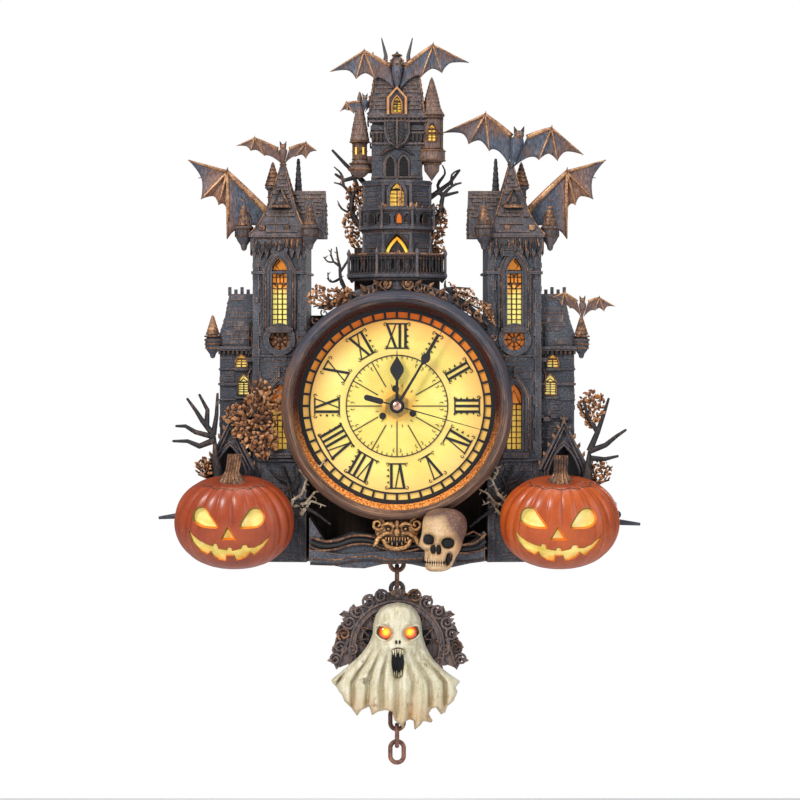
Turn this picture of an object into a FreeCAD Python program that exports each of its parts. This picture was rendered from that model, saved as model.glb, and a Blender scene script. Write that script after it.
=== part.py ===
import FreeCAD, Part
import math
import os

# Haunted castle wall clock with a ghost pendulum, in millimetres.
# X runs right and Z up as seen from the front, and Y = 0 is the wall, so the clock reaches towards -Y.
# The pieces are drawn about the dial's centre, and save() lowers them so that the origin is the hanger hole.

# Driving dimensions
dial_drop = 68.0            # dial centre below the hanger hole
board_thick = 5.0           # back board
bezel_radius = 63.5
bezel_depth = 19.0
bezel_inner_radius = 54.6
housing_depth = 33.0        # from the back board to the dial
housing_radius = 60.5
dial_radius = 57.0
dial_thick = 2.0
tower_offset = 62.0         # side tower axis to the centre line
tower_width = 28.0
tower_yaw = 5.0             # degrees, both side towers turn outwards
foot_below_bezel = 22.5      # underside of the castle below the bezel
balcony_over_bezel = 7.5    # lower balcony's floor above the bezel
storey_height = 26.4        # lower balcony to upper balcony
drum_over_balcony = 26.6    # upper balcony to the drum's top
belfry_height = 35.5
piece_gap = 0.3             # clearance between neighbouring castings
running_gap = 0.05          # radial clearance of a turning arbor
cut_overrun = 2.0           # how far a cutting tool passes its target
tiny = 0.000001             # lengths closer than this are equal

castle_foot = -bezel_radius - foot_below_bezel
lower_balcony_z = bezel_radius + balcony_over_bezel
upper_balcony_z = lower_balcony_z + storey_height
drum_top = upper_balcony_z + drum_over_balcony
belfry_top = drum_top + belfry_height
board_front = -board_thick
dial_back = board_front - housing_depth
dial_front = dial_back - dial_thick


def vector(x, y, z):
    return FreeCAD.Vector(x, y, z)


def positive(shape):
    """The shape with its faces turned outwards."""
    if shape.Volume < 0:
        shape.reverse()
    return shape


def block(x0, x1, y0, y1, z0, z1):
    corner = vector(min(x0, x1), min(y0, y1), min(z0, z1))
    return Part.makeBox(abs(x1 - x0), abs(y1 - y0), abs(z1 - z0), corner)


def rod_y(x, z, radius, y0, y1):
    return Part.makeCylinder(radius, abs(y1 - y0), vector(x, min(y0, y1), z), vector(0, 1, 0))


def rod_z(x, y, radius, z0, z1):
    return Part.makeCylinder(radius, abs(z1 - z0), vector(x, y, min(z0, z1)), vector(0, 0, 1))


def rod(start, end, radius_start, radius_end):
    """A round or tapered bar between two points."""
    along = end - start
    if abs(radius_start - radius_end) < tiny:
        return Part.makeCylinder(radius_start, along.Length, start, along)
    return Part.makeCone(radius_start, radius_end, along.Length, start, along)


def ring_y(x, z, outer, inner, y0, y1):
    hole = rod_y(x, z, inner, min(y0, y1) - cut_overrun, max(y0, y1) + cut_overrun)
    return rod_y(x, z, outer, y0, y1).cut(hole)


def loop_wire(points):
    return Part.makePolygon(list(points) + [points[0]])


def plate(points, y0, y1):
    """An outline of (x, z) points, thick from y0 to y1."""
    face = Part.Face(loop_wire([vector(x, y0, z) for x, z in points]))
    return positive(face.extrude(vector(0, y1 - y0, 0)))


def curved_plate(start, steps, y0, y1):
    """A plate whose outline has lines (x, z) and arcs (via x, via z, x, z)."""
    edges = []
    here = vector(start[0], y0, start[1])
    for step in steps:
        there = vector(step[-2], y0, step[-1])
        if len(step) == 2:
            edges.append(Part.LineSegment(here, there).toShape())
        else:
            edges.append(Part.Arc(here, vector(step[0], y0, step[1]), there).toShape())
        here = there
    first = vector(start[0], y0, start[1])
    if here.distanceToPoint(first) > tiny:
        edges.append(Part.LineSegment(here, first).toShape())
    return positive(Part.Face(Part.Wire(edges)).extrude(vector(0, y1 - y0, 0)))


def turned_z(profile, x, y):
    """A turned piece: (radius, z) points about the vertical axis at x, y."""
    face = Part.Face(loop_wire([vector(x + r, y, z) for r, z in profile]))
    return positive(face.revolve(vector(x, y, 0), vector(0, 0, 1), 360))


def turned_y(profile, x=0, z=0):
    """A turned piece: (radius, y) points about the axis along Y at x, z."""
    face = Part.Face(loop_wire([vector(x + r, y, z) for r, y in profile]))
    return positive(face.revolve(vector(x, 0, z), vector(0, 1, 0), 360))


def square_loft(sections, x, y):
    """A straight-sided body through (half width, half depth, z) sections."""
    wires = []
    for half_x, half_y, z in sections:
        corners = [(-1, -1), (1, -1), (1, 1), (-1, 1)]
        wires.append(loop_wire([vector(x + i * half_x, y + j * half_y, z) for i, j in corners]))
    return positive(Part.makeLoft(wires, True, True))


def fused(*shapes):
    flat = list(shapes)
    if len(flat) == 1:
        return flat[0]
    return flat[0].multiFuse(flat[1:]).removeSplitter()


def mirrored(shape):
    return shape.mirror(vector(0, 0, 0), vector(1, 0, 0))


def turned_about(shape, x, y, degrees):
    """The shape turned about the vertical line at x, y."""
    copy = shape.copy()
    copy.rotate(vector(x, y, 0), vector(0, 0, 1), degrees)
    return copy


os.makedirs("parts", exist_ok=True)


def save(node, *shapes):
    """Writes one node, lowered so that the hanger hole is the origin."""
    solids = []
    for shape in shapes:
        solids.extend(shape.Solids)
    group = solids[0] if len(solids) == 1 else Part.makeCompound(solids)
    moved = group.copy()
    moved.translate(vector(0, 0, -dial_drop))
    moved.exportStep("parts/" + node + ".step")
    volume = sum(solid.Volume for solid in solids)
    valid = all(solid.isValid() for solid in solids)
    print(f"{node:18s} solids {len(solids):3d} volume {volume:10.1f} valid {valid}")


# Room that the dial's housing and bezel take, cut from the castings round them
dial_room = fused(
    rod_y(0, 0, housing_radius + piece_gap, dial_back, cut_overrun),
    rod_y(0, 0, bezel_radius + piece_gap, dial_back - bezel_depth - cut_overrun, dial_back),
)


def seated(shape, clear_of_dial=True):
    """A casting trimmed to the front of the back board, and round the dial."""
    reach = 4 * bezel_radius
    trimmed = shape.cut(block(-reach, reach, board_front, reach, -reach, reach))
    return trimmed.cut(dial_room) if clear_of_dial else trimmed


# Back board
board_hole_radius = 46.0
spine_half_width = 14.0
spine_rise = 22.0           # board's top above the drum
tower_board_top = 96.0
house_board_top = 56.0
house_offset = 86.0
house_width = 25.0
board_foot = castle_foot + piece_gap

inner_board = tower_offset - tower_width / 2 + piece_gap * 2
outer_board = tower_offset + tower_width / 2 - piece_gap * 2
house_edge = house_offset + house_width / 2 - piece_gap * 2
tower_peak_half = tower_width / 5
shoulder_z = bezel_radius * 0.8
spine_top = drum_top + spine_rise

right_half = [
    (spine_half_width, spine_top),
    (spine_half_width, shoulder_z),
    (inner_board, shoulder_z),
    (inner_board, tower_board_top - tower_width / 2),
    (tower_offset - tower_peak_half, tower_board_top),
    (tower_offset + tower_peak_half, tower_board_top),
    (outer_board, tower_board_top - tower_width / 2),
    (outer_board, house_board_top),
    (house_edge - tower_peak_half, house_board_top),
    (house_edge, house_board_top - tower_width),
    (house_edge, castle_foot / 2),
    (outer_board, board_foot),
]
board_outline = right_half + [(-x, z) for x, z in reversed(right_half)]
back_board = plate(board_outline, 0, board_front)
back_board = back_board.cut(rod_y(0, 0, board_hole_radius, cut_overrun, board_front - cut_overrun))

# Keyhole hanger plate, let into the back of the board
hanger_width = 38.0
hanger_height = 18.0
hanger_thick = 1.5
hanger_hole_radius = 5.0
hanger_slot_width = 5.0
hanger_slot_rise = 9.0      # centre of the round hole to the slot's upper centre
hanger_head_room = 2.6      # depth behind the plate for the wall screw's head
hanger_screw_offset = 15.0
screw_head_radius = 2.2
screw_head_thick = 1.0
screw_shank_radius = 1.1
screw_shank_length = 3.4

hanger_z = dial_drop
slot_centre_z = hanger_z + hanger_slot_rise


def keyhole(extra, y0, y1):
    """The round hole and the slot above it, wider all round by extra."""
    half = hanger_slot_width / 2 + extra
    hole = rod_y(0, hanger_z, hanger_hole_radius + extra, y0, y1)
    return fused(hole, block(-half, half, y0, y1, hanger_z, slot_centre_z),
                 rod_y(0, slot_centre_z, half, y0, y1))


hanger_low = hanger_z - hanger_hole_radius - (hanger_height - hanger_slot_rise - hanger_hole_radius) / 2
hanger_high = hanger_low + hanger_height + hanger_slot_width
hanger_recess = block(
    -hanger_width / 2 - piece_gap, hanger_width / 2 + piece_gap, cut_overrun, -hanger_thick,
    hanger_low - piece_gap, hanger_high + piece_gap,
)
hanger_plate = block(-hanger_width / 2, hanger_width / 2, 0, -hanger_thick, hanger_low, hanger_high)
hanger_plate = hanger_plate.cut(keyhole(0, cut_overrun, -hanger_thick - cut_overrun))
board_widening = block(
    -hanger_width / 2 - board_thick, hanger_width / 2 + board_thick, 0, board_front,
    shoulder_z, hanger_high + board_thick,
)
back_board = back_board.fuse(board_widening).removeSplitter()
back_board = back_board.cut(hanger_recess)
head_room = keyhole(hanger_slot_width / 5, -hanger_thick, -hanger_thick - hanger_head_room)
back_board = back_board.cut(head_room)

hanger_screws = []
for side in (-1, 1):
    x = side * hanger_screw_offset
    head = rod_y(x, hanger_z, screw_head_radius, 0, -screw_head_thick)
    shank = rod_y(x, hanger_z, screw_shank_radius, -screw_head_thick, -screw_head_thick - screw_shank_length)
    hanger_screws.append(fused(head, shank))
    sink = rod_y(x, hanger_z, screw_head_radius + running_gap, cut_overrun, -screw_head_thick)
    bore = rod_y(x, hanger_z, screw_shank_radius + running_gap, cut_overrun,
                 -screw_head_thick - screw_shank_length - piece_gap)
    hanger_plate = hanger_plate.cut(fused(sink, bore))
    back_board = back_board.cut(bore)

# Slide switch for the lamps, in a slot below the board's hole
switch_z = -50.5
switch_travel = 3.0
switch_nub_width = 4.0
switch_nub_height = 3.2
switch_flange_width = 8.0
switch_flange_height = 5.0
switch_flange_thick = 1.2
switch_wall = 2.0           # board left over the flange

slot_half_width = (switch_nub_width + switch_travel) / 2 + piece_gap
pocket_half_width = (switch_flange_width + switch_travel) / 2 + piece_gap
slot_half_height = switch_nub_height / 2 + piece_gap / 2
pocket_half_height = switch_flange_height / 2 + piece_gap / 2
back_board = back_board.cut(block(
    -slot_half_width, slot_half_width, cut_overrun, board_front,
    switch_z - slot_half_height, switch_z + slot_half_height,
))
back_board = back_board.cut(block(
    -pocket_half_width, pocket_half_width, -switch_wall, board_front - cut_overrun,
    switch_z - pocket_half_height, switch_z + pocket_half_height,
))
switch_left = -switch_travel / 2
flange_front = -switch_wall - piece_gap / 2 - switch_flange_thick
light_switch = fused(
    block(switch_left - switch_flange_width / 2, switch_left + switch_flange_width / 2,
          -switch_wall - piece_gap / 2, flange_front,
          switch_z - switch_flange_height / 2, switch_z + switch_flange_height / 2),
    block(switch_left - switch_nub_width / 2, switch_left + switch_nub_width / 2,
          -piece_gap, flange_front,
          switch_z - switch_nub_height / 2, switch_z + switch_nub_height / 2),
)
# The switch's contact box closes the pocket from the front
switch_box = block(
    -pocket_half_width - piece_gap, pocket_half_width + piece_gap, board_front, board_front - switch_wall,
    switch_z - pocket_half_height - piece_gap, switch_z + pocket_half_height,
)
save("back_board", back_board)
save("hanger_plate", hanger_plate)
save("light_switch", light_switch)

# Dial housing: a round wall with a lamp ring on a ledge inside
housing_wall = 4.0
housing_inner = housing_radius - housing_wall
lamp_ring_width = 6.0
lamp_ring_thick = 1.6
lamp_ring_setback = 8.0     # behind the dial
lamp_count = 12
lamp_radius = 1.5
lamp_length = 3.0
ledge_width = 2.0
ledge_thick = 2.0

dial_housing = ring_y(0, 0, housing_radius, housing_inner, board_front, dial_back)
lamp_back = dial_back + lamp_ring_setback
ledge = ring_y(0, 0, housing_inner + piece_gap, housing_inner - ledge_width, lamp_back,
               lamp_back + ledge_thick)
dial_housing = dial_housing.fuse(ledge).removeSplitter()
lamp_ring = ring_y(0, 0, housing_inner - piece_gap, housing_inner - lamp_ring_width,
                   lamp_back, lamp_back - lamp_ring_thick)
lamps = []
lamp_circle = housing_inner - lamp_ring_width / 2
for index in range(lamp_count):
    angle = 2 * math.pi * index / lamp_count
    lamps.append(rod_y(lamp_circle * math.cos(angle), lamp_circle * math.sin(angle), lamp_radius,
                       lamp_back - lamp_ring_thick, lamp_back - lamp_ring_thick - lamp_length))
save("dial_housing", dial_housing)

# Dial plate with its centre hole and three screw holes
bushing_radius = 4.0
dial_screw_circle = 9.6
dial_screw_angles = (95.0, 215.0, 335.0)
dial_screw_head_radius = 1.9
dial_screw_head_thick = 0.9
dial_screw_shank_radius = 0.8

dial_plate = rod_y(0, 0, dial_radius, dial_back, dial_front)
dial_plate = dial_plate.cut(rod_y(0, 0, bushing_radius + running_gap, dial_back + cut_overrun,
                                  dial_front - cut_overrun))
dial_screws = []
dial_screw_places = []
case_wall = 1.2
for angle in dial_screw_angles:
    x = dial_screw_circle * math.cos(math.radians(angle))
    z = dial_screw_circle * math.sin(math.radians(angle))
    dial_screw_places.append((x, z))
    dial_plate = dial_plate.cut(rod_y(x, z, dial_screw_shank_radius + running_gap,
                                      dial_back + cut_overrun, dial_front - cut_overrun))
    head = rod_y(x, z, dial_screw_head_radius, dial_front, dial_front - dial_screw_head_thick)
    shank = rod_y(x, z, dial_screw_shank_radius, dial_front, dial_back + case_wall)
    dial_screws.append(fused(head, shank))
save("dial_plate", dial_plate)
save("screws", *(hanger_screws + dial_screws))

# Chapter ring: a black ring with 48 windows onto the lit dial
chapter_thick = 1.0
chapter_outer = bezel_inner_radius + 0.8 * chapter_thick
chapter_inner = 47.6
chapter_window_outer = 51.7
chapter_window_inner = 48.6
chapter_windows = 48
chapter_bar_share = 0.2     # share of each pitch that is bar

chapter_ring = ring_y(0, 0, chapter_outer, chapter_inner, dial_front, dial_front - chapter_thick)
window_cuts = []
window_pitch = 360.0 / chapter_windows
window_half = window_pitch * (1 - chapter_bar_share) / 2
for index in range(chapter_windows):
    corners = []
    for radius, turn in ((chapter_window_inner, -1), (chapter_window_outer, -1),
                         (chapter_window_outer, 1), (chapter_window_inner, 1)):
        angle = math.radians((index + 0.5) * window_pitch + turn * window_half)
        corners.append((radius * math.cos(angle), radius * math.sin(angle)))
    window_cuts.append(plate(corners, dial_front + cut_overrun, dial_front - chapter_thick - cut_overrun))
chapter_ring = chapter_ring.cut(Part.makeCompound(window_cuts))
save("chapter_ring", chapter_ring)

# Hour numerals and the inner track, thin black pieces on the dial
numeral_thick = 0.5
numeral_inner = 31.4
numeral_outer = 45.6
numeral_bar = 1.5           # width of a thick stroke
numeral_hair = 0.7          # width of a thin stroke
numeral_serif = 0.8         # height of the end bars
numeral_pitch = 3.1         # spacing of upright strokes
track_radius = 28.2
track_width = 0.6
tick_length = 1.4
tick_width = 0.35
spoke_inner = 8.2
spoke_width = 0.55
tick_count = 60
spoke_angles = (30, 60, 90, 120, 150, 180, 210, 240, 270, 300, 330)

numeral_words = ("XII", "I", "II", "III", "IV", "V", "VI", "VII", "VIII", "IX", "X", "XI")
stroke_units = {"I": 1.0, "V": 2.0, "X": 2.0}
markings_front = dial_front - numeral_thick


def slanted(x0, z0, x1, z1, width):
    """A stroke of the given width from one level to another."""
    half = width / 2
    return plate([(x0 - half, z0), (x0 + half, z0), (x1 + half, z1), (x1 - half, z1)], dial_front,
                 markings_front)


def numeral(word):
    """One numeral, upright above the dial's centre."""
    total = sum(stroke_units[letter] for letter in word) * numeral_pitch
    left = -total / 2
    low, high = numeral_inner + numeral_serif, numeral_outer - numeral_serif
    strokes = [
        plate([(left, numeral_inner), (-left, numeral_inner), (-left, low), (left, low)], dial_front,
              markings_front),
        plate([(left, high), (-left, high), (-left, numeral_outer), (left, numeral_outer)], dial_front,
              markings_front),
    ]
    for letter in word:
        width = stroke_units[letter] * numeral_pitch
        middle = left + width / 2
        wide = width / 2 - numeral_bar / 2
        if letter == "I":
            strokes.append(slanted(middle, low, middle, high, numeral_bar))
        elif letter == "V":
            strokes.append(slanted(middle, low, middle - wide, high, numeral_bar))
            strokes.append(slanted(middle, low, middle + wide, high, numeral_hair))
        else:
            strokes.append(slanted(middle + wide, low, middle - wide, high, numeral_bar))
            strokes.append(slanted(middle - wide, low, middle + wide, high, numeral_hair))
        left += width
    return fused(*strokes)


markings = []
for hour, word in enumerate(numeral_words):
    shape = numeral(word)
    shape.rotate(vector(0, 0, 0), vector(0, 1, 0), 30.0 * hour)
    markings.append(shape)
track = [ring_y(0, 0, track_radius, track_radius - track_width, dial_front, markings_front)]
for index in range(tick_count):
    tick = block(-tick_width / 2, tick_width / 2, dial_front, markings_front,
                 track_radius - track_width - tick_length, track_radius - track_width / 2)
    tick.rotate(vector(0, 0, 0), vector(0, 1, 0), 360.0 * index / tick_count)
    track.append(tick)
for angle in spoke_angles:
    inner = spoke_inner if angle % 90 == 0 else spoke_inner + dial_screw_head_radius * 2
    spoke = block(-spoke_width / 2, spoke_width / 2, dial_front, markings_front,
                  inner, track_radius - track_width / 2)
    spoke.rotate(vector(0, 0, 0), vector(0, 1, 0), angle)
    track.append(spoke)
markings.append(fused(*track))
save("dial_markings", *markings)

# Bezel: a turned wood ring with stepped mouldings, rebated for the dial
bezel_back = dial_back
bezel_front = bezel_back - bezel_depth
rebate_radius = dial_radius + piece_gap
rebate_depth = dial_thick + chapter_thick
bezel_width = bezel_radius - bezel_inner_radius
# Each share is (of the ring's width from its bore, of its depth from the back)
bezel_profile_shares = (
    (0.00, 0.52), (0.10, 0.52), (0.10, 0.62), (0.24, 0.66), (0.24, 0.78), (0.34, 0.80), (0.34, 0.92),
    (0.46, 1.00), (0.66, 1.00), (0.78, 0.90), (0.78, 0.82), (0.88, 0.76), (0.88, 0.62), (1.00, 0.50),
    (1.00, 0.00),
)
bezel_profile = [
    (bezel_inner_radius + share * bezel_width, bezel_back - depth * bezel_depth)
    for share, depth in bezel_profile_shares
]
bezel_profile += [
    (rebate_radius, bezel_back),
    (rebate_radius, bezel_back - rebate_depth),
    (bezel_inner_radius, bezel_back - rebate_depth),
]
bezel_ring = turned_y(bezel_profile)
save("bezel_ring", bezel_ring)


# Quartz movement. Levels count back from the front of its case, which lies on the dial's back.
case_half = 28.0
case_depth = 16.0
lid_thick = 1.2
battery_radius = 7.1
battery_length = 50.0
battery_tip_radius = 2.7
battery_tip_length = 0.8
bay_wall = 1.0
bushing_reach = 3.2         # threaded bushing in front of the dial
hour_pipe_radius = 2.3
hour_bore_radius = 1.36
minute_pipe_radius = 1.3
second_arbor_radius = 0.5
arbor_radius = 0.7
pivot_radius = 0.4
pivot_length = 0.8
gear_thick = 1.2
level_gap = 0.4             # between neighbouring gears along the arbors

# Gear train: module by mesh, teeth by wheel
rotor_module = 0.3
rotor_leaves = 8
fifth_teeth = 40
fifth_module = 0.36
fifth_leaves = 8
second_teeth = 48
third_module = 0.32
third_leaves = 8
centre_teeth = 64
second_leaves = 8
third_teeth = 60
motion_module = 0.4
cannon_leaves = 12
work_teeth = 36
hour_teeth = 48
work_leaves = 12
knob_leaves = 12

motion_centres = motion_module * (cannon_leaves + work_teeth) / 2
hour_module = 2 * motion_centres / (work_leaves + hour_teeth)
third_centres = third_module * (third_leaves + centre_teeth) / 2
second_module = 2 * third_centres / (second_leaves + third_teeth)
fifth_centres = fifth_module * (fifth_leaves + second_teeth) / 2
rotor_centres = rotor_module * (rotor_leaves + fifth_teeth) / 2
third_direction = 35.0
fifth_direction = 145.0
tooth_share = 0.36          # tooth thickness of its pitch, at the pitch circle
tooth_tip_share = 0.18
tooth_root_share = 0.5
addendum_share = 0.8        # of the module
dedendum_share = 1.15

third_x = third_centres * math.cos(math.radians(third_direction))
third_z = third_centres * math.sin(math.radians(third_direction))
fifth_x = fifth_centres * math.cos(math.radians(fifth_direction))
fifth_z = fifth_centres * math.sin(math.radians(fifth_direction))
rotor_x = fifth_x - rotor_centres
rotor_z = fifth_z
work_z = motion_centres
knob_z = 2 * motion_centres


def level(distance):
    return dial_back + distance


def gear(x, z, teeth, module, near, far, bore, tooth_direction):
    """A toothed wheel between two levels, with a tooth centred on a direction."""
    pitch_radius = teeth * module / 2
    outer = pitch_radius + addendum_share * module
    root = pitch_radius - dedendum_share * module
    step = 2 * math.pi / teeth
    flank = ((root, -tooth_root_share), (pitch_radius, -tooth_share), (outer, -tooth_tip_share),
             (outer, tooth_tip_share), (pitch_radius, tooth_share), (root, tooth_root_share))
    points = []
    for index in range(teeth):
        middle = math.radians(tooth_direction) + index * step
        for radius, share in flank:
            angle = middle + share * step / 2
            points.append((x + radius * math.cos(angle), z + radius * math.sin(angle)))
    wheel = plate(points, level(near), level(far))
    if bore > 0:
        wheel = wheel.cut(rod_y(x, z, bore, level(near) - cut_overrun, level(far) + cut_overrun))
    return wheel


def lightened(wheel, x, z, near, far, inner, outer, spokes):
    """The wheel with round windows between its spokes."""
    radius = (outer - inner) / 2
    circle = (outer + inner) / 2
    for index in range(spokes):
        angle = 2 * math.pi * (index + 0.5) / spokes
        wheel = wheel.cut(rod_y(x + circle * math.cos(angle), z + circle * math.sin(angle), radius,
                                level(near) - cut_overrun, level(far) + cut_overrun))
    return wheel


work_pinion_level = case_wall + level_gap * 2
work_level = work_pinion_level + gear_thick + level_gap
centre_level = work_level + gear_thick + level_gap
third_level = centre_level + gear_thick + level_gap * 1.5
second_level = third_level + gear_thick + level_gap * 1.5
fifth_level = second_level + gear_thick + level_gap
lid_level = case_depth - lid_thick
case_front_bearing = case_wall - pivot_length / 2

# Hour wheel and its pipe
hour_pipe_end = dial_front - bushing_reach - gear_thick
hour_wheel = gear(0, 0, hour_teeth, hour_module, work_pinion_level, work_pinion_level + gear_thick,
                  hour_bore_radius, 90 + 180 / hour_teeth)
hour_wheel = hour_wheel.fuse(ring_y(0, 0, hour_pipe_radius, hour_bore_radius, hour_pipe_end,
                                    level(work_pinion_level + gear_thick))).removeSplitter()

# Minute pipe with the cannon pinion, carrying the friction wheel
minute_pipe_end = hour_pipe_end - gear_thick * 1.8
minute_pipe_back = centre_level + gear_thick + level_gap
minute_pipe = gear(0, 0, cannon_leaves, motion_module, work_level, work_level + gear_thick, 0, 90)
minute_pipe = minute_pipe.fuse(rod_y(0, 0, minute_pipe_radius, minute_pipe_end, level(minute_pipe_back)))
minute_pipe = minute_pipe.removeSplitter().cut(
    rod_y(0, 0, second_arbor_radius + running_gap, minute_pipe_end - cut_overrun,
          level(minute_pipe_back) + cut_overrun))
centre_wheel = gear(0, 0, centre_teeth, third_module, centre_level, centre_level + gear_thick,
                    minute_pipe_radius + running_gap, third_direction + 180 / centre_teeth)
centre_wheel = lightened(centre_wheel, 0, 0, centre_level, centre_level + gear_thick,
                         minute_pipe_radius * 2, centre_teeth * third_module / 2 - third_module * 3, 5)

# Work wheel, its pinion and the post it turns on
work_post_radius = 0.9
work_wheel = gear(0, work_z, work_teeth, motion_module, work_level, work_level + gear_thick, 0,
                  270 + 180 / work_teeth)
work_pinion = gear(0, work_z, work_leaves, hour_module, work_pinion_level, work_level, 0, 270)
minute_work_wheel = work_wheel.fuse(work_pinion).removeSplitter().cut(
    rod_y(0, work_z, work_post_radius + running_gap, level(0), level(centre_level)))

# Setting knob, pinion inside and knurled disc outside the lid
knob_radius = 6.0
knob_thick = 3.2
knob_knurls = 24
knob_stem_radius = 1.2
knob_gap = 0.3
knob_teeth_direction = 270.0
knob_pinion = gear(0, knob_z, knob_leaves, motion_module, work_level, work_level + gear_thick, 0,
                   knob_teeth_direction)
knob_stem = rod_y(0, knob_z, knob_stem_radius, level(work_level),
                  level(case_depth + knob_gap + knob_thick / 2))
knob_pivot = rod_y(0, knob_z, pivot_radius, level(case_front_bearing), level(work_level))
knob_disc = rod_y(0, knob_z, knob_radius, level(case_depth + knob_gap),
                  level(case_depth + knob_gap + knob_thick))
knurl_cuts = []
for index in range(knob_knurls):
    angle = 2 * math.pi * index / knob_knurls
    knurl_cuts.append(rod_y(knob_radius * math.cos(angle), knob_z + knob_radius * math.sin(angle),
                            knob_radius / knob_knurls * 1.5, level(case_depth), level(case_depth * 2)))
knob_disc = knob_disc.cut(Part.makeCompound(knurl_cuts))
setting_knob = fused(knob_pinion, knob_stem, knob_pivot, knob_disc)


def arbor(x, z, near, far):
    """A turning shaft with a thinner pivot at each end, near and far the ends of its body."""
    return fused(
        rod_y(x, z, arbor_radius, level(near), level(far)),
        rod_y(x, z, pivot_radius, level(near - pivot_length), level(near)),
        rod_y(x, z, pivot_radius, level(far), level(far + pivot_length)),
    )


lid_bearing = lid_level - level_gap
front_bearing = case_wall + level_gap

third_wheel = fused(
    gear(third_x, third_z, third_teeth, second_module, third_level, third_level + gear_thick, 0,
         third_direction + 180),
    gear(third_x, third_z, third_leaves, third_module, centre_level, third_level, 0, third_direction + 180),
    arbor(third_x, third_z, front_bearing, lid_bearing),
)
third_wheel = lightened(third_wheel, third_x, third_z, third_level, third_level + gear_thick,
                        third_module * third_leaves, third_teeth * second_module / 2 - second_module * 3, 5)

second_arbor_front = minute_pipe_end - gear_thick * 1.6
second_wheel = fused(
    gear(0, 0, second_teeth, fifth_module, second_level, second_level + gear_thick, 0,
         fifth_direction + 180 / second_teeth),
    gear(0, 0, second_leaves, second_module, third_level, second_level, 0,
         third_direction + 180 / second_leaves),
    rod_y(0, 0, arbor_radius, level(third_level), level(lid_bearing)),
    rod_y(0, 0, pivot_radius, level(lid_bearing), level(lid_bearing + pivot_length)),
    rod_y(0, 0, second_arbor_radius, second_arbor_front, level(third_level)),
)
second_wheel = lightened(second_wheel, 0, 0, second_level, second_level + gear_thick,
                         fifth_module * fifth_leaves, second_teeth * fifth_module / 2 - fifth_module * 3, 5)

bracket_level = third_level
bracket_far = third_level + gear_thick
fifth_wheel = fused(
    gear(fifth_x, fifth_z, fifth_teeth, rotor_module, fifth_level, fifth_level + gear_thick, 0, 180),
    gear(fifth_x, fifth_z, fifth_leaves, fifth_module, second_level, fifth_level, 0, fifth_direction + 180),
    arbor(fifth_x, fifth_z, bracket_far + level_gap / 2, lid_bearing),
)

rotor_magnet_radius = 3.0
rotor_magnet_length = 4.0
rotor_pinion = fused(
    gear(rotor_x, rotor_z, rotor_leaves, rotor_module, fifth_level, fifth_level + gear_thick, 0,
         180 / rotor_leaves),
    rod_y(rotor_x, rotor_z, rotor_magnet_radius, level(front_bearing),
          level(front_bearing + rotor_magnet_length)),
    arbor(rotor_x, rotor_z, front_bearing, lid_bearing),
)
save("hour_wheel", hour_wheel)
save("minute_pipe", minute_pipe)
save("centre_wheel", centre_wheel)
save("minute_work_wheel", minute_work_wheel)
save("setting_knob", setting_knob)
save("third_wheel", third_wheel)
save("second_wheel", second_wheel)
save("fifth_wheel", fifth_wheel)
save("rotor_pinion", rotor_pinion)

# Case: a tray with the battery bay below the train, its bushing through the dial
bay_top = -case_half + case_wall + running_gap * 2 + battery_radius * 2 + running_gap * 2
battery_z = -case_half + case_wall + running_gap * 2 + battery_radius
case_inner = case_half - case_wall
movement_case = block(-case_half, case_half, level(0), level(lid_level), -case_half, case_half)
movement_case = movement_case.cut(block(-case_inner, case_inner, level(case_wall), level(case_depth),
                                        bay_top + bay_wall, case_inner))
movement_case = movement_case.cut(block(-case_inner, case_inner, level(case_wall), level(case_depth),
                                        -case_inner, bay_top))
bushing_front = dial_front - bushing_reach
movement_case = movement_case.fuse(rod_y(0, 0, bushing_radius, bushing_front, level(case_wall)))
work_post = rod_y(0, work_z, work_post_radius, level(case_wall / 2), level(centre_level - level_gap))
bracket_half = rotor_module * fifth_leaves
bracket = block(rotor_x - bracket_half, fifth_x + bracket_half, level(bracket_level), level(bracket_far),
                fifth_z - bracket_half, case_half - case_wall / 2)
movement_case = fused(movement_case, work_post, bracket)
bearing_holes = [
    rod_y(0, 0, hour_pipe_radius + running_gap, bushing_front - cut_overrun, level(case_wall + cut_overrun)),
    rod_y(rotor_x, rotor_z, arbor_radius + running_gap, level(bracket_level) - cut_overrun,
          level(case_depth)),
    rod_y(fifth_x, fifth_z, pivot_radius + running_gap, level(bracket_level) - cut_overrun,
          level(case_depth)),
]
for x, z in ((third_x, third_z), (rotor_x, rotor_z), (0, knob_z)):
    bearing_holes.append(rod_y(x, z, pivot_radius + running_gap, level(case_wall / 4),
                               level(case_wall + tiny)))
for x, z in dial_screw_places:
    bearing_holes.append(rod_y(x, z, dial_screw_shank_radius, level(0) - cut_overrun, level(case_wall)))
movement_case = movement_case.cut(Part.makeCompound(bearing_holes))

lid_foot = bay_top + bay_wall / 2
movement_lid = block(-case_half, case_half, level(lid_level), level(case_depth), lid_foot, case_half)
lid_holes = [rod_y(0, knob_z, knob_stem_radius + running_gap, level(lid_level) - cut_overrun,
                   level(case_depth * 2))]
for x, z in ((0, 0), (third_x, third_z), (fifth_x, fifth_z), (rotor_x, rotor_z)):
    lid_holes.append(rod_y(x, z, pivot_radius + running_gap, level(lid_level) - cut_overrun,
                           level(case_depth - lid_thick / 4)))
movement_lid = movement_lid.cut(Part.makeCompound(lid_holes))
save("movement_case", movement_case)
save("movement_lid", movement_lid)

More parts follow.
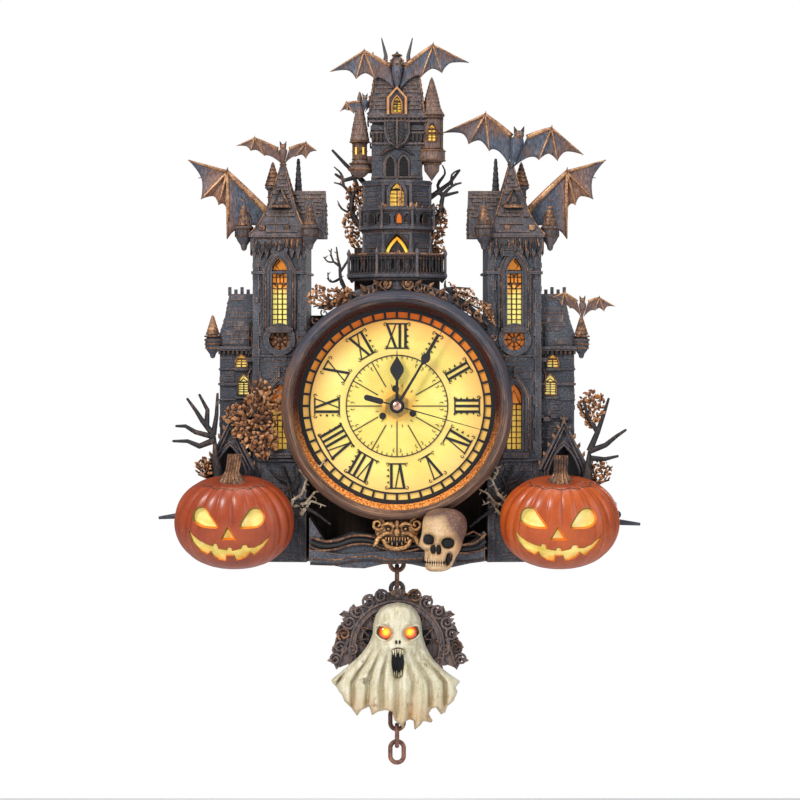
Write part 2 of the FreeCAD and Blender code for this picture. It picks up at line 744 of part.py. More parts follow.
# Battery and its contacts
battery_level = case_wall + running_gap + battery_radius
cell = Part.makeCylinder(battery_radius, battery_length - battery_tip_length,
                         vector(-battery_length / 2, level(battery_level), battery_z), vector(1, 0, 0))
tip = Part.makeCylinder(battery_tip_radius, battery_tip_length * 1.5,
                        vector(battery_length / 2 - battery_tip_length * 1.5, level(battery_level),
                               battery_z),
                        vector(1, 0, 0))
save("battery", fused(cell, tip))
contact_thick = 0.5
contact_half = battery_radius * 0.7
contacts = []
for side in (-1, 1):
    outer = side * (case_inner - running_gap)
    inner = side * (case_inner - running_gap - contact_thick)
    leaf = block(outer, inner, level(battery_level - contact_half), level(battery_level + contact_half),
                 battery_z - contact_half, battery_z + contact_half)
    boss_end = side * (battery_length / 2 + running_gap)
    boss = Part.makeCylinder(contact_half / 2, abs(boss_end - inner),
                             vector(min(boss_end, inner), level(battery_level), battery_z), vector(1, 0, 0))
    contacts.append(fused(leaf, boss))
save("battery_contacts", *contacts)

# Coil on its stator
coil_radius = 2.6
coil_x = -case_inner + coil_radius + level_gap
coil_half = 8.0
core_radius = 1.0
stator_thick = 1.2
stator_arm = 3.4
stator_bore = rotor_magnet_radius + level_gap
coil_level = front_bearing + coil_radius
core_reach = coil_half + stator_arm
winding = rod_z(coil_x, level(coil_level), coil_radius, rotor_z - coil_half, rotor_z + coil_half)
stator_near = level(coil_level) - stator_thick / 2
stator_far = level(coil_level) + stator_thick / 2
stator = fused(
    block(coil_x - core_radius, coil_x + core_radius, stator_near, stator_far,
          rotor_z - core_reach, rotor_z + core_reach),
    block(coil_x - core_radius, rotor_x + core_radius, stator_near, stator_far,
          rotor_z + coil_half, rotor_z + core_reach),
    block(coil_x - core_radius, rotor_x + core_radius, stator_near, stator_far,
          rotor_z - core_reach, rotor_z - coil_half),
    block(rotor_x - core_radius, rotor_x + core_radius, stator_near, stator_far,
          rotor_z - core_reach, rotor_z + core_reach),
    rod_y(rotor_x, rotor_z, stator_bore + core_radius / 2, stator_near, stator_far),
)
stator = stator.cut(rod_y(rotor_x, rotor_z, stator_bore, stator_near - cut_overrun, stator_far + cut_overrun))
winding = winding.cut(stator)
save("drive_coil", winding, stator)

# Circuit boards: the movement's own, and the lamp ring with its lamps and switch box
board_level = lid_level - stator_thick
board = block(coil_x - coil_radius, rotor_x - arbor_radius * 4, level(board_level),
              level(board_level + stator_thick),
              rotor_z - coil_half * 1.5, rotor_z + coil_half * 1.5)
chip = rod_y(coil_x, rotor_z + coil_half / 2, coil_radius * 0.7, level(board_level - stator_thick / 2),
             level(board_level))
can = block(coil_x - core_radius, coil_x + core_radius, level(board_level - stator_thick), level(board_level),
            rotor_z - coil_half, rotor_z - coil_half / 3)
lamp_board = fused(lamp_ring, *lamps)
save("circuit_boards", fused(board, chip, can), lamp_board, switch_box)

# Nut over the dial, and the three hands
nut_thick = 2.3
nut_flats = 12.6            # across the flats
hand_thick = 0.8

minute_angle = 31.0
second_angle = 105.7
hour_length = 30.7
minute_length = 49.0
second_length = 53.0
second_tail = 18.7
collar_radius = 3.8
cap_radius = 3.1

nut_points = []
for index in range(6):
    angle = math.radians(30 + 60 * index)
    nut_points.append((nut_flats / math.sqrt(3) * math.cos(angle),
                       nut_flats / math.sqrt(3) * math.sin(angle)))
mounting_nut = plate(nut_points, dial_front, dial_front - nut_thick)
mounting_nut = mounting_nut.cut(rod_y(0, 0, bushing_radius + running_gap, dial_back,
                                      dial_front - nut_thick * 2))
save("mounting_nut", mounting_nut)


def hand(front, length, bulb_at, bulb_radius, root_width, neck_width, bore):
    """A hand pointing to twelve: collar, tapering stem, pointed bulb and fine tip."""
    back = front + hand_thick
    reach = bulb_at + bulb_radius * 2
    stem = plate([(-root_width / 2, 0), (-neck_width / 2, bulb_at), (neck_width / 2, bulb_at),
                  (root_width / 2, 0)],
                 back, front)
    bulb = rod_y(0, bulb_at, bulb_radius, back, front)
    shoulder = plate([(-bulb_radius * 0.88, bulb_at + bulb_radius * 0.5), (0, reach),
                      (bulb_radius * 0.88, bulb_at + bulb_radius * 0.5)], back, front)
    foot = plate([(-bulb_radius * 0.8, bulb_at - bulb_radius * 0.6), (0, bulb_at - bulb_radius * 1.9),
                  (bulb_radius * 0.8, bulb_at - bulb_radius * 0.6)], back, front)
    tip = plate([(-neck_width / 2, bulb_at), (-neck_width / 8, length), (neck_width / 8, length),
                 (neck_width / 2, bulb_at)], back, front)
    collar = rod_y(0, 0, collar_radius, back, front)
    shape = fused(stem, bulb, shoulder, foot, tip, collar)
    return shape.cut(rod_y(0, 0, bore, back + cut_overrun, front - cut_overrun))


hour_hand = hand(hour_pipe_end, hour_length, hour_length * 0.65, collar_radius, 2.4 * hand_thick,
                 1.6 * hand_thick,
                 hour_pipe_radius)
minute_hand = hand(minute_pipe_end, minute_length, minute_length * 0.62, collar_radius * 0.66,
                   2.3 * hand_thick,
                   1.2 * hand_thick, minute_pipe_radius)
minute_hand.rotate(vector(0, 0, 0), vector(0, 1, 0), minute_angle)

second_front = second_arbor_front - hand_thick / 2
second_back = second_front + hand_thick * 0.75
tail_half = hand_thick * 2
second_hand = fused(
    plate([(-hand_thick / 2, 0), (-hand_thick / 6, second_length), (hand_thick / 6, second_length),
           (hand_thick / 2, 0)], second_back, second_front),
    plate([(-hand_thick / 2, 0), (-hand_thick / 2, -second_tail / 2), (hand_thick / 2, -second_tail / 2),
           (hand_thick / 2, 0)], second_back, second_front),
    block(-tail_half, tail_half, second_back, second_front, -second_tail + tail_half, -second_tail / 2),
    rod_y(0, -second_tail + tail_half, tail_half, second_back, second_front),
    rod_y(0, -second_tail / 2, tail_half, second_back, second_front),
    rod_y(0, 0, cap_radius, second_back, second_front - hand_thick),
)
second_hand = second_hand.cut(rod_y(0, 0, second_arbor_radius, second_back + cut_overrun, second_arbor_front))
second_hand.rotate(vector(0, 0, 0), vector(0, 1, 0), second_angle)
save("hour_hand", hour_hand)
save("minute_hand", minute_hand)
save("second_hand", second_hand)

# Chain and pendulum
link_wire = 1.25            # wire radius
link_height = 14.2
link_width = 9.9
link_gap = 0.02
pendulum_y = -27.0
chain_rise = 7.8            # top of the first link above the castle's foot
chain_top = castle_foot + chain_rise
medallion_drop = 88.0       # top of the first link to the top of the third
lower_chain_top = chain_top - medallion_drop
link_pitch = link_height - 4 * link_wire - link_gap


def chain_link(top, sideways):
    """An oval link hanging from its top, across the front or edge on."""
    bend = link_width / 2 - link_wire
    straight = link_height - link_width
    upper = top - link_width / 2
    pieces = []
    for z in (upper, upper - straight):
        torus = Part.makeTorus(bend, link_wire, vector(0, pendulum_y, z), vector(0, 1, 0))
        half_room = block(-link_width, link_width, pendulum_y - link_width, pendulum_y + link_width,
                          upper if z == upper else upper - straight - link_width,
                          upper + link_width if z == upper else upper - straight)
        pieces.append(torus.common(half_room))
    for x in (-bend, bend):
        pieces.append(rod_z(x, pendulum_y, link_wire, upper - straight, upper))
    link = fused(*pieces)
    if sideways:
        link.rotate(vector(0, pendulum_y, 0), vector(0, 0, 1), 90)
    return link


def bar_z(top, bottom_of_link):
    """Height of the wire's centre at the top or bottom of a link."""
    return top - link_height + link_wire if bottom_of_link else top - link_wire


link_1_top = chain_top
link_2_top = link_1_top - link_pitch
link_3_top = lower_chain_top
link_4_top = link_3_top - link_pitch
link_5_top = link_4_top - link_pitch
save("chain_link_1", chain_link(link_1_top, False))
save("chain_link_2", chain_link(link_2_top, True))
save("chain_link_3", chain_link(link_3_top, False))
save("chain_link_4", chain_link(link_4_top, True))
save("chain_link_5", chain_link(link_5_top, False))

# Screw eye under the castle: its ring is edge on, so the first link hangs across the front
eye_radius = 3.4            # to the middle of the wire
eye_bar_z = bar_z(link_1_top, False) - 2 * link_wire - link_gap
eye_centre_z = eye_bar_z + eye_radius
eye_shank_length = 9.0
eye_ring = Part.makeTorus(eye_radius, link_wire, vector(0, pendulum_y, eye_centre_z), vector(1, 0, 0))
eye_top = eye_centre_z + eye_radius
eye_shank = rod_z(0, pendulum_y, link_wire, eye_top, eye_top + eye_shank_length)
pendulum_eye = fused(eye_ring, eye_shank)
save("pendulum_eye", pendulum_eye)


def lancet(x, foot, apex, half, y0, y1):
    """A pointed window shape between two depths."""
    rise = half * 1.7
    spring = apex - rise
    steps = [
        (x + half, foot),
        (x + half, spring),
        (x + half * 0.78, spring + rise * 0.58, x, apex),
        (x - half * 0.78, spring + rise * 0.58, x - half, spring),
    ]
    return curved_plate((x - half, foot), steps, y0, y1)


def lancet_frame(x, foot, apex, half, border, y0, y1):
    outer = lancet(x, foot - border, apex + border * 1.4, half + border, y0, y1)
    return outer.cut(lancet(x, foot, apex, half, y0 + cut_overrun, y1 - cut_overrun))


def traced(pixels, origin_pixel, size_per_pixel, x, z, y0, y1):
    """A plate whose outline is read from the photograph about one of its pixels."""
    points = []
    for u, v in pixels:
        points.append((x + (u - origin_pixel[0]) * size_per_pixel,
                       z + (origin_pixel[1] - v) * size_per_pixel))
    return plate(points, y0, y1)


# Side towers, drawn for the right side about the tower's own axis
tower_depth = 31.0
tower_top = 93.0
tower_front = board_front - tower_depth
pane_thick = 1.0
recess_depth = 3.0
moulding = 1.6              # how far frames stand proud
frame_border = 2.4
window_half = 4.1
window_foot = 44.6
window_apex = 81.5
lower_window_foot = -24.0
lower_window_apex = 12.0
rosette_z = 36.6
rosette_radius = 8.8
rosette_inner = 5.8
course_z = 74.3
course_height = 1.6
frieze_height = 12.0
frieze_points = 9
corner_strip = 2.6
eaves_reach = 2.6           # roof edge past the shaft

shaft_half = tower_width / 2
shaft = block(tower_offset - shaft_half, tower_offset + shaft_half, board_front, tower_front, castle_foot,
              tower_top)
tower_adds = []
for side in (-1, 1):
    edge = tower_offset + side * shaft_half
    tower_adds.append(block(edge - side * corner_strip, edge + side * moulding / 2, tower_front + shaft_half,
                            tower_front - moulding / 2, castle_foot, tower_top))
tower_adds.append(block(tower_offset - shaft_half - moulding, tower_offset + shaft_half + moulding,
                        tower_front + shaft_half, tower_front - moulding, course_z - course_height, course_z))
frieze = []
frieze_pitch = (tower_width + moulding * 2) / frieze_points
for index in range(frieze_points):
    left = tower_offset - shaft_half - moulding + index * frieze_pitch
    frieze += [(left, tower_top - frieze_height * 0.45), (left + frieze_pitch * 0.5,
                                                          tower_top - frieze_height)]
frieze.append((tower_offset + shaft_half + moulding, tower_top - frieze_height * 0.45))
frieze += [(tower_offset + shaft_half + moulding, tower_top), (tower_offset - shaft_half - moulding,
                                                               tower_top)]
frieze_band = plate(frieze, tower_front, tower_front - moulding)
tower_adds.append(frieze_band)
tower_adds.append(lancet_frame(tower_offset, window_foot, window_apex, window_half, frame_border,
                               tower_front, tower_front - moulding))
tower_adds.append(block(tower_offset - window_half - frame_border, tower_offset + window_half + frame_border,
                        tower_front, tower_front - moulding * 1.6, window_foot - frame_border * 1.6,
                        window_foot - frame_border * 0.4))
tower_adds.append(ring_y(tower_offset, rosette_z, rosette_radius, rosette_inner, tower_front,
                         tower_front - moulding))
tower_adds.append(lancet_frame(tower_offset, lower_window_foot, lower_window_apex, window_half, frame_border,
                               tower_front, tower_front - moulding))
tower_shape = fused(shaft, *tower_adds)
recess_back = tower_front + recess_depth
tower_cuts = fused(
    lancet(tower_offset, window_foot, window_apex, window_half, recess_back, tower_front - cut_overrun),
)
tower_shape = tower_shape.cut(tower_cuts)
tower_shape = tower_shape.cut(lancet(tower_offset, lower_window_foot, lower_window_apex, window_half,
                                     recess_back, tower_front - cut_overrun))
tower_shape = tower_shape.cut(rod_y(tower_offset, rosette_z, rosette_inner, recess_back,
                                    tower_front - cut_overrun))

# Panes lie at the bottom of each recess
tower_panes = [
    lancet(tower_offset, window_foot + running_gap, window_apex - running_gap, window_half - running_gap,
           recess_back, recess_back - pane_thick),
    lancet(tower_offset, lower_window_foot + running_gap, lower_window_apex - running_gap,
           window_half - running_gap, recess_back, recess_back - pane_thick),
    rod_y(tower_offset, rosette_z, rosette_inner - running_gap, recess_back, recess_back - pane_thick),
]
panes = []


def yawed(shape):
    """A right-hand tower piece turned outwards with its tower."""
    return turned_about(shape, tower_offset, board_front, tower_yaw)


right_tower = seated(yawed(tower_shape))
left_tower = mirrored(right_tower)
for pane in tower_panes:
    placed = yawed(pane).cut(dial_room)
    panes += [placed, mirrored(placed)]
save("right_tower", right_tower)
save("left_tower", left_tower)

# Tower roofs: a flared spire with an inner cross gable, a rear turret and two corner turrets
roof_height = 43.0
roof_flare_shares = ((1.0, 0.0), (1.0, 0.035), (0.80, 0.13), (0.60, 0.27), (0.42, 0.46), (0.25, 0.68),
                     (0.12, 0.87), (0.05, 0.97), (0.03, 1.0))
roof_half = shaft_half + eaves_reach
roof_half_depth = tower_depth / 2 + eaves_reach
tower_mid_y = board_front - tower_depth / 2
gable_rise = 26.5
gable_reach = 24.0          # from the tower's axis to the inner gable
gable_half = 8.5
turret_radius = 4.6
turret_height = 20.0
rear_turret_radius = 2.8
rear_turret_height = 44.0
pin_radius = 0.9
# Each share is (of the turret's radius, of its height above the eaves)
turret_profile_shares = ((0.0, -0.50), (0.30, -0.46), (0.42, -0.34), (0.78, -0.22), (1.0, -0.10), (1.0, 0.10),
                         (1.14, 0.12), (1.14, 0.17), (0.86, 0.20), (0.60, 0.42), (0.34, 0.66), (0.30, 0.70),
                         (0.16, 0.86), (0.06, 1.0), (0.0, 1.0))


def turret(x, y, z, radius, height):
    profile = [(share * radius, z + rise * height) for share, rise in turret_profile_shares]
    return turned_z(profile, x, y)


roof_core = square_loft([(roof_half * share, roof_half_depth * share, tower_top + rise * roof_height)
                         for share, rise in roof_flare_shares], tower_offset, tower_mid_y)
gable_top = tower_top + gable_rise
gable_wire = loop_wire([
    vector(tower_offset - gable_reach, tower_mid_y - gable_half, tower_top),
    vector(tower_offset - gable_reach, tower_mid_y, gable_top),
    vector(tower_offset - gable_reach, tower_mid_y + gable_half, tower_top),
])
cross_gable = positive(Part.Face(gable_wire).extrude(vector(gable_reach, 0, 0)))
dormer_half = turret_radius * 0.9
dormer_foot = tower_top + roof_height * 0.42
dormer = plate([(tower_offset - dormer_half, dormer_foot), (tower_offset, dormer_foot + dormer_half * 2),
                (tower_offset + dormer_half, dormer_foot)], tower_mid_y, tower_mid_y - roof_half_depth * 0.56)
rear_turret_x = tower_offset + roof_half * 0.42
rear_turret_y = board_front - rear_turret_radius * 2.2
rear_turret = turned_z([
    (0, tower_top), (rear_turret_radius, tower_top), (rear_turret_radius,
                                                      tower_top + rear_turret_height * 0.62),
    (rear_turret_radius * 1.65, tower_top + rear_turret_height * 0.66),
    (rear_turret_radius * 0.5, tower_top + rear_turret_height * 0.8),
    (0, tower_top + rear_turret_height)], rear_turret_x, rear_turret_y)
rear_pin = rod(vector(tower_offset - roof_half * 0.45, rear_turret_y, tower_top),
               vector(tower_offset - roof_half * 0.45, rear_turret_y, tower_top + rear_turret_height),
               pin_radius * 1.4, pin_radius / 3)
turret_y = tower_front - eaves_reach / 2
outer_turret = turret(tower_offset + roof_half + turret_radius * 0.8, turret_y + turret_radius,
                      tower_top + eaves_reach,
                      turret_radius, turret_height)
inner_turret = turret(tower_offset - roof_half - turret_radius * 0.1, turret_y, tower_top + eaves_reach,
                      turret_radius, turret_height)
roof_shape = fused(roof_core, cross_gable, dormer, rear_turret, rear_pin, outer_turret, inner_turret)
cornice = block(tower_offset - roof_half, tower_offset + roof_half, board_front, tower_front - eaves_reach,
                tower_top, tower_top + eaves_reach / 2)
roof_shape = fused(roof_shape, cornice)
right_tower_roof = seated(yawed(roof_shape)).cut(right_tower)
left_tower_roof = mirrored(right_tower_roof)
save("right_tower_roof", right_tower_roof)
save("left_tower_roof", left_tower_roof)

# Centre tower: an eight-sided drum in three storeys, with a mansard roof
drum_half = 18.0
drum_y = board_front - drum_half * 0.95
drum_foot = lower_balcony_z - balcony_over_bezel * 1.5
lower_balcony_height = 12.6
lower_balcony_half = 26.4
upper_balcony_height = 11.0
upper_balcony_half = 20.0
belfry_half = 13.6
centre_roof_height = 27.0
arch_half = 6.6
arch_tube = 1.6
centre_window_half = 3.9
centre_window_height = 13.0
centre_window_apex = drum_top - 0.3 * centre_window_half
centre_window_foot = centre_window_apex - centre_window_height
slab_thick = 2.4


def octagon(half, y, z0, z1):
    """An eight-sided drum, flat to the front."""
    points = []
    for index in range(8):
        angle = math.radians(22.5 + 45 * index)
        radius = half / math.cos(math.radians(22.5))
        points.append(vector(radius * math.cos(angle), y + radius * math.sin(angle), z0))
    return positive(Part.Face(loop_wire(points)).extrude(vector(0, 0, z1 - z0)))


drum_front = drum_y - drum_half
drum = octagon(drum_half, drum_y, drum_foot, drum_top)
belfry_y = drum_y
belfry_front = belfry_y - belfry_half
belfry = block(-belfry_half, belfry_half, board_front, belfry_front, drum_top, belfry_top)
centre_adds = [
    lancet_frame(0, centre_window_foot, centre_window_apex, centre_window_half, moulding, drum_front,
                 drum_front - moulding),
    octagon(drum_half + moulding / 2, drum_y, drum_top - slab_thick, drum_top),
]
cornice_steps = 3
for index in range(cornice_steps):
    grow = moulding * (index + 1) / cornice_steps
    top = belfry_top - (belfry_top - drum_top) * 0.42 * (cornice_steps - index - 1) / cornice_steps
    centre_adds.append(block(-belfry_half - grow, belfry_half + grow, belfry_y, belfry_front - grow,
                             top - slab_thick, top))
shield_half = belfry_half * 0.5
shield = plate([(-shield_half, belfry_top - slab_thick), (-shield_half * 0.9, belfry_top - belfry_half * 0.8),
                (0, belfry_top - belfry_half * 1.25), (shield_half * 0.9, belfry_top - belfry_half * 0.8),
                (shield_half, belfry_top - slab_thick)], belfry_front, belfry_front - moulding * 1.5)
centre_adds.append(shield)
twin_half = belfry_half * 0.18
twin_frames = []
for side in (-1, 1):
    twin_frames.append(lancet_frame(side * twin_half * 1.5, drum_top + slab_thick, drum_top + belfry_half,
                                    twin_half, moulding / 2, belfry_front, belfry_front - moulding / 2))
centre_adds += twin_frames
centre_tower = fused(drum, belfry, *centre_adds)
centre_recess = drum_front + recess_depth
centre_tower = centre_tower.cut(lancet(0, centre_window_foot, centre_window_apex, centre_window_half,
                                       centre_recess, drum_front - cut_overrun))
panes.append(lancet(0, centre_window_foot + running_gap, centre_window_apex - running_gap,
                    centre_window_half - running_gap, centre_recess, centre_recess - pane_thick))
for side in (-1, 1):
    centre_tower = centre_tower.cut(lancet(side * twin_half * 1.5, drum_top + slab_thick,
                                           drum_top + belfry_half,
                                           twin_half, belfry_front + moulding, belfry_front - cut_overrun))
# The lit arch stands in a recess between the two balconies
lit_arch_foot = lower_balcony_z + slab_thick
lit_arch_apex = upper_balcony_z - slab_thick
centre_tower = centre_tower.cut(lancet(0, lit_arch_foot, lit_arch_apex, arch_half + arch_tube,
                                       centre_recess, drum_front - cut_overrun))
panes.append(lancet_frame(0, lit_arch_foot + arch_tube, lit_arch_apex - arch_tube * 1.7,
                          arch_half - running_gap,
                          arch_tube * 0.9, centre_recess, centre_recess - arch_tube))
centre_tower = seated(centre_tower)


def balcony(half, z, height, arches):
    """An eight-sided balcony: slab, arcaded parapet and capping."""
    slab = octagon(half, drum_y, z, z + slab_thick)
    cap = octagon(half, drum_y, z + height - slab_thick / 2, z + height)
    wall = octagon(half - moulding / 2, drum_y, z + slab_thick, z + height - slab_thick / 2)
    flat_half = half * math.tan(math.radians(22.5))
    pitch = 2 * flat_half / arches
    foot = z + slab_thick + height * 0.12
    apex = z + height - slab_thick
    holes = []
    for index in range(arches):
        x = -flat_half + (index + 0.5) * pitch
        holes.append(lancet(x, foot, apex, pitch * 0.3, drum_y - half + slab_thick,
                            drum_y - half - cut_overrun))
    for turn in (-45, 45):
        for index in range(arches):
            x = -flat_half + (index + 0.5) * pitch
            hole = lancet(x, foot, apex, pitch * 0.3, drum_y - half + slab_thick, drum_y - half - cut_overrun)
            holes.append(turned_about(hole, 0, drum_y, turn))
    wall = wall.cut(Part.makeCompound(holes))
    corbel = []
    for index in range(3):
        corbel.append(octagon(half - (half - drum_half) * (index + 1) / 3, drum_y,
                              z - slab_thick * 0.6 * (index + 1), z - slab_thick * 0.6 * index))
    return fused(slab, wall, cap, *corbel)


lower_balcony = seated(balcony(lower_balcony_half, lower_balcony_z, lower_balcony_height, 4).cut(
    octagon(drum_half + piece_gap / 3, drum_y, drum_foot, drum_top)))
upper_balcony = seated(balcony(upper_balcony_half, upper_balcony_z, upper_balcony_height, 3).cut(
    octagon(drum_half + piece_gap / 3, drum_y, drum_foot, drum_top)).cut(centre_tower))
save("centre_tower", centre_tower)
save("lower_balcony", lower_balcony)
save("upper_balcony", upper_balcony)

centre_roof_shares = ((1.0, 0.0), (1.0, 0.04), (0.92, 0.10), (0.84, 0.5), (0.74, 0.9), (0.82, 0.92),
                      (0.82, 1.0))
roof_base_half = belfry_half + eaves_reach
centre_roof = square_loft([(roof_base_half * share, roof_base_half * share,
                            belfry_top + rise * centre_roof_height)
                           for share, rise in centre_roof_shares], 0, belfry_y)
roof_cap_z = belfry_top + centre_roof_height
horn_height = 18.0
horn_offset = 8.6
centre_dormer_half = 4.4
dormer_front = belfry_y - roof_base_half * 0.98
centre_dormer = plate([(-centre_dormer_half, belfry_top), (-centre_dormer_half,
                                                           belfry_top + centre_dormer_half * 2),
                       (0, belfry_top + centre_dormer_half * 3.4),
                       (centre_dormer_half, belfry_top + centre_dormer_half * 2),
                       (centre_dormer_half, belfry_top)], belfry_y, dormer_front)
roof_adds = [centre_dormer]
for side in (-1, 1):
    foot = vector(side * horn_offset * 0.82, belfry_y, roof_cap_z - slab_thick / 2)
    bend = vector(side * horn_offset * 0.72, belfry_y, roof_cap_z + horn_height * 0.45)
    point = vector(side * horn_offset, belfry_y, roof_cap_z + horn_height)
    roof_adds.append(rod(foot, bend, pin_radius * 2, pin_radius * 1.2))
    roof_adds.append(rod(bend, point, pin_radius * 1.2, pin_radius / 3))
    ear = vector(side * roof_base_half * 0.8, belfry_y - roof_base_half * 0.6, roof_cap_z - slab_thick / 2)
    ear_tip = vector(side * roof_base_half * 0.82, belfry_y - roof_base_half * 0.6,
                     roof_cap_z + horn_height * 0.5)
    roof_adds.append(rod(ear, ear_tip, pin_radius * 1.4, pin_radius / 3))
roof_adds.append(turned_z([(0, roof_cap_z - slab_thick / 2), (horn_offset * 0.5, roof_cap_z - slab_thick / 2),
                           (horn_offset * 0.42, roof_cap_z + horn_height * 0.3),
                           (horn_offset * 0.15, roof_cap_z + horn_height * 0.5),
                           (0, roof_cap_z + horn_height * 0.6)], 0, belfry_y))
centre_roof = fused(centre_roof, *roof_adds)
dormer_window_half = centre_dormer_half * 0.5
centre_roof = centre_roof.cut(lancet(0, belfry_top + centre_dormer_half * 0.5,
                                     belfry_top + centre_dormer_half * 2.4,
                                     dormer_window_half, dormer_front + moulding, dormer_front - cut_overrun))
panes.append(lancet(0, belfry_top + centre_dormer_half * 0.5 + running_gap,
                    belfry_top + centre_dormer_half * 2.4 - running_gap, dormer_window_half - running_gap,
                    dormer_front + moulding, dormer_front + moulding - pane_thick / 2))
centre_roof = seated(centre_roof)
save("centre_roof", centre_roof)

# Two bartizans on the centre tower's shoulders: left slender and ringed, right stouter
left_turret_offset = 20.6
left_turret_foot = drum_top + moulding
left_turret_height = 48.0
left_turret_radius = 6.2
right_turret_offset = 19.2
right_turret_foot = drum_top
right_turret_height = 57.5
right_turret_radius = 7.4
left_turret_shares = ((0.0, 0.0), (0.45, 0.02), (0.85, 0.07), (1.0, 0.10), (0.72, 0.19), (0.62, 0.22),
                      (0.58, 0.40),
                      (0.82, 0.42), (0.82, 0.44), (0.62, 0.50), (0.62, 0.53), (0.5, 0.60), (0.5, 0.63),
                      (0.36, 0.72),
                      (0.36, 0.75), (0.2, 0.86), (0.05, 1.0), (0.0, 1.0))
right_turret_shares = ((0.0, 0.0), (0.2, 0.04), (0.55, 0.10), (0.6, 0.17), (1.0, 0.20), (1.0, 0.29),
                       (0.82, 0.31),
                       (0.82, 0.60), (0.9, 0.62), (0.9, 0.64), (0.62, 0.70), (0.62, 0.72), (0.46, 0.78),
                       (0.46, 0.80),
                       (0.24, 0.90), (0.05, 1.0), (0.0, 1.0))
bartizan_y = belfry_front + left_turret_radius * 0.6


def shared_turret(shares, x, y, foot, height, radius):
    return turned_z([(share * radius, foot + rise * height) for share, rise in shares], x, y)


left_bartizan = shared_turret(left_turret_shares, -left_turret_offset, bartizan_y, left_turret_foot,
                              left_turret_height, left_turret_radius)
left_bartizan = fused(left_bartizan, block(-left_turret_offset, -belfry_half, bartizan_y - pin_radius,
                                           bartizan_y + pin_radius * 3,
                                           left_turret_foot + left_turret_radius / 2,
                                           left_turret_foot + left_turret_radius * 2))
right_bartizan = shared_turret(right_turret_shares, right_turret_offset, bartizan_y, right_turret_foot,
                               right_turret_height, right_turret_radius)
right_window_half = right_turret_radius * 0.28
right_window_foot = right_turret_foot + right_turret_height * 0.38
right_window_apex = right_turret_foot + right_turret_height * 0.54
pane_back = bartizan_y - right_turret_radius * 0.82 + recess_depth / 2
right_bartizan = right_bartizan.cut(lancet(right_turret_offset, right_window_foot, right_window_apex,
                                           right_window_half,
                                           pane_back, bartizan_y - right_turret_radius * 2))
panes.append(lancet(right_turret_offset, right_window_foot + running_gap, right_window_apex - running_gap,
                    right_window_half - running_gap, pane_back, pane_back - pane_thick / 2))
left_bartizan = left_bartizan.cut(centre_tower).cut(centre_roof)
right_bartizan = right_bartizan.cut(centre_tower).cut(centre_roof)
save("bartizans", left_bartizan, right_bartizan)

# Crest over the bezel: arched niche with volutes and side scrolls, behind the ring's rim
crest_span = 98.0           # across both side scrolls
crest_thick = 4.0
crest_pixel = crest_span / 188
crest_back = dial_back + piece_gap - bezel_depth * 0.25
crest_pixels = [
    (307, 300), (316, 286), (330, 291), (338, 279), (352, 285), (362, 274), (372, 282), (373, 268), (378,
                                                                                                     261),
    (386, 257), (396, 255), (406, 257), (414, 261), (419, 268), (420, 282), (430, 276), (440, 283),
    (450, 278),
    (458, 290), (470, 289), (478, 300), (488, 305), (495, 326), (484, 316), (470, 306), (458, 300),
    (440, 293),
    (425, 290), (410, 288), (396, 287), (380, 288), (366, 291), (350, 295), (336, 301), (322, 306),
]
crest_niche_radius = 6.4
crest_foot_pixel = (396, 287)
crest_niche_pixel = (396, 269)
crest_z = bezel_radius + piece_gap
crest = traced(crest_pixels, crest_foot_pixel, crest_pixel, 0, crest_z, crest_back, crest_back - crest_thick)
niche_z = crest_z + (crest_foot_pixel[1] - crest_niche_pixel[1]) * crest_pixel
crest = crest.cut(rod_y(0, niche_z, crest_niche_radius, crest_back - crest_thick / 2,
                        crest_back - crest_thick * 2))
niche_ring = ring_y(0, niche_z, crest_niche_radius + moulding * 1.4, crest_niche_radius,
                    crest_back - crest_thick / 2, crest_back - crest_thick - moulding)
volutes = []
for side in (-1, 1):
    volutes.append(rod_y(side * crest_niche_radius * 1.35, crest_z + crest_niche_radius * 0.7,
                         crest_niche_radius * 0.42,
                         crest_back, crest_back - crest_thick - moulding))
bezel_crest = fused(crest, niche_ring, *volutes).cut(dial_room)
bezel_crest = bezel_crest.cut(rod_y(0, 0, bezel_radius + piece_gap, dial_back + cut_overrun, bezel_front * 2))
for neighbour in (lower_balcony, centre_tower, right_tower, left_tower):
    bezel_crest = bezel_crest.cut(neighbour)
bezel_crest = max(bezel_crest.Solids, key=lambda solid: solid.Volume)
save("bezel_crest", bezel_crest)

# Base: a wavy moulded apron with a hollow behind it for the pendulum's eye
base_half = 48.0
base_depth = 33.0
apron_reach = 10.0
apron_front = board_front - base_depth - apron_reach
eye_room_half = 18.0
eye_room_depth = 11.0
base_pixel = base_half * 2 / 176
base_origin_pixel = (397, 562)
base_top_pixels = [(309, 516), (325, 541), (338, 538), (353, 532), (386, 535), (419, 535), (440, 540),
                   (461, 545),
                   (475, 538), (485, 530)]
base_foot_pixels = [(485, 560), (470, 562), (452, 566), (430, 567), (412, 563), (397, 561), (382, 563),
                    (364, 567),
                    (342, 566), (324, 562), (309, 560)]
base_rail = traced(base_top_pixels + base_foot_pixels, base_origin_pixel, base_pixel, 0, castle_foot,
                   board_front, apron_front)
base_lip = traced([(309, 548), (342, 553), (397, 549), (452, 553), (485, 548)] + base_foot_pixels,
                  base_origin_pixel,
                  base_pixel, 0, castle_foot, apron_front, apron_front - moulding)
base_rail = fused(base_rail, base_lip)
eye_hole = rod_z(0, pendulum_y, link_wire + running_gap, eye_top - cut_overrun, eye_top + eye_shank_length)
eye_room = block(-eye_room_half, eye_room_half, pendulum_y + eye_room_depth, pendulum_y - eye_room_depth,
                 castle_foot * 2, eye_top + link_wire + piece_gap)
